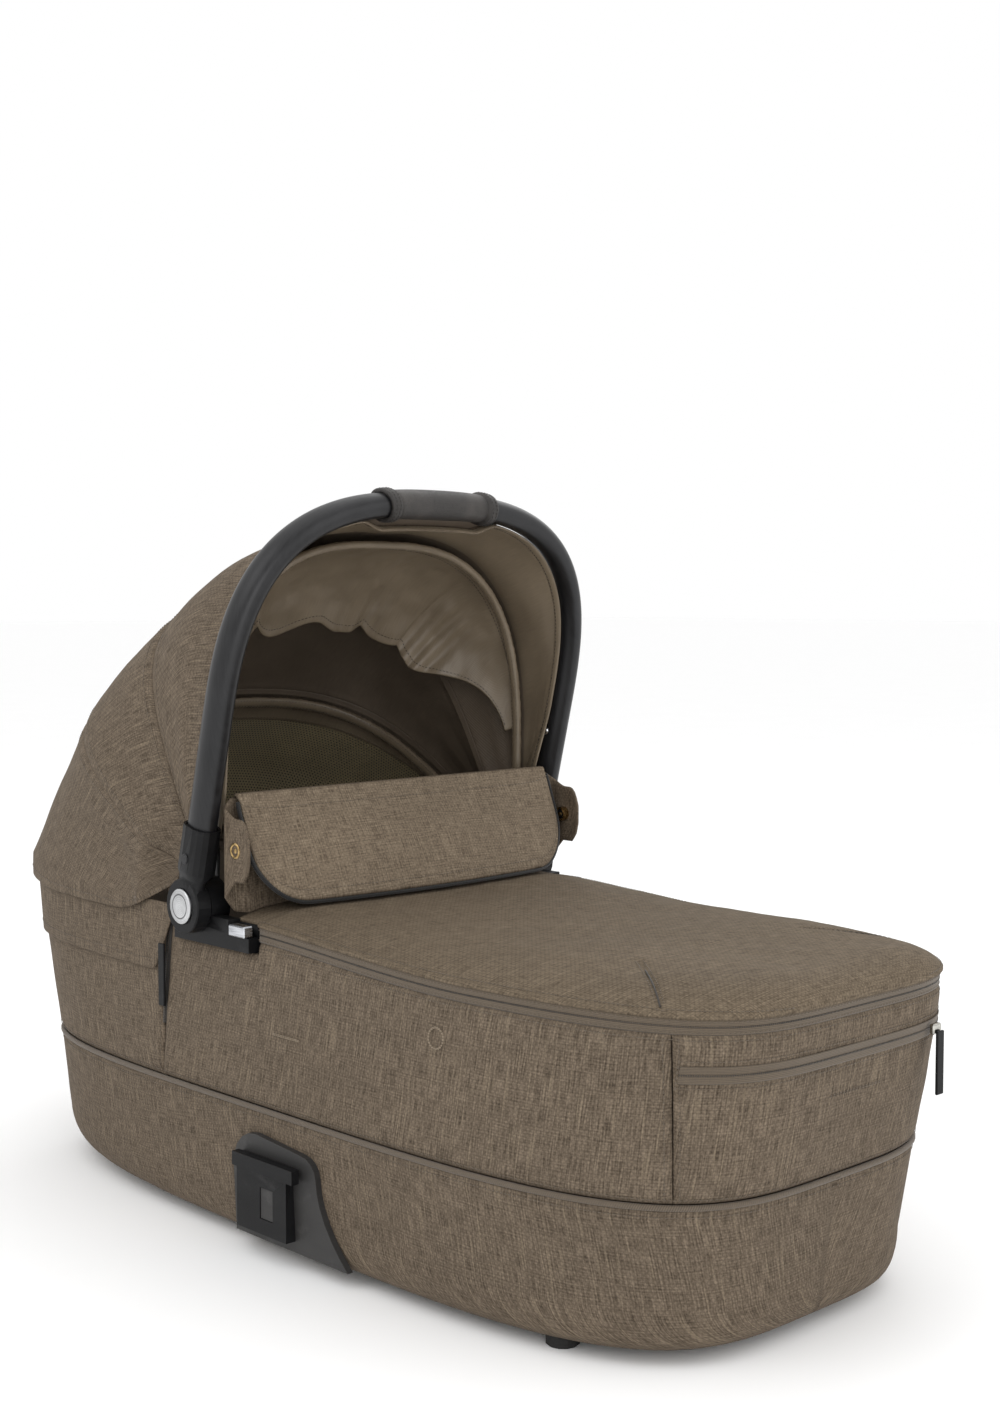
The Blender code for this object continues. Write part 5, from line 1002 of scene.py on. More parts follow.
def recorded(item, nodes):
    if nodes:
        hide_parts(*nodes)
    return item


def replacing(item, body, slotName, *nodes, sheet=None):
    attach(item, body)
    return recorded(item, nodes)


def seamLine(grid, normals, row, trim=0, lift=0.0002):
    # a line for stitches just above a row of a grid, without the given number of points at both ends
    keep = slice(trim, len(grid[row]) - trim)
    return grid[row][keep] + normals[row][keep] * lift, normals[row][keep]


def columnLine(grid, normals, column, trim):
    return seamLine(grid.swapaxes(0, 1), normals.swapaxes(0, 1), column, trim, 0.0003)


def cutSize(grid, held, *resting):
    # the flat size and area that a sheet made from this grid was cut to
    lengths = gridLengths(np.asarray(grid))
    wide, tall = float(np.ptp(lengths[..., 0], axis=1).max()), float(np.ptp(lengths[..., 1], axis=0).max())
    return {"flat": (wide, tall), "held": held, "rests_on": list(resting), "area": min(areaOf(grid), wide * tall)}


def bowlSize(grid, held, *resting):
    # the flat size of a bowl of cloth: its bottom with the walls laid out round it
    grid = np.asarray(grid)
    x, y = grid[0][:, 0], grid[0][:, 1]
    wall = float(gridLengths(grid)[..., 1].max())
    bottom = abs(float(np.sum(x * np.roll(y, -1) - y * np.roll(x, -1)))) / 2
    wide, tall = float(np.ptp(y)) + 2 * wall, float(np.ptp(x)) + 2 * wall
    area = areaOf(np.concatenate([grid, grid[:, :1]], axis=1)) + bottom
    return {"flat": (wide, tall), "held": held, "rests_on": list(resting), "area": min(area, wide * tall)}


def areaOf(grid):
    grid = np.asarray(grid)
    a, b, c, d = grid[:-1, :-1], grid[:-1, 1:], grid[1:, 1:], grid[1:, :-1]
    return float((np.linalg.norm(np.cross(b - a, d - a), axis=2).sum()
                  + np.linalg.norm(np.cross(b - c, d - c), axis=2).sum()) / 2)


def mapFlat(item):
    # a map from above for pieces that have lost theirs
    mesh = item.data
    layer = mesh.uv_layers.get("cloth") or mesh.uv_layers.new(name="cloth")
    points = np.zeros(len(mesh.vertices) * 3, np.float32)
    mesh.vertices.foreach_get("co", points)
    points = points.reshape(-1, 3)
    corners = np.zeros(len(mesh.loops), np.int32)
    mesh.loops.foreach_get("vertex_index", corners)
    over = (points[:, 2:] - points[:, 2].max()) * 0.9
    flat = points[:, :2] - np.clip(points[:, :2] / (0.3, 0.12), -1, 1) * over
    layer.data.foreach_set("uv", flat[corners].astype(np.float32).ravel())


def drawnIn(distance, reach):
    # 1 on a seam, easing to 0 at reach
    return (1 - smoothStep(distance / reach)) ** 1.5


def makeLowerCover():
    c, b = coverLook, bodyShape
    angles = ringAngles(c["columns"])
    rows = [outlineRow("base", angles, -inset, b["underside"] + rise)
            for inset, rise in ((b["corner"], 0.0), *c["baseCorner"])]
    top = b["seamHeight"] - c["pipeSeat"]
    for height in (b["baseHeight"], *c["heights"], top):
        pull = drawnIn(top - height, c["pipeReach"]) * c["pipeDraw"]
        soft = float(smoothStep((height - c["softStart"]) / c["fade"]) * smoothStep((top - height) / c["fade"]))
        row = lowerWall(angles, height)
        outwards = unit(row[:, :2])
        wave = ripple(row, *c["lowerRipple"]) * soft
        row[:, :2] += outwards * (wave - pull)[:, None]
        rows.append(row)
    item = clothSheet("lowerCover", rows, both("woven_fabric", "dark_lining"), b["cover"],
                      (0, 0, 0.06), around=True, cap="first")
    return replacing(item, "body", "woven_fabric", "lower_cover", sheet=bowlSize(rows, "stretched", "base_tray"))


def wallPanel(angles, tops, leaning):
    # the grid of one wall; leaning columns swing with the foot seam
    c = coverLook
    low = c["pipeSeat"] / (bodyShape["rimHeight"] - bodyShape["seamHeight"])
    rows = []
    for level in np.linspace(0, 1, c["rows"]) ** 0.92:
        lean = c["seamLow"] + (1 - c["seamLow"]) * level
        swayed = np.where(leaning > 0, angles * (1 - leaning + leaning * lean), angles)
        rows.append(upperWall(swayed, low + (tops - low) * level))
    return np.array(rows)


def finePanel(name, grid, node, slits=()):
    # slits lists the edges at a slit as (column, way)
    c = coverLook
    for column, way in slits:
        top = len(grid) - 1
        for level in range(len(grid)):
            # the columns beside a slit come along with its edge
            half = c["slitFoot"] + (c["slitTop"] - c["slitFoot"]) * min(1.0, 1.5 * level / top)
            shift = way * half + c["slitPlace"] - grid[level, column, 0]
            inwards = 1 if column == 0 else -1
            for step in range(36):
                grid[level, column + inwards * step, 0] += shift * (1 - step / 36) ** 2
    lengths = gridLengths(grid)
    width = lengths[..., 0]
    fromSide = np.minimum(width - width[:, :1], width[:, -1:] - width)
    up = lengths[..., 1]
    fromEnds = np.minimum(up, up[-1:] - up)
    normals = outwardNormals(grid, cabinMiddle, False)
    near = np.minimum(fromSide, fromEnds)
    pull = drawnIn(near, c["seamReach"]) * c["seamDraw"]
    # small puckers along the seams and broad unevenness between them
    pucker = np.sin(up / c["puckerLength"]) * c["pucker"] * drawnIn(np.abs(fromSide - c["puckerPlace"]), 0.010)
    broad = ripple(grid, *c["wallRipple"]) * smoothStep(near / c["fade"])
    grid = grid + normals * (broad + pucker - pull)[..., None]
    item = clothSheet(name, grid, both("woven_fabric", "dark_lining"), bodyShape["cover"], cabinMiddle)
    replacing(item, "body", "woven_fabric", node, sheet=cutSize(grid, "stretched", "rim_frame"))
    return grid, normals


def spreadAngles(first, last, step=0.0042):
    fine = np.linspace(first, last, 4000)
    x, y = outlinePoint("rim", fine)
    along = runningLength(np.stack([x, y], -1))
    count = max(2, int(along[-1] / step))
    result = np.interp(np.linspace(0, along[-1], count + 1), along, fine)
    result[0], result[-1] = first, last
    return result


def makeBodyPanels():
    c, b = coverLook, bodyShape
    seam, gap = c["footSeam"], c["panelGap"] / b["rim"][2]
    angles = spreadAngles(-seam + gap, seam - gap)
    tops = upperShare(angles, b["zipBand"] + c["clear"])
    foot = finePanel("footPanel", wallPanel(angles, tops, np.ones(len(angles))), "foot_panel")
    sides = {}
    for side, word in bothSides:
        front, back = rimAngleAt(c["saddleFront"]), rimAngleAt(c["saddleBack"])
        slit = rimAngleAt(c["slitPlace"] + c["slitTop"])
        justBack = rimAngleAt(c["saddleBack"] - c["panelGap"])
        justFront = rimAngleAt(c["saddleFront"] + c["panelGap"])
        ahead = spreadAngles(seam + gap, justFront)
        across = spreadAngles(front, back)
        behind = np.linspace(justBack, slit, 8)
        angles = np.concatenate([ahead, across, behind])
        drops = np.concatenate([np.full(len(ahead), b["zipBand"] + c["clear"]),
                                np.full(len(across), rimTop - c["saddleBottom"] + c["clear"]),
                                np.full(len(behind), c["clear"])])
        leaning = np.exp(-((angles - angles[0]) / 0.10) ** 2)
        grid = wallPanel(side * angles, upperShare(angles, drops), leaning)
        sides[side] = finePanel("sidePanel" + word, grid, "side_panel_" + word.lower(), ((-1, 1),))
    start = rimAngleAt(c["slitPlace"] - c["slitTop"])
    angles = spreadAngles(start, 2 * pi - start)
    grid = wallPanel(angles, upperShare(angles, c["clear"]), np.zeros(len(angles)))
    head = finePanel("headPanel", grid, "head_panel", ((0, -1), (-1, -1)))
    return foot, sides, head


makeLowerCover()
footWall, sideWalls, headWall = makeBodyPanels()
print("stage: woven body panels made")

pipeLook = {"radius": 0.0022, "recess": 0.0007, "steps": 300, "stitchAbove": 0.1178, "stitchBelow": 0.1058,
            "stitchLift": 0.000103}
ringTurns = ringAngles(pipeLook["steps"])
pipePath = outlineRow("seam", ringTurns, -pipeLook["recess"], bodyShape["seamHeight"])
seamPiping = sweep("seamPiping", pipePath, ovalSection(pipeLook["radius"], pipeLook["radius"], 10),
                   [finishes["brown_piping"]], (0, 0, 1), closed=True)
replacing(seamPiping, "body", "black_piping", "seam_piping")


def bodyStitches():
    # a line above the piping and one below it
    lines = []
    b = bodyShape
    turns = spreadAngles(0, 2 * pi - 0.001, 0.006)
    above = (pipeLook["stitchAbove"] - b["seamHeight"]) / (b["rimHeight"] - b["seamHeight"])
    for row in (upperWall(turns, above), lowerWall(turns, pipeLook["stitchBelow"])):
        outwards = unit(np.stack([row[:, 0] * 0.4, row[:, 1], 0 * row[:, 0]], -1))
        row[:, :2] *= 1 + pipeLook["stitchLift"] / bodyShape["seam"][2]
        lines.append((row, outwards))
    # both sides of the leaning foot seams and along the slits
    for (grid, normals), columns in ((footWall, (1, -2)), (sideWalls[1], (1,)), (sideWalls[-1], (1,)),
                                     (headWall, (1, -2))):
        lines += [columnLine(grid, normals, column, 1) for column in columns]
    # along the upper edges below the apron's zip
    for grid, normals in (footWall, sideWalls[1], sideWalls[-1]):
        row, ups = seamLine(grid, normals, -2, 0, 0.0003)
        keep = row[:, 0] > 0.004
        lines.append((row[keep], ups[keep]))
    return stitched("bodyStitches", lines, 11)


replacing(bodyStitches(), "body", "woven_fabric")


def wallAt(x, z, side, lift=0.0):
    # the wall's point at a place along the side and a height
    share = (z - bodyShape["seamHeight"]) / (rimHeight(x) - bodyShape["seamHeight"])
    low, high = 0.0, pi
    for _ in range(40):
        angle = (low + high) / 2
        point = upperWall(np.array([side * angle]), np.array([share]), lift)[0]
        low, high = (angle, high) if point[0] > x else (low, angle)
    return point


markLook = {
    "ring": (0.2048, 0.2005), "radii": (0.0076, 0.0069), "ringLift": 0.0022,
    "tack": (0.0253, 0.0554), "tackHeights": (0.1738, 0.1728), "tackLift": 0.0018,
    "stitch": {"Spacing": 0.0021, "Length": 0.0021, "Width": 0.0008, "Height": 0.0006},
}


def makeSideMarks():
    # a stitched ring and a short bar tack on each side
    m = markLook
    lines = []
    for side in (1, -1):
        for radius in m["radii"]:
            ring = [wallAt(m["ring"][0] + radius * cos(a), m["ring"][1] + radius * sin(a), side, m["ringLift"])
                    for a in np.linspace(0, 2 * pi, 44)]
            lines.append((ring, (0, side, 0)))
        for height in m["tackHeights"]:
            tack = [wallAt(x, height, side, m["tackLift"]) for x in np.linspace(*m["tack"], 12)]
            lines.append((tack, (0, side, 0)))
    replacing(stitched("sideMarks", lines, 5, "paleThread", **m["stitch"]), "body", "woven_fabric")


makeSideMarks()

# ---- apron over the foot half

apronShape = {
    "headEdge": -0.035, "thickness": 0.003, "crown": 0.017, "headCrown": 0.0085, "crownLength": 0.30,
    "shoulder": 0.035, "flatness": 6, "bracketEnd": -0.0065, "besideHub": 0.1716, "dartStart": (0.3117, 0.0903),
    "dartEnd": (0.400, 0.161), "dartDepth": 0.0020, "zipLow": 0.0131, "zipHigh": 0.0032, "lip": 0.0022,
    "zipRecess": 0.0012, "tape": 0.0015, "coilDip": 0.0004, "coilSpread": 0.13,
    # the dark cord along each dart's dip is painted shadow
    "dartReach": 0.006, "dartCord": 0.0006, "dartStitch": 0.0026,
    "ripple": (0.075, 0.0010, 5.0), "fineRipple": (0.024, 0.0003, 9.0),
    "fold": {"side": 0.13, "spread": 0.03, "slope": 0.6, "length": 0.009, "height": 0.0006, "front": 0.11,
             "back": -0.03},
}
apronShape["footEdge"] = float(outlinePoint("rim", np.array(radians(3)))[0])


def apronCrown(x, place):
    a = apronShape
    fromFoot = np.clip((a["footEdge"] - x) / a["shoulder"], 0.0, 1.0)
    height = a["headCrown"] + (a["crown"] - a["headCrown"]) * smoothStep(x / a["crownLength"])
    return height * (1 - np.abs(place) ** a["flatness"]) * np.sqrt(fromFoot * (2 - fromFoot))


def lineDistance(x, y, start, end):
    start, end = np.array(start), np.array(end)
    along = end - start
    t = np.clip(((x - start[0]) * along[0] + (y - start[1]) * along[1]) / (along @ along), 0, 1)
    return np.hypot(x - start[0] - along[0] * t, y - start[1] - along[1] * t)


def dartLine(side, shares, aside, limit, sink):
    # a line beside a dart's middle, as far as the cover's edge lets it run
    a = apronShape
    start, end = np.array(a["dartStart"]), np.array(a["dartEnd"])
    across = unit(np.array([start[1] - end[1], end[0] - start[0]]))
    points = []
    for share in shares:
        x, y = start + (end - start) * share + across * aside
        half = float(outlinePoint("rim", np.array(rimAngleAt(x)))[1])
        if y < half * limit:
            points.append((x, side * y, rimHeight(x) + apronCrown(x, y / half) - sink))
    return points


def makeApron():
    a = apronShape
    clear = rimAngleAt(a["bracketEnd"] + 0.0012)
    beside = rimAngleAt(a["bracketEnd"] + 0.0006)
    angles = np.concatenate([spreadAngles(radians(3), clear, 0.0036), [beside],
                             [rimAngleAt(x) for x in np.linspace(-0.010, a["headEdge"], 8)]])
    places = np.sin(np.linspace(-pi / 2, pi / 2, 97) * 0.97) / sin(pi / 2 * 0.97)
    places = places * 0.55 + np.linspace(-1, 1, 97) * 0.45
    rows = []
    for angle in angles:
        x, half = outlinePoint("rim", np.array(angle))
        x, half = float(x), float(half)
        half = min(half, a["besideHub"]) if angle >= beside else half
        y = half * places
        z = rimHeight(x) + apronCrown(x, places)
        rows.append(np.stack([x + 0 * y, y, z], -1))
    grid = np.array(rows)
    x, y = grid[..., 0], grid[..., 1]
    dart = np.minimum(lineDistance(x, np.abs(y), a["dartStart"], a["dartEnd"]), 1)
    edge = 1 - np.abs(places)[None, :]
    inside = smoothStep(edge / 0.10) * smoothStep((grid[..., 0].max() - x) / 0.03)
    grid[..., 2] -= drawnIn(dart, a["dartReach"]) * a["dartDepth"] * smoothStep(edge / 0.03)
    grid[..., 2] += (ripple(grid, *a["ripple"]) + ripple(grid, *a["fineRipple"])) * inside
    # tension folds that run out from the hub brackets
    f = a["fold"]
    pull = np.exp(-((np.abs(y) - f["side"]) / f["spread"]) ** 2) * np.sin((x + np.abs(y) * f["slope"]) / f["length"])
    grid[..., 2] += f["height"] * pull * smoothStep((f["front"] - x) / 0.08) * smoothStep((x - f["back"]) / 0.02)
    # a short lip turns down round the foot and both sides
    lip = np.array([0, 0, a["lip"]])
    edged = np.concatenate([grid[:1] - lip, grid])
    edged = np.concatenate([edged[:, :1] - lip, edged, edged[:, -1:] - lip], axis=1)
    edged[0, [0, -1]] += lip
    item = clothSheet("apronCloth", edged, both("light_fabric", "light_fabric"), a["thickness"], cabinMiddle)
    mapFlat(item)
    replacing(item, "body", "light_fabric", "apron",
              sheet={"flat": (0.358, 0.478), "held": "stretched", "rests_on": ["rim_frame"]})
    normals = outwardNormals(grid, cabinMiddle, False)
    lines = [columnLine(grid, normals, column, 9) for column in (2, -3)]
    for side, word in bothSides:
        # the seam of each dart, as a dark cord sunk in its dip that is painted shadow, with a line of stitches along
        # both sides
        seam = sweep("dartSeam" + word, dartLine(side, np.linspace(0.22, 0.95, 34), 0.0, 0.965, 0.0010),
                     ovalSection(a["dartCord"], a["dartCord"], 6), [finishes["darkThread"]], (0, 0, 1))
        replacing(seam, "body", "black_piping")
    for aside in (a["dartStitch"], -a["dartStitch"]):
        for side in (1, -1):
            lines.append((dartLine(side, np.linspace(0.02, 0.93, 30), aside, 0.95, 0.0002), (0, 0, 1)))
    replacing(stitched("apronStitches", lines, 3), "body", "light_fabric")


def makeApronZip():
    a = apronShape
    start = rimAngleAt(a["bracketEnd"] + 0.0024)
    turns = spreadAngles(-start, start, 0.004)
    low, high = upperShare(turns, a["zipLow"]), upperShare(turns, a["zipHigh"])
    rows = []
    for t in np.linspace(0, 1, 9):
        # two tapes that dip towards the coil between them
        dip = a["coilDip"] * float(np.exp(-((t - 0.5) / a["coilSpread"]) ** 2))
        rows.append(upperWall(turns, low + (high - low) * t, -a["zipRecess"] - dip))
    grid = np.array(rows)
    tape = clothSheet("apronZipTape", grid, both("brown_tape", "brown_tape"), a["tape"], cabinMiddle)
    replacing(tape, "body", "black_tape", "apron_zip")
    normals = outwardNormals(grid, cabinMiddle, False)
    replacing(coiled("apronZipCoil", seamLine(grid, normals, 4), 2), "body", "black_tape")
    lines = [seamLine(grid, normals, row) for row in (1, -2)]
    replacing(stitched("apronZipStitches", lines, 8), "body", "black_tape")


makeApron()
makeApronZip()
print("stage: apron made")

# ---- pocket zip on the foot, side zips

pocketLook = {"level": 0.2020, "half": 0.0055, "reach": radians(35.6), "proud": 0.0010, "tape": 0.0006,
              "stitchHalf": 0.0088, "tack": 0.1738, "tackLift": 0.0006}


def makePocketZip():
    p = pocketLook
    turns = spreadAngles(-p["reach"], p["reach"], 0.004)

    def footRow(angles, z, proud):
        low = bodyShape["seamHeight"]
        return upperWall(np.asarray(angles), (z - low) / (bodyShape["rimHeight"] - low), proud)

    rows = []
    for t in np.linspace(0, 1, 9):
        z = p["level"] - p["half"] + 2 * p["half"] * t
        # welt edges stand a little prouder than the zip between them
        welt = 0.00025 * (abs(t - 0.5) > 0.3)
        rows.append(footRow(turns, z, p["proud"] - 0.0001 + welt))
    grid = np.array(rows)
    tape = clothSheet("pocketZipTape", grid, both("brown_tape", "brown_tape"), p["tape"], cabinMiddle)
    replacing(tape, "body", "black_tape", "pocket_zip")
    normals = outwardNormals(grid, cabinMiddle, False)
    replacing(coiled("pocketZipCoil", seamLine(grid, normals, 4), 2), "body", "black_tape")
    lines = []
    low, high = p["level"] - p["stitchHalf"], p["level"] + p["stitchHalf"]
    for z in (high, low):
        lines.append((footRow(turns, z, 0.0005), normals[4]))
    for end in (0, -1):
        # bar tacks close both ends
        for shift in (0.0, 0.0011):
            x = turns[end] * (1 + 0.012 + shift * 4)
            column = [footRow([x], z, p["tackLift"])[0] for z in np.linspace(low, high, 9)]
            lines.append((column, normals[4][end]))
    for shift in (0.0, 0.0012):
        # a short tack in the middle of the foot below the pocket's end
        lines.append((footRow(np.linspace(-0.02, 0.02, 8), p["tack"] + shift, p["tackLift"]), (1, 0, 0)))
    replacing(stitched("pocketStitches", lines, 9), "body", "woven_fabric")


makePocketZip()

sideZipLook = {"recess": 0.0012, "half": 0.0032, "tape": 0.0012, "low": 0.36, "high": 0.985,
               "teeth": {"Spacing": 0.0014, "Width": 0.0024, "Height": 0.0010, "Sideways": 0.0004}}


def makeSideZips():
    s, c = sideZipLook, coverLook
    for side, word in bothSides:
        middle = rimAngleAt(c["slitPlace"])
        rows, line = [], []
        for share in np.linspace(s["low"] - 0.04, s["high"], 40):
            narrow = c["slitFoot"] / c["slitTop"]
            width = s["half"] * (narrow + (1 - narrow) * min(1.0, 1.5 * share))
            point = upperWall(np.array([middle]), np.array([share]), -s["recess"])[0]
            rows.append([(c["slitPlace"] + way * width, side * point[1], point[2])
                         for way in np.linspace(1, -1, 5)])
            line.append((c["slitPlace"], side * (point[1] + 0.0002), point[2]))
        tape = clothSheet("sideZipTape" + word, rows, both("black_tape", "black_tape"), s["tape"],
                          cabinMiddle)
        replacing(tape, "body", "black_tape", "side_zip_" + word.lower())
        teeth = coiled("sideZipCoil" + word, (line, (0, side, 0)), 4, **s["teeth"])
        replacing(teeth, "body", "black_tape")


makeSideZips()
print("stage: zips made")

# ---- wind guard and its collar

guardShape = {
    "back": 0.044, "top": 0.3458, "half": 0.172, "thickness": 0.0025, "gap": 0.0006, "earSide": 0.180,
    "earTip": 0.008, "earLow": 0.284, "earHigh": 0.331, "rows": 22, "lean": 0.009,
    "ripple": (0.05, 0.0004, 2.0), "rippleHalf": 0.165, "inside": (-0.3, 0.0, 0.31),
}
collarShape = {
    "half": 0.168, "drop": 0.079, "thickness": 0.0035, "gap": 0.0007, "sweep": 0.030, "bulge": 0.016,
    "corner": 0.042, "piping": 0.0017, "puff": 0.0009, "ripple": (0.045, 0.0007, 7.0), "inside": (-0.4, 0.0, 0.30),
}


def makeWindGuard():
    g = guardShape
    corner = 0.5 * (g["earSide"] - g["half"])
    back, lean = -g["back"], g["lean"]
    bottom = rimTop + g["gap"]
    low, high = g["earLow"], g["earHigh"]
    half = [(-g["earTip"], g["earSide"], (low * 2 + high) / 3, (low + high * 2) / 3, 0.0),
            (-g["earTip"] * 1.25, g["earSide"], low * 0.75 + high * 0.25 - 0.005, high * 0.75 + low * 0.25 + 0.005,
             0.0),
            (-g["earTip"] * 1.8, g["earSide"], low, high, 0.0),
            (-(g["earTip"] + g["back"]) / 2, g["earSide"], low, high, 0.0),
            (back + corner, g["earSide"], (bottom + low) / 2, (high + g["top"]) / 2, 0.0),
            (back, g["half"], bottom + 0.00425, g["top"], lean / 2)]
    stations = [(x, -y, a, b, f) for x, y, a, b, f in half]
    for place in np.linspace(-1, 1, 33)[1:-1]:
        crown = float(apronCrown(back, place))
        stations.append((back, g["half"] * place, bottom + crown, g["top"], lean))
    stations += half[::-1]
    stations = np.array(stations)
    length = runningLength(stations[:, :2])
    steps = np.linspace(0, length[-1], 190)
    fine = np.stack([np.interp(steps, length, stations[:, i]) for i in range(5)], -1)
    for _ in range(2):
        # rounds the bends between the stations; both tips stay
        fine[:, [0, 1, 3]] = eased(fine[:, [0, 1, 3]])
    rows = []
    for share in np.linspace(0, 1, g["rows"]):
        rows.append([(x + f * (1 - share), y, a + (b - a) * share) for x, y, a, b, f in fine])
    grid = np.array(rows)
    inner = smoothStep(np.minimum(np.linspace(0, 1, g["rows"]), np.linspace(1, 0, g["rows"]))[:, None] / 0.15)
    grid[..., 0] += ripple(grid, *g["ripple"]) * inner * (np.abs(grid[..., 1]) < g["rippleHalf"])
    item = clothSheet("windGuard", grid, both("woven_fabric", "woven_fabric"), g["thickness"], g["inside"])
    return replacing(item, "body", "woven_fabric", "wind_guard", sheet=cutSize(grid, "stretched", "apronCloth"))


snapLook = {"x": -0.0243, "z": 0.3075, "inner": 0.1740, "outer": 0.1836}


def makeEarSnaps():
    # brass rings and a bright stud, seen from both sides of each ear; the black cup in the groove between them is
    # painted shade
    s = snapLook
    low, high = s["inner"], s["outer"]
    for side, word in bothSides:
        for name, finish, profile, closed, nodes in (
                ("Ring", "snap_brass", ((low + 0.0003, 0.0063), (high - 0.0006, 0.0063), (high - 0.0001, 0.0057),
                                        (high, 0.0050), (high - 0.0005, 0.0041), (low + 0.0007, 0.0041),
                                        (low, 0.0050)), True, ("ear_snap_" + word.lower(),)),
                # the black cup is painted shade in the snap's groove
                ("Cup", "black_plastic", ((low + 0.0010, 0.0040), (high - 0.0013, 0.0040)), False, ()),
                ("Stud", "snap_brass", ((low + 0.0003, 0.0009), (low + 0.0008, 0.0020), (high - 0.0010, 0.0020),
                                        (high - 0.0005, 0.0009)), False, ())):
            item = turned("earSnap" + name + word, profile, [finishes[finish]], s["x"], s["z"], side, 40, closed)
            replacing(item, "body", finish, *nodes)


def collarPoint(place, share, offset=0.0):
    c, g = collarShape, guardShape
    corner = c["corner"] / c["half"]
    cut = max(0.0, (abs(place) - (1 - corner)) / corner)
    drop = c["drop"] - c["corner"] * (1 - sqrt(max(0.0, 1 - cut * cut)))
    top = g["top"] + c["gap"]
    z = top - drop * share
    down = (top - z) / c["drop"]
    bulge = c["bulge"] * (1 - place * place) * sin(pi * 0.5 * down)
    x = -g["back"] + g["thickness"] + c["gap"] + c["thickness"] + c["sweep"] * down + bulge
    return (x + offset, c["half"] * place, z)


def makeCollar():
    c, g = collarShape, guardShape
    places = np.sin(np.linspace(-pi / 2, pi / 2, 121))
    top = g["top"] + c["gap"] + c["thickness"]
    rows = [[(-g["back"], c["half"] * p, top) for p in places]]
    first = np.array([collarPoint(p, 0.0) for p in places])
    for turn in (0.25, 0.5, 0.75):
        # the fold rolls over the guard's upper edge
        rows.append([(x - c["thickness"] * (1 - sin(turn * pi / 2)), y, z + c["thickness"] * cos(turn * pi / 2))
                     for x, y, z in first])
    for share in np.linspace(0, 1, 26):
        rows.append([collarPoint(p, share) for p in places])
    grid = np.array(rows)
    # padded between the fold and the free edge, with soft waves across
    down = np.clip((g["top"] - grid[..., 2]) / c["drop"], 0, 1)
    puff = np.sin(pi * down) * c["puff"] * (1 - np.abs(places)[None, :] ** 8)
    grid[..., 0] += puff + ripple(grid, *c["ripple"]) * np.sin(pi * down)
    # the collar's outer face gets the lighter copy of the apron's cloth, which is painted light
    item = clothSheet("windCollar", grid, both("collar_fabric", "woven_fabric"), c["thickness"], c["inside"])
    replacing(item, "collar", "light_fabric", "wind_guard_collar", sheet=cutSize(grid, "folded", "wind_guard"))
    proud = c["piping"] + 0.0006

    def upright(side, first, last):
        return [np.add(collarPoint(side, share, -c["thickness"] / 2), (0, side * proud, 0))
                for share in np.linspace(first, last, 10)]

    path = upright(-1.0, 0.10, 0.85)
    for place in np.sin(np.linspace(-pi / 2, pi / 2, 91)):
        x, y, z = collarPoint(place, 1.0, -c["thickness"] / 2)
        side = copysign(1.0, place) * max(0.0, (abs(place) - 0.87) / 0.13)
        path.append((x, y + proud * side, z - proud * (1.4 - abs(side))))
    path = np.array(path + upright(1.0, 0.85, 0.10))
    for _ in range(2):
        path = eased(path)
    piping = sweep("collarPiping", path, ovalSection(c["piping"], c["piping"], 10), [finishes["black_piping"]],
                   (1, 0, 0))
    replacing(piping, "collar", "black_piping", "collar_piping")
    normals = outwardNormals(grid, c["inside"], False)
    lines = [seamLine(grid, normals, -3, 3), seamLine(grid, normals, 7, 2)]
    replacing(stitched("collarStitches", lines, 6), "collar", "light_fabric")


makeWindGuard()
makeCollar()
makeEarSnaps()
print("stage: wind guard made")

# ---- inside of the cabin

cabinLook = {
    "lipInset": 0.0061, "liner": 0.005, "topInset": 0.0148, "topDrop": 0.008, "floor": 0.0161,
    "lip": 0.0318, "edge": 0.0161, "tuck": 0.012, "height": 0.045, "voxel": 0.006, "pressure": 4.0, "cap": 0.006,
    "shrink": 0.002, "linerRipple": (0.05, 0.0010, 4.0),
    # the mattress's rings: outline, share of the height and how far it is tucked in
    "rings": (("base", 0.0, 1.0), ("base", 0.12, 0.6), ("knee", 0.40, 0.0), ("knee", 0.62, 0.15), ("knee", 0.84, 1.0),
              ("knee", 0.95, 3.0)),
}


def makeLiner():
    c = cabinLook
    turns = ringAngles(220)
    flat = c["lipInset"] + bodyShape["corner"]
    rows = [outlineRow("base", turns, -flat, c["floor"])]
    low, high = lowerWall(turns, c["lip"], -c["lipInset"]), lowerWall(turns, bodyShape["seamHeight"], -c["topInset"])
    for t in (0.35, 0.7, 1.0):
        rows.append(rows[0] * (1 - t) + low * t)
    for t in np.linspace(0, 1, 14)[1:]:
        rows.append(low * (1 - t) + high * t)
    for t in np.linspace(0, 1, 18)[1:]:
        rows.append(upperWall(turns, t * upperShare(turns, c["topDrop"]), -c["topInset"]))
    grid = np.array(rows)
    away = smoothStep(np.linspace(0, 1, len(grid)) / 0.2) * smoothStep((1 - np.linspace(0, 1, len(grid))) / 0.1)
    inwards = -unit(grid[..., :2])
    grid[..., :2] += inwards * (np.abs(ripple(grid, *c["linerRipple"])) * away[:, None])[..., None]
    item = clothSheet("innerLiner", grid, both("dark_lining", "dark_lining"), c["liner"], (0, 0, 0.15),
                      around=True, cap="first")
    return replacing(item, "body", "dark_lining", "inner_liner", sheet=bowlSize(grid, "hung", "base_tray"))


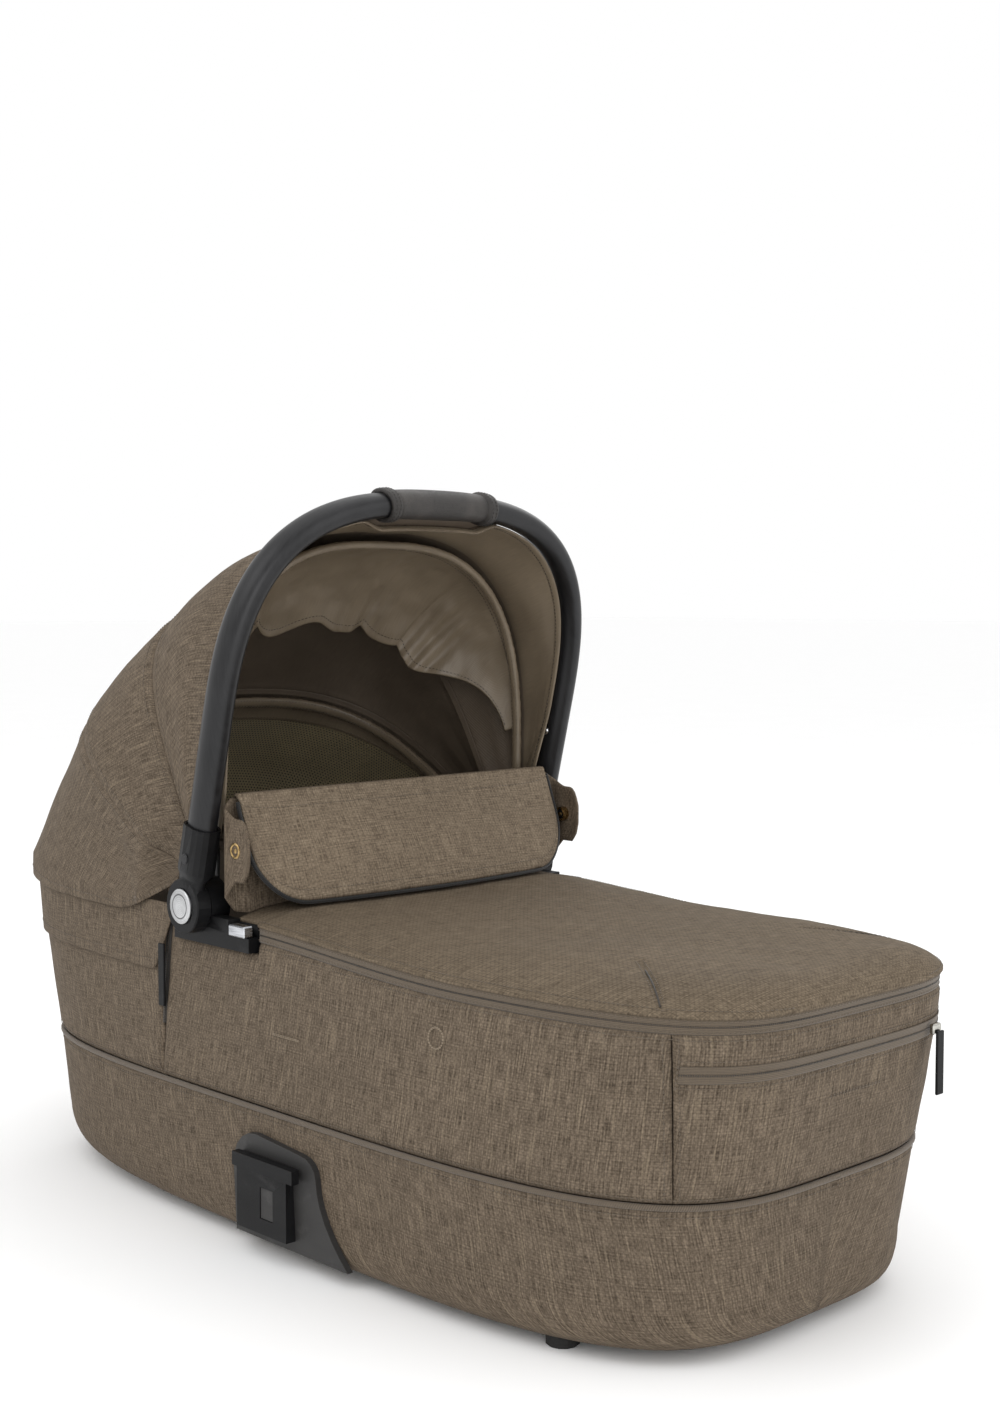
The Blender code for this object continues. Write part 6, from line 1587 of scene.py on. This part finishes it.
def makeMattress():
    c = cabinLook
    turns = ringAngles(200)
    rings = [outlineRow(level, turns, -c["edge"] - c["tuck"] * tuck - c["shrink"], c["floor"] + c["height"] * share)
             for level, share, tuck in c["rings"]]
    rings.append(outlineRow("knee", turns, -c["edge"] - bodyShape["knee"][2] * 0.55, c["floor"] + c["height"] * 0.97))
    count = len(turns)
    faces = [(r * count + i, r * count + (i + 1) % count, (r + 1) * count + (i + 1) % count, (r + 1) * count + i)
             for r in range(len(rings) - 1) for i in range(count)]
    faces += [tuple(reversed(range(count))), tuple((len(rings) - 1) * count + i for i in range(count))]
    item = faceOut(newObject("mattressPad", np.concatenate(rings), faces, [finishes["mattress_fabric"]]))
    item = swollen(item, c["voxel"], c["pressure"], c["cap"], c["floor"], c["floor"] + c["height"])
    mapFlat(item)
    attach(item, "body")
    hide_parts("mattress")


def swollen(item, voxel, pressure, cap, floor, ceiling):
    # cloth under a little pressure swells the pad; no point moves further than cap
    remesh = item.modifiers.new("evenMesh", "REMESH")
    remesh.mode = "VOXEL"
    remesh.voxel_size = voxel
    item = plain(item)
    rest = np.zeros(len(item.data.vertices) * 3)
    item.data.vertices.foreach_get("co", rest)
    cloth = item.modifiers.new("cloth", "CLOTH")
    cloth.settings.use_pressure = True
    cloth.settings.uniform_pressure_force = pressure
    cloth.settings.effector_weights.gravity = 0
    cloth.settings.quality = 4
    cloth.point_cache.frame_start = 1
    cloth.point_cache.frame_end = 20
    scene = bpy.context.scene
    for moment in range(1, 21):
        scene.frame_set(moment)
    moved = np.zeros_like(rest)
    evaluated = item.evaluated_get(bpy.context.evaluated_depsgraph_get())
    evaluated.data.vertices.foreach_get("co", moved)
    scene.frame_set(1)
    item.modifiers.clear()
    rest, moved = rest.reshape(-1, 3), moved.reshape(-1, 3)
    shift = moved - rest
    length = np.linalg.norm(shift, axis=1, keepdims=True)
    shift *= np.minimum(1, cap / np.maximum(length, 1e-9))
    moved = rest + shift
    moved[:, 2] = np.clip(moved[:, 2], floor, ceiling)
    item.data.vertices.foreach_set("co", moved.ravel())
    smooth = item.modifiers.new("finer", "SUBSURF")
    smooth.levels = smooth.render_levels = 1
    return plain(item)


makeLiner()
makeMattress()
print("stage: cabin made")


# ---- hood

hoodLook = {
    "thickness": 0.0015, "seamGap": 0.0008, "arch": 150, "legs": 14, "seamDraw": 0.0016,
    "seamReach": 0.009, "ripple": (0.07, 0.0014), "fineRipple": (0.03, 0.0004),
    # tension folds by the hubs: how high, how many, and where they fade along the sides and from the pivot
    "fold": 0.0009, "folds": 26.0, "foldSide": (0.10, 0.06), "foldReach": (0.12, 0.06),
    "tapeWidth": 0.006, "tapeDepth": 0.0012, "tape": 0.0006,
    # the last two are the depth and radius of the dark cord sunk in each seam, which is painted shadow
    "cordDepth": 0.0016, "cord": 0.0006,
}
hoodMiddle = aroundPivot(handleShape["angle"] + 45, hoodShape["start"], 0.0)
turnsOfHood = hoodTurns(hoodLook["arch"], hoodLook["legs"])
overArch = np.clip(np.sin(np.clip(turnsOfHood, 0, pi)), 0, 1) * ((turnsOfHood >= 0) & (turnsOfHood <= pi))


def bending(item, slotName, *nodes, sheet=None):
    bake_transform(item)
    return recorded(item, nodes)


def slotDip(y):
    # how far the front edge lies below the handle, so that a slot shows under the grip
    s = hoodShape
    return s["slotDepth"] * float(smoothStep((s["slotHalf"] + s["slotRamp"] - abs(y)) / s["slotRamp"]))


def frontEdge(turns):
    # the front edge follows the inner face of the handle and dips under the grip
    h, s = handleShape, hoodShape
    gap = s["frontGap"]
    side, leg = h["side"] - gap, h["legShare"] * h["reach"]
    # the handle's middle line, moved in by the same distance everywhere
    fine = np.linspace(0, pi, 2001)
    across = h["side"] * power(np.cos(fine), 2 / h["roundness"])
    upward = leg + (h["reach"] - leg) * np.abs(np.sin(fine)) ** (2 / h["roundness"])
    slopeY, slopeUp = np.gradient(across), np.gradient(upward)
    steep = np.maximum(np.hypot(slopeY, slopeUp), 1e-12)
    insideY, insideUp = across - gap * slopeUp / steep, upward + gap * slopeY / steep
    row = []
    for turn in turns:
        if 0 <= turn <= pi:
            y, rise = float(np.interp(turn, fine, insideY)), float(np.interp(turn, fine, insideUp))
            row.append(aroundPivot(h["angle"], rise - slotDip(y), y))
        else:
            share = -turn if turn < 0 else turn - pi
            y = side if turn < 0 else -side
            narrow = (side - s["hubSide"]) * float(smoothStep(share * 1.5))
            row.append(aroundPivot(h["angle"], leg + (s["start"] - leg) * share, y - copysign(narrow, y)))
    return np.array(row)


def seamShift(row, way):
    # moves a row half a seam gap back from the seam
    return swung(row, way * hoodLook["seamGap"] / 2 / np.maximum(pivotDistance(row), 0.02))


def frontGrid():
    s = hoodShape
    edge = frontEdge(turnsOfHood)
    rows = [edge]
    for angle in np.linspace(handleShape["angle"], s["bowAngle"], 11)[1:]:
        t = (angle - handleShape["angle"]) / (s["bowAngle"] - handleShape["angle"])
        share = 1 - (1 - t) ** 2
        moved = swung(edge, radians(angle - handleShape["angle"]))
        rows.append(moved * (1 - share) + hoodRow(angle, turnsOfHood) * share)
    for angle in np.linspace(s["bowAngle"], s["frontSeam"], 24)[1:-1]:
        rows.append(hoodRow(angle, turnsOfHood))
    rows.append(seamShift(hoodRow(s["frontSeam"], turnsOfHood), -1))
    return np.array(rows)


def middleGrid():
    s = hoodShape
    rows = [seamShift(hoodRow(s["frontSeam"], turnsOfHood), 1)]
    rows += [hoodRow(angle, turnsOfHood) for angle in np.linspace(s["frontSeam"], s["rearSeam"], 22)[1:-1]]
    rows.append(seamShift(hoodRow(s["rearSeam"], turnsOfHood), -1))
    return np.array(rows)


def rearGrid():
    s = hoodShape
    first = seamShift(hoodRow(s["rearSeam"], turnsOfHood, 0.0, s["rearStart"]), 1)
    last = hemRow(turnsOfHood)
    rows = [first]
    for share in np.concatenate([np.linspace(0, s["bandShare"], 26)[1:], np.linspace(s["bandShare"], 1, 6)[1:]]):
        inward = max(0.0, 1 - share / s["bandShare"])
        place = first * inward + last * (1 - inward)
        place[:, 2] = first[:, 2] + (last[:, 2] - first[:, 2]) * share
        out = unit((place - pivotPoint) * [1, 0, 1])
        rows.append(place + out * (4 * s["rearBulge"] * overArch * inward * (1 - inward))[:, None])
    return np.array(rows)


def shapedHood(grid, ends, seed):
    # draws the cloth in along its seams and lets it ripple between them; ends says which ends are seams
    lengths = gridLengths(grid)[..., 1]
    first, last = lengths, lengths[-1:] - lengths
    normals = outwardNormals(grid, hoodMiddle, False)
    near = np.full(lengths.shape, 1.0)
    pull = np.zeros(lengths.shape)
    for flag, distance in zip(ends, (first, last)):
        near = np.minimum(near, distance)
        if flag:
            pull += drawnIn(distance, hoodLook["seamReach"]) * hoodLook["seamDraw"]
    free = smoothStep(near / 0.03)
    reach = pivotDistance(grid)
    free = free * smoothStep((reach - 0.05) / 0.06)
    wave = ripple(grid, *hoodLook["ripple"], seed) + ripple(grid, *hoodLook["fineRipple"], seed + 5)
    shape = wave * free - pull * smoothStep((reach - 0.04) / 0.03) + hubFolds(grid, reach) * free
    return grid + normals * shape[..., None]


def hubFolds(grid, reach):
    # tension folds that fan out from the pivots up the sides
    angle = np.arctan2(grid[..., 2] - bodyShape["pivotZ"], grid[..., 0] - bodyShape["pivotX"])
    sideStart, sideLength = hoodLook["foldSide"]
    middle, spread = hoodLook["foldReach"]
    side = smoothStep((np.abs(grid[..., 1]) - sideStart) / sideLength)
    fade = np.exp(-((reach - middle) / spread) ** 2)
    return np.sin(angle * hoodLook["folds"]) * hoodLook["fold"] * fade * side


def makeHood():
    made = []
    for name, grid, ends, seed, lining, flat, resting in (
            ("Front", frontGrid(), (False, True), 1.0, "satin", (0.86, 0.235), ["front_bow", "handle_tube"]),
            ("Middle", middleGrid(), (True, True), 2.0, "dark_lining", (0.86, 0.16), ["rear_bow"]),
            ("Rear", rearGrid(), (True, False), 3.0, "dark_lining", (1.05, 0.26), ["rear_bow", "rim_frame"])):
        grid = shapedHood(grid, ends, seed)
        item = clothSheet("canopy" + name, grid, both("woven_fabric", lining), hoodLook["thickness"], hoodMiddle)
        if name == "Front":
            # behind the bow the lining changes from satin to the dark cloth of the other panels
            item.data.materials.append(finishes["dark_lining"])
            for face in item.data.polygons:
                turn = atan2(face.center.z - bodyShape["pivotZ"], face.center.x - bodyShape["pivotX"])
                if face.material_index == 1 and turn > radians(hoodShape["bowAngle"] + 1.5):
                    face.material_index = 2
        bending(item, "woven_fabric", "canopy_" + name.lower(),
                sheet={"flat": flat, "held": "stretched", "rests_on": resting, "area": areaOf(grid)})
        made.append(grid)
    return made


hoodFront, hoodMiddlePanel, hoodRear = makeHood()
print("stage: hood panels made")


def makeSeamTapes():
    # tapes inside cover both seams, and outside a dark cord sunk in each seam's dip is painted shadow along the seam
    look = hoodLook
    for name, low, high in (("seamTapeFront", hoodFront, hoodMiddlePanel), ("seamTapeRear", hoodMiddlePanel, hoodRear)):
        keep = slice(8, -8)
        line = ((low[-1] + high[0]) / 2)[keep]
        normals = outwardNormals(low, hoodMiddle, False)[-1][keep]
        across = np.cross(unit(np.gradient(line, axis=0)), normals)
        half, depth = look["tapeWidth"] / 2, look["thickness"] + look["tapeDepth"]
        rows = [line + across * half * t - normals * (depth + 0.0001 * t * t) for t in np.linspace(-1, 1, 7)]
        tape = clothSheet(name, rows, both("dark_lining", "dark_lining"), look["tape"], hoodMiddle)
        bending(tape, "dark_lining")
        # the dark cord is painted shadow in the seam's dip
        cord = sweep(name.replace("Tape", "Cord"), line - normals * look["cordDepth"],
                     ovalSection(look["cord"], look["cord"], 6), [finishes["darkThread"]], normals)
        bending(cord, "black_piping")


makeSeamTapes()


def makeHoodStitches():
    lines = []
    for grid, row, trim in ((hoodFront, -3, 9), (hoodMiddlePanel, 2, 9), (hoodMiddlePanel, -3, 9), (hoodRear, 2, 9),
                            (hoodRear, -3, 3)):
        lines.append(seamLine(grid, outwardNormals(grid, hoodMiddle, False), row, trim))
    return bending(stitched("hoodStitches", lines, 21), "woven_fabric")


makeHoodStitches()


bindingLook = {"inset": 0.0030, "wide": 0.0034, "tall": 0.00125, "stitchInset": 0.0052, "stitchDepth": 0.0007}


def makeFrontBinding():
    # satin binding rolled round the front edge, which shows as a slot edge under the grip
    b, t = bindingLook, hoodLook["thickness"]
    keep = slice(3, -3)
    edge = hoodFront[0][keep]
    inward = unit(hoodFront[1][keep] - edge)
    normals = outwardNormals(hoodFront, hoodMiddle, False)[0][keep]
    middle = edge + inward * b["inset"] - normals * t / 2
    section = ovalSection(b["wide"], b["tall"], 14, 2.4)
    binding = sweep("frontBinding", middle, section, [finishes["satin"]], inward)
    bending(binding, "dark_lining")
    line = edge + inward * b["stitchInset"] - normals * (t + b["stitchDepth"])
    bending(stitched("bindingStitches", [(line, -normals)], 31, "darkThread"), "dark_lining")


makeFrontBinding()


backingLook = {"half": 0.078, "top": 0.0098, "drop": 0.0012, "angle": 1.0, "lean": 1.2, "thickness": 0.0010}


def makeSlotBacking():
    # dark cloth behind the slot under the grip, from the handle down to the hood
    h, b = handleShape, backingLook
    rows = []
    for share in np.linspace(0, 1, 12):
        row = []
        for y in np.linspace(-b["half"], b["half"], 61):
            turn = np.arccos(np.clip(np.sign(y) * (abs(y) / h["side"]) ** (h["roundness"] / 2), -1, 1))
            top = h["legShare"] * h["reach"] + h["reach"] * (1 - h["legShare"]) * sin(turn) ** (2 / h["roundness"])
            reach = top - b["top"] - (b["drop"] + slotDip(y)) * share
            row.append(aroundPivot(h["angle"] + b["angle"] + b["lean"] * share, reach, y))
        rows.append(row)
    item = clothSheet("slotBacking", rows, both("dark_lining", "dark_lining"), b["thickness"], hoodMiddle)
    bending(item, "dark_lining", sheet=cutSize(rows, "stretched", "handle_tube"))


makeSlotBacking()


skirtLook = {"front": -0.111, "ease": 0.040, "low": 0.200, "above": 0.001, "proud": 0.0021, "flare": 0.0018,
             "thickness": 0.0015, "ripple": (0.05, 0.0008, 6.0)}


def makeSkirt():
    # the flap behind the hem, outside the head panel
    k = skirtLook
    start = rimAngleAt(k["front"])
    turns = spreadAngles(start, 2 * pi - start, 0.0036)
    wall = rimTop - bodyShape["seamHeight"]
    topShare, lowShare = 1 + k["above"] / wall, (k["low"] - bodyShape["seamHeight"]) / wall
    x = outlinePoint("rim", turns)[0]
    ahead = smoothStep((x - k["front"] + k["ease"]) / k["ease"])
    low = lowShare + (topShare - lowShare) * 0.92 * ahead
    rows = []
    for level in np.linspace(0, 1, 16):
        row = upperWall(turns, topShare + (low - topShare) * level, k["proud"])
        wave = np.abs(ripple(row, *k["ripple"])) * level
        row[:, :2] += unit(row[:, :2]) * ((k["flare"] * level ** 2 + wave) * (1 - ahead))[:, None]
        rows.append(row)
    grid = np.array(rows)
    item = clothSheet("canopySkirt", grid, both("woven_fabric", "dark_lining"), k["thickness"], cabinMiddle)
    replacing(item, "body", "woven_fabric", "canopy_skirt",
              sheet={"flat": (0.83, 0.056), "held": "hung", "rests_on": ["head_panel"], "area": areaOf(grid)})
    normals = outwardNormals(grid, cabinMiddle, False)
    replacing(stitched("skirtStitches", [seamLine(grid, normals, -3, 6)], 17), "body", "woven_fabric")


makeSkirt()


gussetLook = {"side": 0.1682, "wave": 0.0004, "front": -0.1080, "back": -0.1380, "low": 0.2500, "tall": 0.0310,
              "slope": 0.5, "thickness": 0.0012}


def makeHubGussets():
    # cloth that closes the corner between hood, rim and hub bracket
    g = gussetLook
    for side, word in bothSides:
        rows = []
        for level in np.linspace(0, 1, 13):
            rows.append([(x, side * (g["side"] + g["wave"] * sin(x * 260 + level)),
                          g["low"] + level * (g["tall"] + g["slope"] * (g["front"] - x)))
                         for x in np.linspace(g["front"], g["back"], 16)])
        grid = np.array(rows)
        item = clothSheet("hubGusset" + word, grid, both("woven_fabric", "woven_fabric"), g["thickness"],
                          cabinMiddle)
        replacing(item, "body", "woven_fabric", sheet=cutSize(grid, "stretched", "rim_frame"))


makeHubGussets()

# ---- inside of the hood

drapeLook = {
    "start": 89.2, "end": 113.0, "inset": 0.012, "drop": 0.034, "thickness": 0.0013, "depth": 0.0066, "taper": 0.24,
    "hangs": 0.105, "belly": 0.003, "fold": 0.0016, "folds": 34, "ripple": (0.032, 0.0018, 8.0),
    # each pleat: its place over the arch, how wide it is and how far it draws the free edge back, in degrees
    "pleats": ((0.30, 0.040, 0.8), (0.42, 0.030, 1.6), (0.50, 0.018, 2.6), (0.60, 0.020, 3.4), (0.70, 0.016, 2.4),
               (0.79, 0.03, 1.2)),
}


def makeDrape():
    d = drapeLook
    turns = np.linspace(0.03 * pi, 0.97 * pi, 281)
    wide = 0.12 + 0.88 * smoothStep(np.minimum(turns, pi - turns) / (d["taper"] * pi))
    rows = []
    pleat, drawn = np.zeros(len(turns)), np.zeros(len(turns))
    for place, width, back in d["pleats"]:
        away = (turns / pi - place) / width
        pleat += np.exp(-np.abs(away) ** 1.3) * np.where(away < 0, 1.0, 0.8)
        drawn += back * np.exp(-np.abs(away / 0.8) ** 1.2)
    for share in np.linspace(0, 1, 40):
        row = []
        belly = sin(pi * share ** 1.2)
        for turn, fold, back, reaching in zip(turns, pleat, drawn, wide):
            # the cloth puffs out between its pleats, which start narrow at the bow
            angle = d["start"] + (d["end"] - back - d["start"]) * share * reaching
            reach, half, roundness = hoodSection(angle)
            puff = (d["depth"] * (0.5 - fold) * share ** 1.5 + d["belly"] * belly * (1 - fold)) * reaching
            inset = d["inset"] + d["drop"] * share * share * reaching + puff
            row.append(hoodPointAt(angle, turn, reach - inset, half - inset, roundness))
        rows.append(row)
    grid = np.array(rows)
    fade = smoothStep(np.linspace(0, 1, 40) / 0.15)[:, None]
    # folds that run from the bow to the free edge
    down = np.linspace(0, 1, 40)[:, None]
    folds = d["fold"] * np.sin(turns * d["folds"] + 1.7 * np.sin(turns * 9.0) + 1.2 * down) * down ** 0.7 * wide
    grid += outwardNormals(grid, hoodMiddle, False) * ((ripple(grid, *d["ripple"]) + folds) * fade)[..., None]
    item = clothSheet("canopyDrape", grid, both("satin", "satin"), d["thickness"], hoodMiddle, hem=0.9)
    bending(item, "dark_lining", "canopy_drape",
            sheet={"flat": (areaOf(grid) / d["hangs"], d["hangs"]), "held": "gathered", "rests_on": ["front_bow"]})
    normals = outwardNormals(grid, hoodMiddle, False)
    lines = [seamLine(grid, -normals, row, 2, d["thickness"] + 0.0002) for row in (-3, 2)]
    bending(stitched("drapeStitches", lines, 12, "darkThread"), "dark_lining")


makeDrape()


windowLook = {"start": 150.0, "end": 177.0, "inset": 0.0089, "sag": 0.0008, "thickness": 0.0010, "height": 0.15,
              "tapeDepth": 0.0016, "tapeThickness": 0.0008, "stitchDepth": 0.0026}


def makeMeshWindow():
    w = windowLook
    turns = np.linspace(0.02 * pi, 0.98 * pi, 150)
    rows = []
    for angle in np.linspace(w["start"], w["end"], 22):
        reach, half, roundness = hoodSection(angle)
        inset = w["inset"] + w["sag"] * sin(pi * (angle - w["start"]) / (w["end"] - w["start"]))
        rows.append([hoodPointAt(angle, turn, reach - inset, half - inset, roundness) for turn in turns])
    grid = np.array(rows)
    item = clothSheet("meshWindow", grid, both("mesh", "mesh"), w["thickness"], hoodMiddle)
    bending(item, "mesh", "mesh_window",
            sheet={"flat": (areaOf(grid) / w["height"], w["height"]), "held": "stretched",
                   "rests_on": ["canopy_rear"]})
    normals = outwardNormals(grid, hoodMiddle, False)
    # double-stitched tapes along both long edges
    lines = []
    for first, step, name in ((0, 3, "windowTapeUpper"), (-1, -3, "windowTapeLower")):
        rows = []
        for t in np.linspace(0, 1, 7):
            place = grid[first] * (1 - t) + grid[first + step] * t
            rows.append(place - normals[first] * w["tapeDepth"])
        tape = clothSheet(name, rows, both("satin", "satin"), w["tapeThickness"], hoodMiddle)
        bending(tape, "dark_lining")
        for t in (0.16, 0.84):
            place = grid[first] * (1 - t) + grid[first + step] * t
            lines.append((place - normals[first] * w["stitchDepth"], -normals[first]))
    bending(stitched("windowStitches", lines, 14), "dark_lining")


makeMeshWindow()

bowLook = {
    # each sleeve: angle, inset from the hood, radius along the hood and across it
    "front": (hoodShape["bowAngle"], 0.013, 0.0044, 0.0034),
    "rear": (hoodShape["rearSeam"], 0.022, 0.0048, 0.0032),
}


def makeBowSleeves():
    for word, (angle, inset, radius, flat) in bowLook.items():
        name, body = word + "BowSleeve", word + "_bow_body"
        reach, half, roundness = hoodSection(angle)
        turns = np.linspace(0, pi, 241)
        path = np.array([hoodPointAt(angle, turn, reach - inset, half - inset, roundness) for turn in turns])
        forward = headingAt(angle - 90)
        wave = 1 + 0.05 * np.sin(np.arange(241) * 1.9) + 0.03 * np.sin(np.arange(241) * 0.63)
        sleeve = sweep(name, path, ovalSection(radius, flat, 16, 2.2), [finishes["satin"]], forward, grow=wave)
        replacing(sleeve, body, "dark_lining")
        inwards = unit(np.cross(np.gradient(path, axis=0), forward))
        if np.sum(inwards * (path - hoodMiddle)) > 0:
            inwards = -inwards
        lines = [(path[4:-4] + inwards[4:-4] * (flat * 0.86) + forward * shift * radius, inwards[4:-4])
                 for shift in (-0.62, 0.62)]
        replacing(stitched(name.replace("Sleeve", "Stitches"), lines, 23), body, "dark_lining")


makeBowSleeves()
print("stage: hood made")

# ---- carrying handle

gripLook = {"skin": 0.0006, "leather": 0.0010, "band": 0.0020, "ramp": 0.0008, "groove": 0.0005, "groovePlace": 0.0016,
            "endDrop": 0.0010, "endRamp": 0.0012, "pad": 0.0004, "seamHalf": 0.0016, "ringInsets": (0.0026, 0.0066),
            "stitch": {"Spacing": 0.0032, "Length": 0.0024, "Width": 0.0006, "Height": 0.0006}}
forwardOfHandle = headingAt(handleShape["angle"] - 90)


def handleLine(count=220):
    h = handleShape
    legs = [aroundPivot(h["angle"], reach, h["side"])
            for reach in np.linspace(h["start"], h["reach"] * h["legShare"], 16)[:-1]]
    fine = np.linspace(0, pi / 2, 6000)
    points = archPoint(h["angle"], fine, h["reach"], h["side"], h["roundness"], h["legShare"])
    along = runningLength(points)
    turns = np.interp(np.linspace(0, along[-1], count // 2), along, fine)
    turns[-1] = pi / 2
    half = np.array(legs + [archPoint(h["angle"], t, h["reach"], h["side"], h["roundness"], h["legShare"])
                            for t in turns])
    other = half[:-1][::-1] * [1, -1, 1]
    return np.concatenate([half, other])


def makeHandle():
    h, g = handleShape, gripLook
    path = handleLine()
    section = ovalSection(h["wide"], h["tall"], 40, h["oval"])
    tube = sweep("handleTube", path, section, [finishes["charcoal_tube"]], forwardOfHandle, ends="flat")
    replacing(tube, "handle", "charcoal_tube", "handle_tube")
    ys = np.linspace(h["gripHalf"], -h["gripHalf"], 97)
    order = [i for i in np.argsort(path[:, 1]) if path[i, 2] > 0.5]
    line = np.stack([np.interp(ys, path[order, 1], path[order, i]) for i in range(3)], -1)
    line[:, 1] = ys
    inside = h["gripHalf"] - h["bandWidth"]
    away = np.abs(ys)
    cover = g["skin"] + g["leather"]
    # raised end bands with a shallow groove beside each
    grow = cover + g["band"] * smoothStep((away - inside) / g["ramp"] + 0.5)
    grow -= g["groove"] * np.exp(-((away - inside + g["groovePlace"]) / g["ramp"]) ** 2)
    grow -= g["endDrop"] * smoothStep((away - h["gripHalf"]) / g["endRamp"] + 1)
    pad = g["pad"] * np.cos(ys / inside * pi / 2) * (away < inside)
    grow = grow + np.maximum(pad, 0)
    rings = []
    along = unit(np.gradient(line, axis=0))
    across = unit(np.cross(along, forwardOfHandle))
    up = np.cross(across, along)
    for point, a, u, more in zip(line, across, up, grow):
        ring = ovalSection(h["wide"] + more, h["tall"] + more, 48, h["oval"])
        rings.append([point + a * s + u * t for s, t in ring])
    for end, way in ((0, -1), (-1, 1)):
        ring = ovalSection(h["wide"] + 0.0002, h["tall"] + 0.0002, 48, h["oval"])
        closing = [line[end] + across[end] * s + up[end] * t for s, t in ring]
        rings = [closing] + rings if way < 0 else rings + [closing]
    count = 48
    faces = [(r * count + i, (r + 1) * count + i, (r + 1) * count + (i + 1) % count, r * count + (i + 1) % count)
             for r in range(len(rings)) for i in range(count)]
    total = len(rings)
    faces = [tuple(v % (total * count) for v in face) for face in faces]
    grip = faceOut(newObject("gripCover", np.concatenate(rings), faces, [finishes["grip_leather"]]))
    replacing(grip, "handle", "grip_leather", "grip_cover")
    # seam along the inner face of the grip, and stitches on both end bands
    lines = []
    for shift in (-g["seamHalf"], g["seamHalf"]):
        seam = line[12:-12]
        inner = seam - outDirection(seam) * (h["tall"] + cover + 0.0002) + forwardOfHandle * shift
        lines.append((inner, -outDirection(seam)))
    for place in (h["gripHalf"] - inset for inset in g["ringInsets"]):
        for side in (1, -1):
            centre = np.array([np.interp(side * place, ys[::-1], line[::-1, i]) for i in range(3)])
            out = outDirection(centre[None])[0]
            size = cover + g["band"] + 0.0001
            ring, ups = [], []
            for a in np.linspace(0, 2 * pi, 60):
                s = (h["tall"] + size) * float(power(sin(a), 2 / h["oval"]))
                t = (h["wide"] + size) * float(power(cos(a), 2 / h["oval"]))
                ring.append(centre + out * s + forwardOfHandle * t)
                direction = out * sin(a) + forwardOfHandle * cos(a)
                ups.append(unit(direction))
            lines.append((ring, np.array(ups)))
    replacing(stitched("gripStitches", lines, 41, "darkThread", **g["stitch"]), "handle", "grip_leather")


def outDirection(points):
    out = headingAt(handleShape["angle"])
    return np.broadcast_to(out, np.asarray(points).shape)


makeHandle()

# ---- camera, light and floor

viewLook = {
    "focus": 1874.4, "yaw": 0.8083, "pitch": 0.0606, "place": (1.1563, -1.0276, 0.505),
    "world": 1.0, "floor": 30.0, "target": (0, 0, 0.25),
    # each lamp: strength, size, and its place from the target as right, ahead and up
    "lamps": {"key": (13.0, 1.8, -1.7, -1.2, 1.9), "fill": (13.0, 2.4, 2.2, -1.0, 1.1),
              "back": (6.0, 1.6, 0.8, 2.2, 1.7), "front": (10.0, 1.2, 0.2, -2.3, 0.55),
              "top": (6.0, 2.2, 0.0, 0.0, 2.6)},
}


def makeStudio():
    v = viewLook
    camera = bpy.data.cameras.new("photoView")
    camera.sensor_width = 36
    camera.lens = 36 * v["focus"] / 1417
    camera.clip_start, camera.clip_end = 0.05, 50
    eye = bpy.data.objects.new("photoView", camera)
    forward = Vector((-sin(v["yaw"]) * cos(v["pitch"]), cos(v["yaw"]) * cos(v["pitch"]), -sin(v["pitch"])))
    eye.rotation_euler = forward.to_track_quat("-Z", "Y").to_euler()
    eye.location = v["place"]
    bpy.context.scene.collection.objects.link(eye)
    bpy.context.scene.camera = eye

    size = v["floor"]
    floor = newObject("studioFloor", [(-size, -size, 0), (size, -size, 0), (size, size, 0), (-size, size, 0)],
                      [(0, 1, 2, 3)], [floorFinish()], smooth=False)

    right = Vector((cos(v["yaw"]), sin(v["yaw"]), 0))
    ahead = Vector((-sin(v["yaw"]), cos(v["yaw"]), 0))
    target = Vector(v["target"])
    for name, (strength, size, sideways, onwards, above) in v["lamps"].items():
        place = target + right * sideways + ahead * onwards + Vector((0, 0, above))
        light = bpy.data.lights.new(name, "AREA")
        light.energy = strength
        light.size = size
        lamp = bpy.data.objects.new(name, light)
        lamp.location = place
        lamp.rotation_euler = (target - place).to_track_quat("-Z", "Y").to_euler()
        bpy.context.scene.collection.objects.link(lamp)
    bpy.context.scene.view_settings.view_transform = "Standard"
    world = bpy.data.worlds.new("studio")
    world.use_nodes = True
    world.node_tree.nodes["Background"].inputs[0].default_value = (1, 1, 1, 1)
    world.node_tree.nodes["Background"].inputs[1].default_value = v["world"]
    bpy.context.scene.world = world


makeStudio()
print("stage: studio made")

hardwareLook = {"join": 0.00002, "sharp": 21, "press": 0.0032}


def makeHardware():
    # each hard part that shows gets a merged, smoothly shaded copy
    slots = {part["node"]: part["material_slot"] for part in frame["record"]["subparts"]}
    for body, members in frame["record"]["behaviour"]["bodies"].items():
        for node in members:
            source = frame["nodes"][node]
            if source.hide_render:
                continue
            shape = bmesh.new()
            shape.from_mesh(source.data)
            bmesh.ops.remove_doubles(shape, verts=shape.verts, dist=hardwareLook["join"])
            mesh = source.data.copy()
            shape.to_mesh(mesh)
            shape.free()
            words = node.split("_")
            copy = bpy.data.objects.new("shown" + "".join(word.capitalize() for word in words), mesh)
            bpy.context.scene.collection.objects.link(copy)
            mesh.shade_smooth()
            mesh.set_sharp_from_angle(angle=radians(hardwareLook["sharp"]))
            replacing(copy, body, slots[node], node)
            if node.startswith("socket_screw"):
                # the screws in the sockets get the dark tube finish
                mesh.materials.clear()
                mesh.materials.append(finishes["charcoal_tube"])
            if words[1] == "spring":
                # each spring gets a mesh of its own
                "button_" + words[2] + "_press"
                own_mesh(copy)


makeHardware()
print("stage: hardware shown")
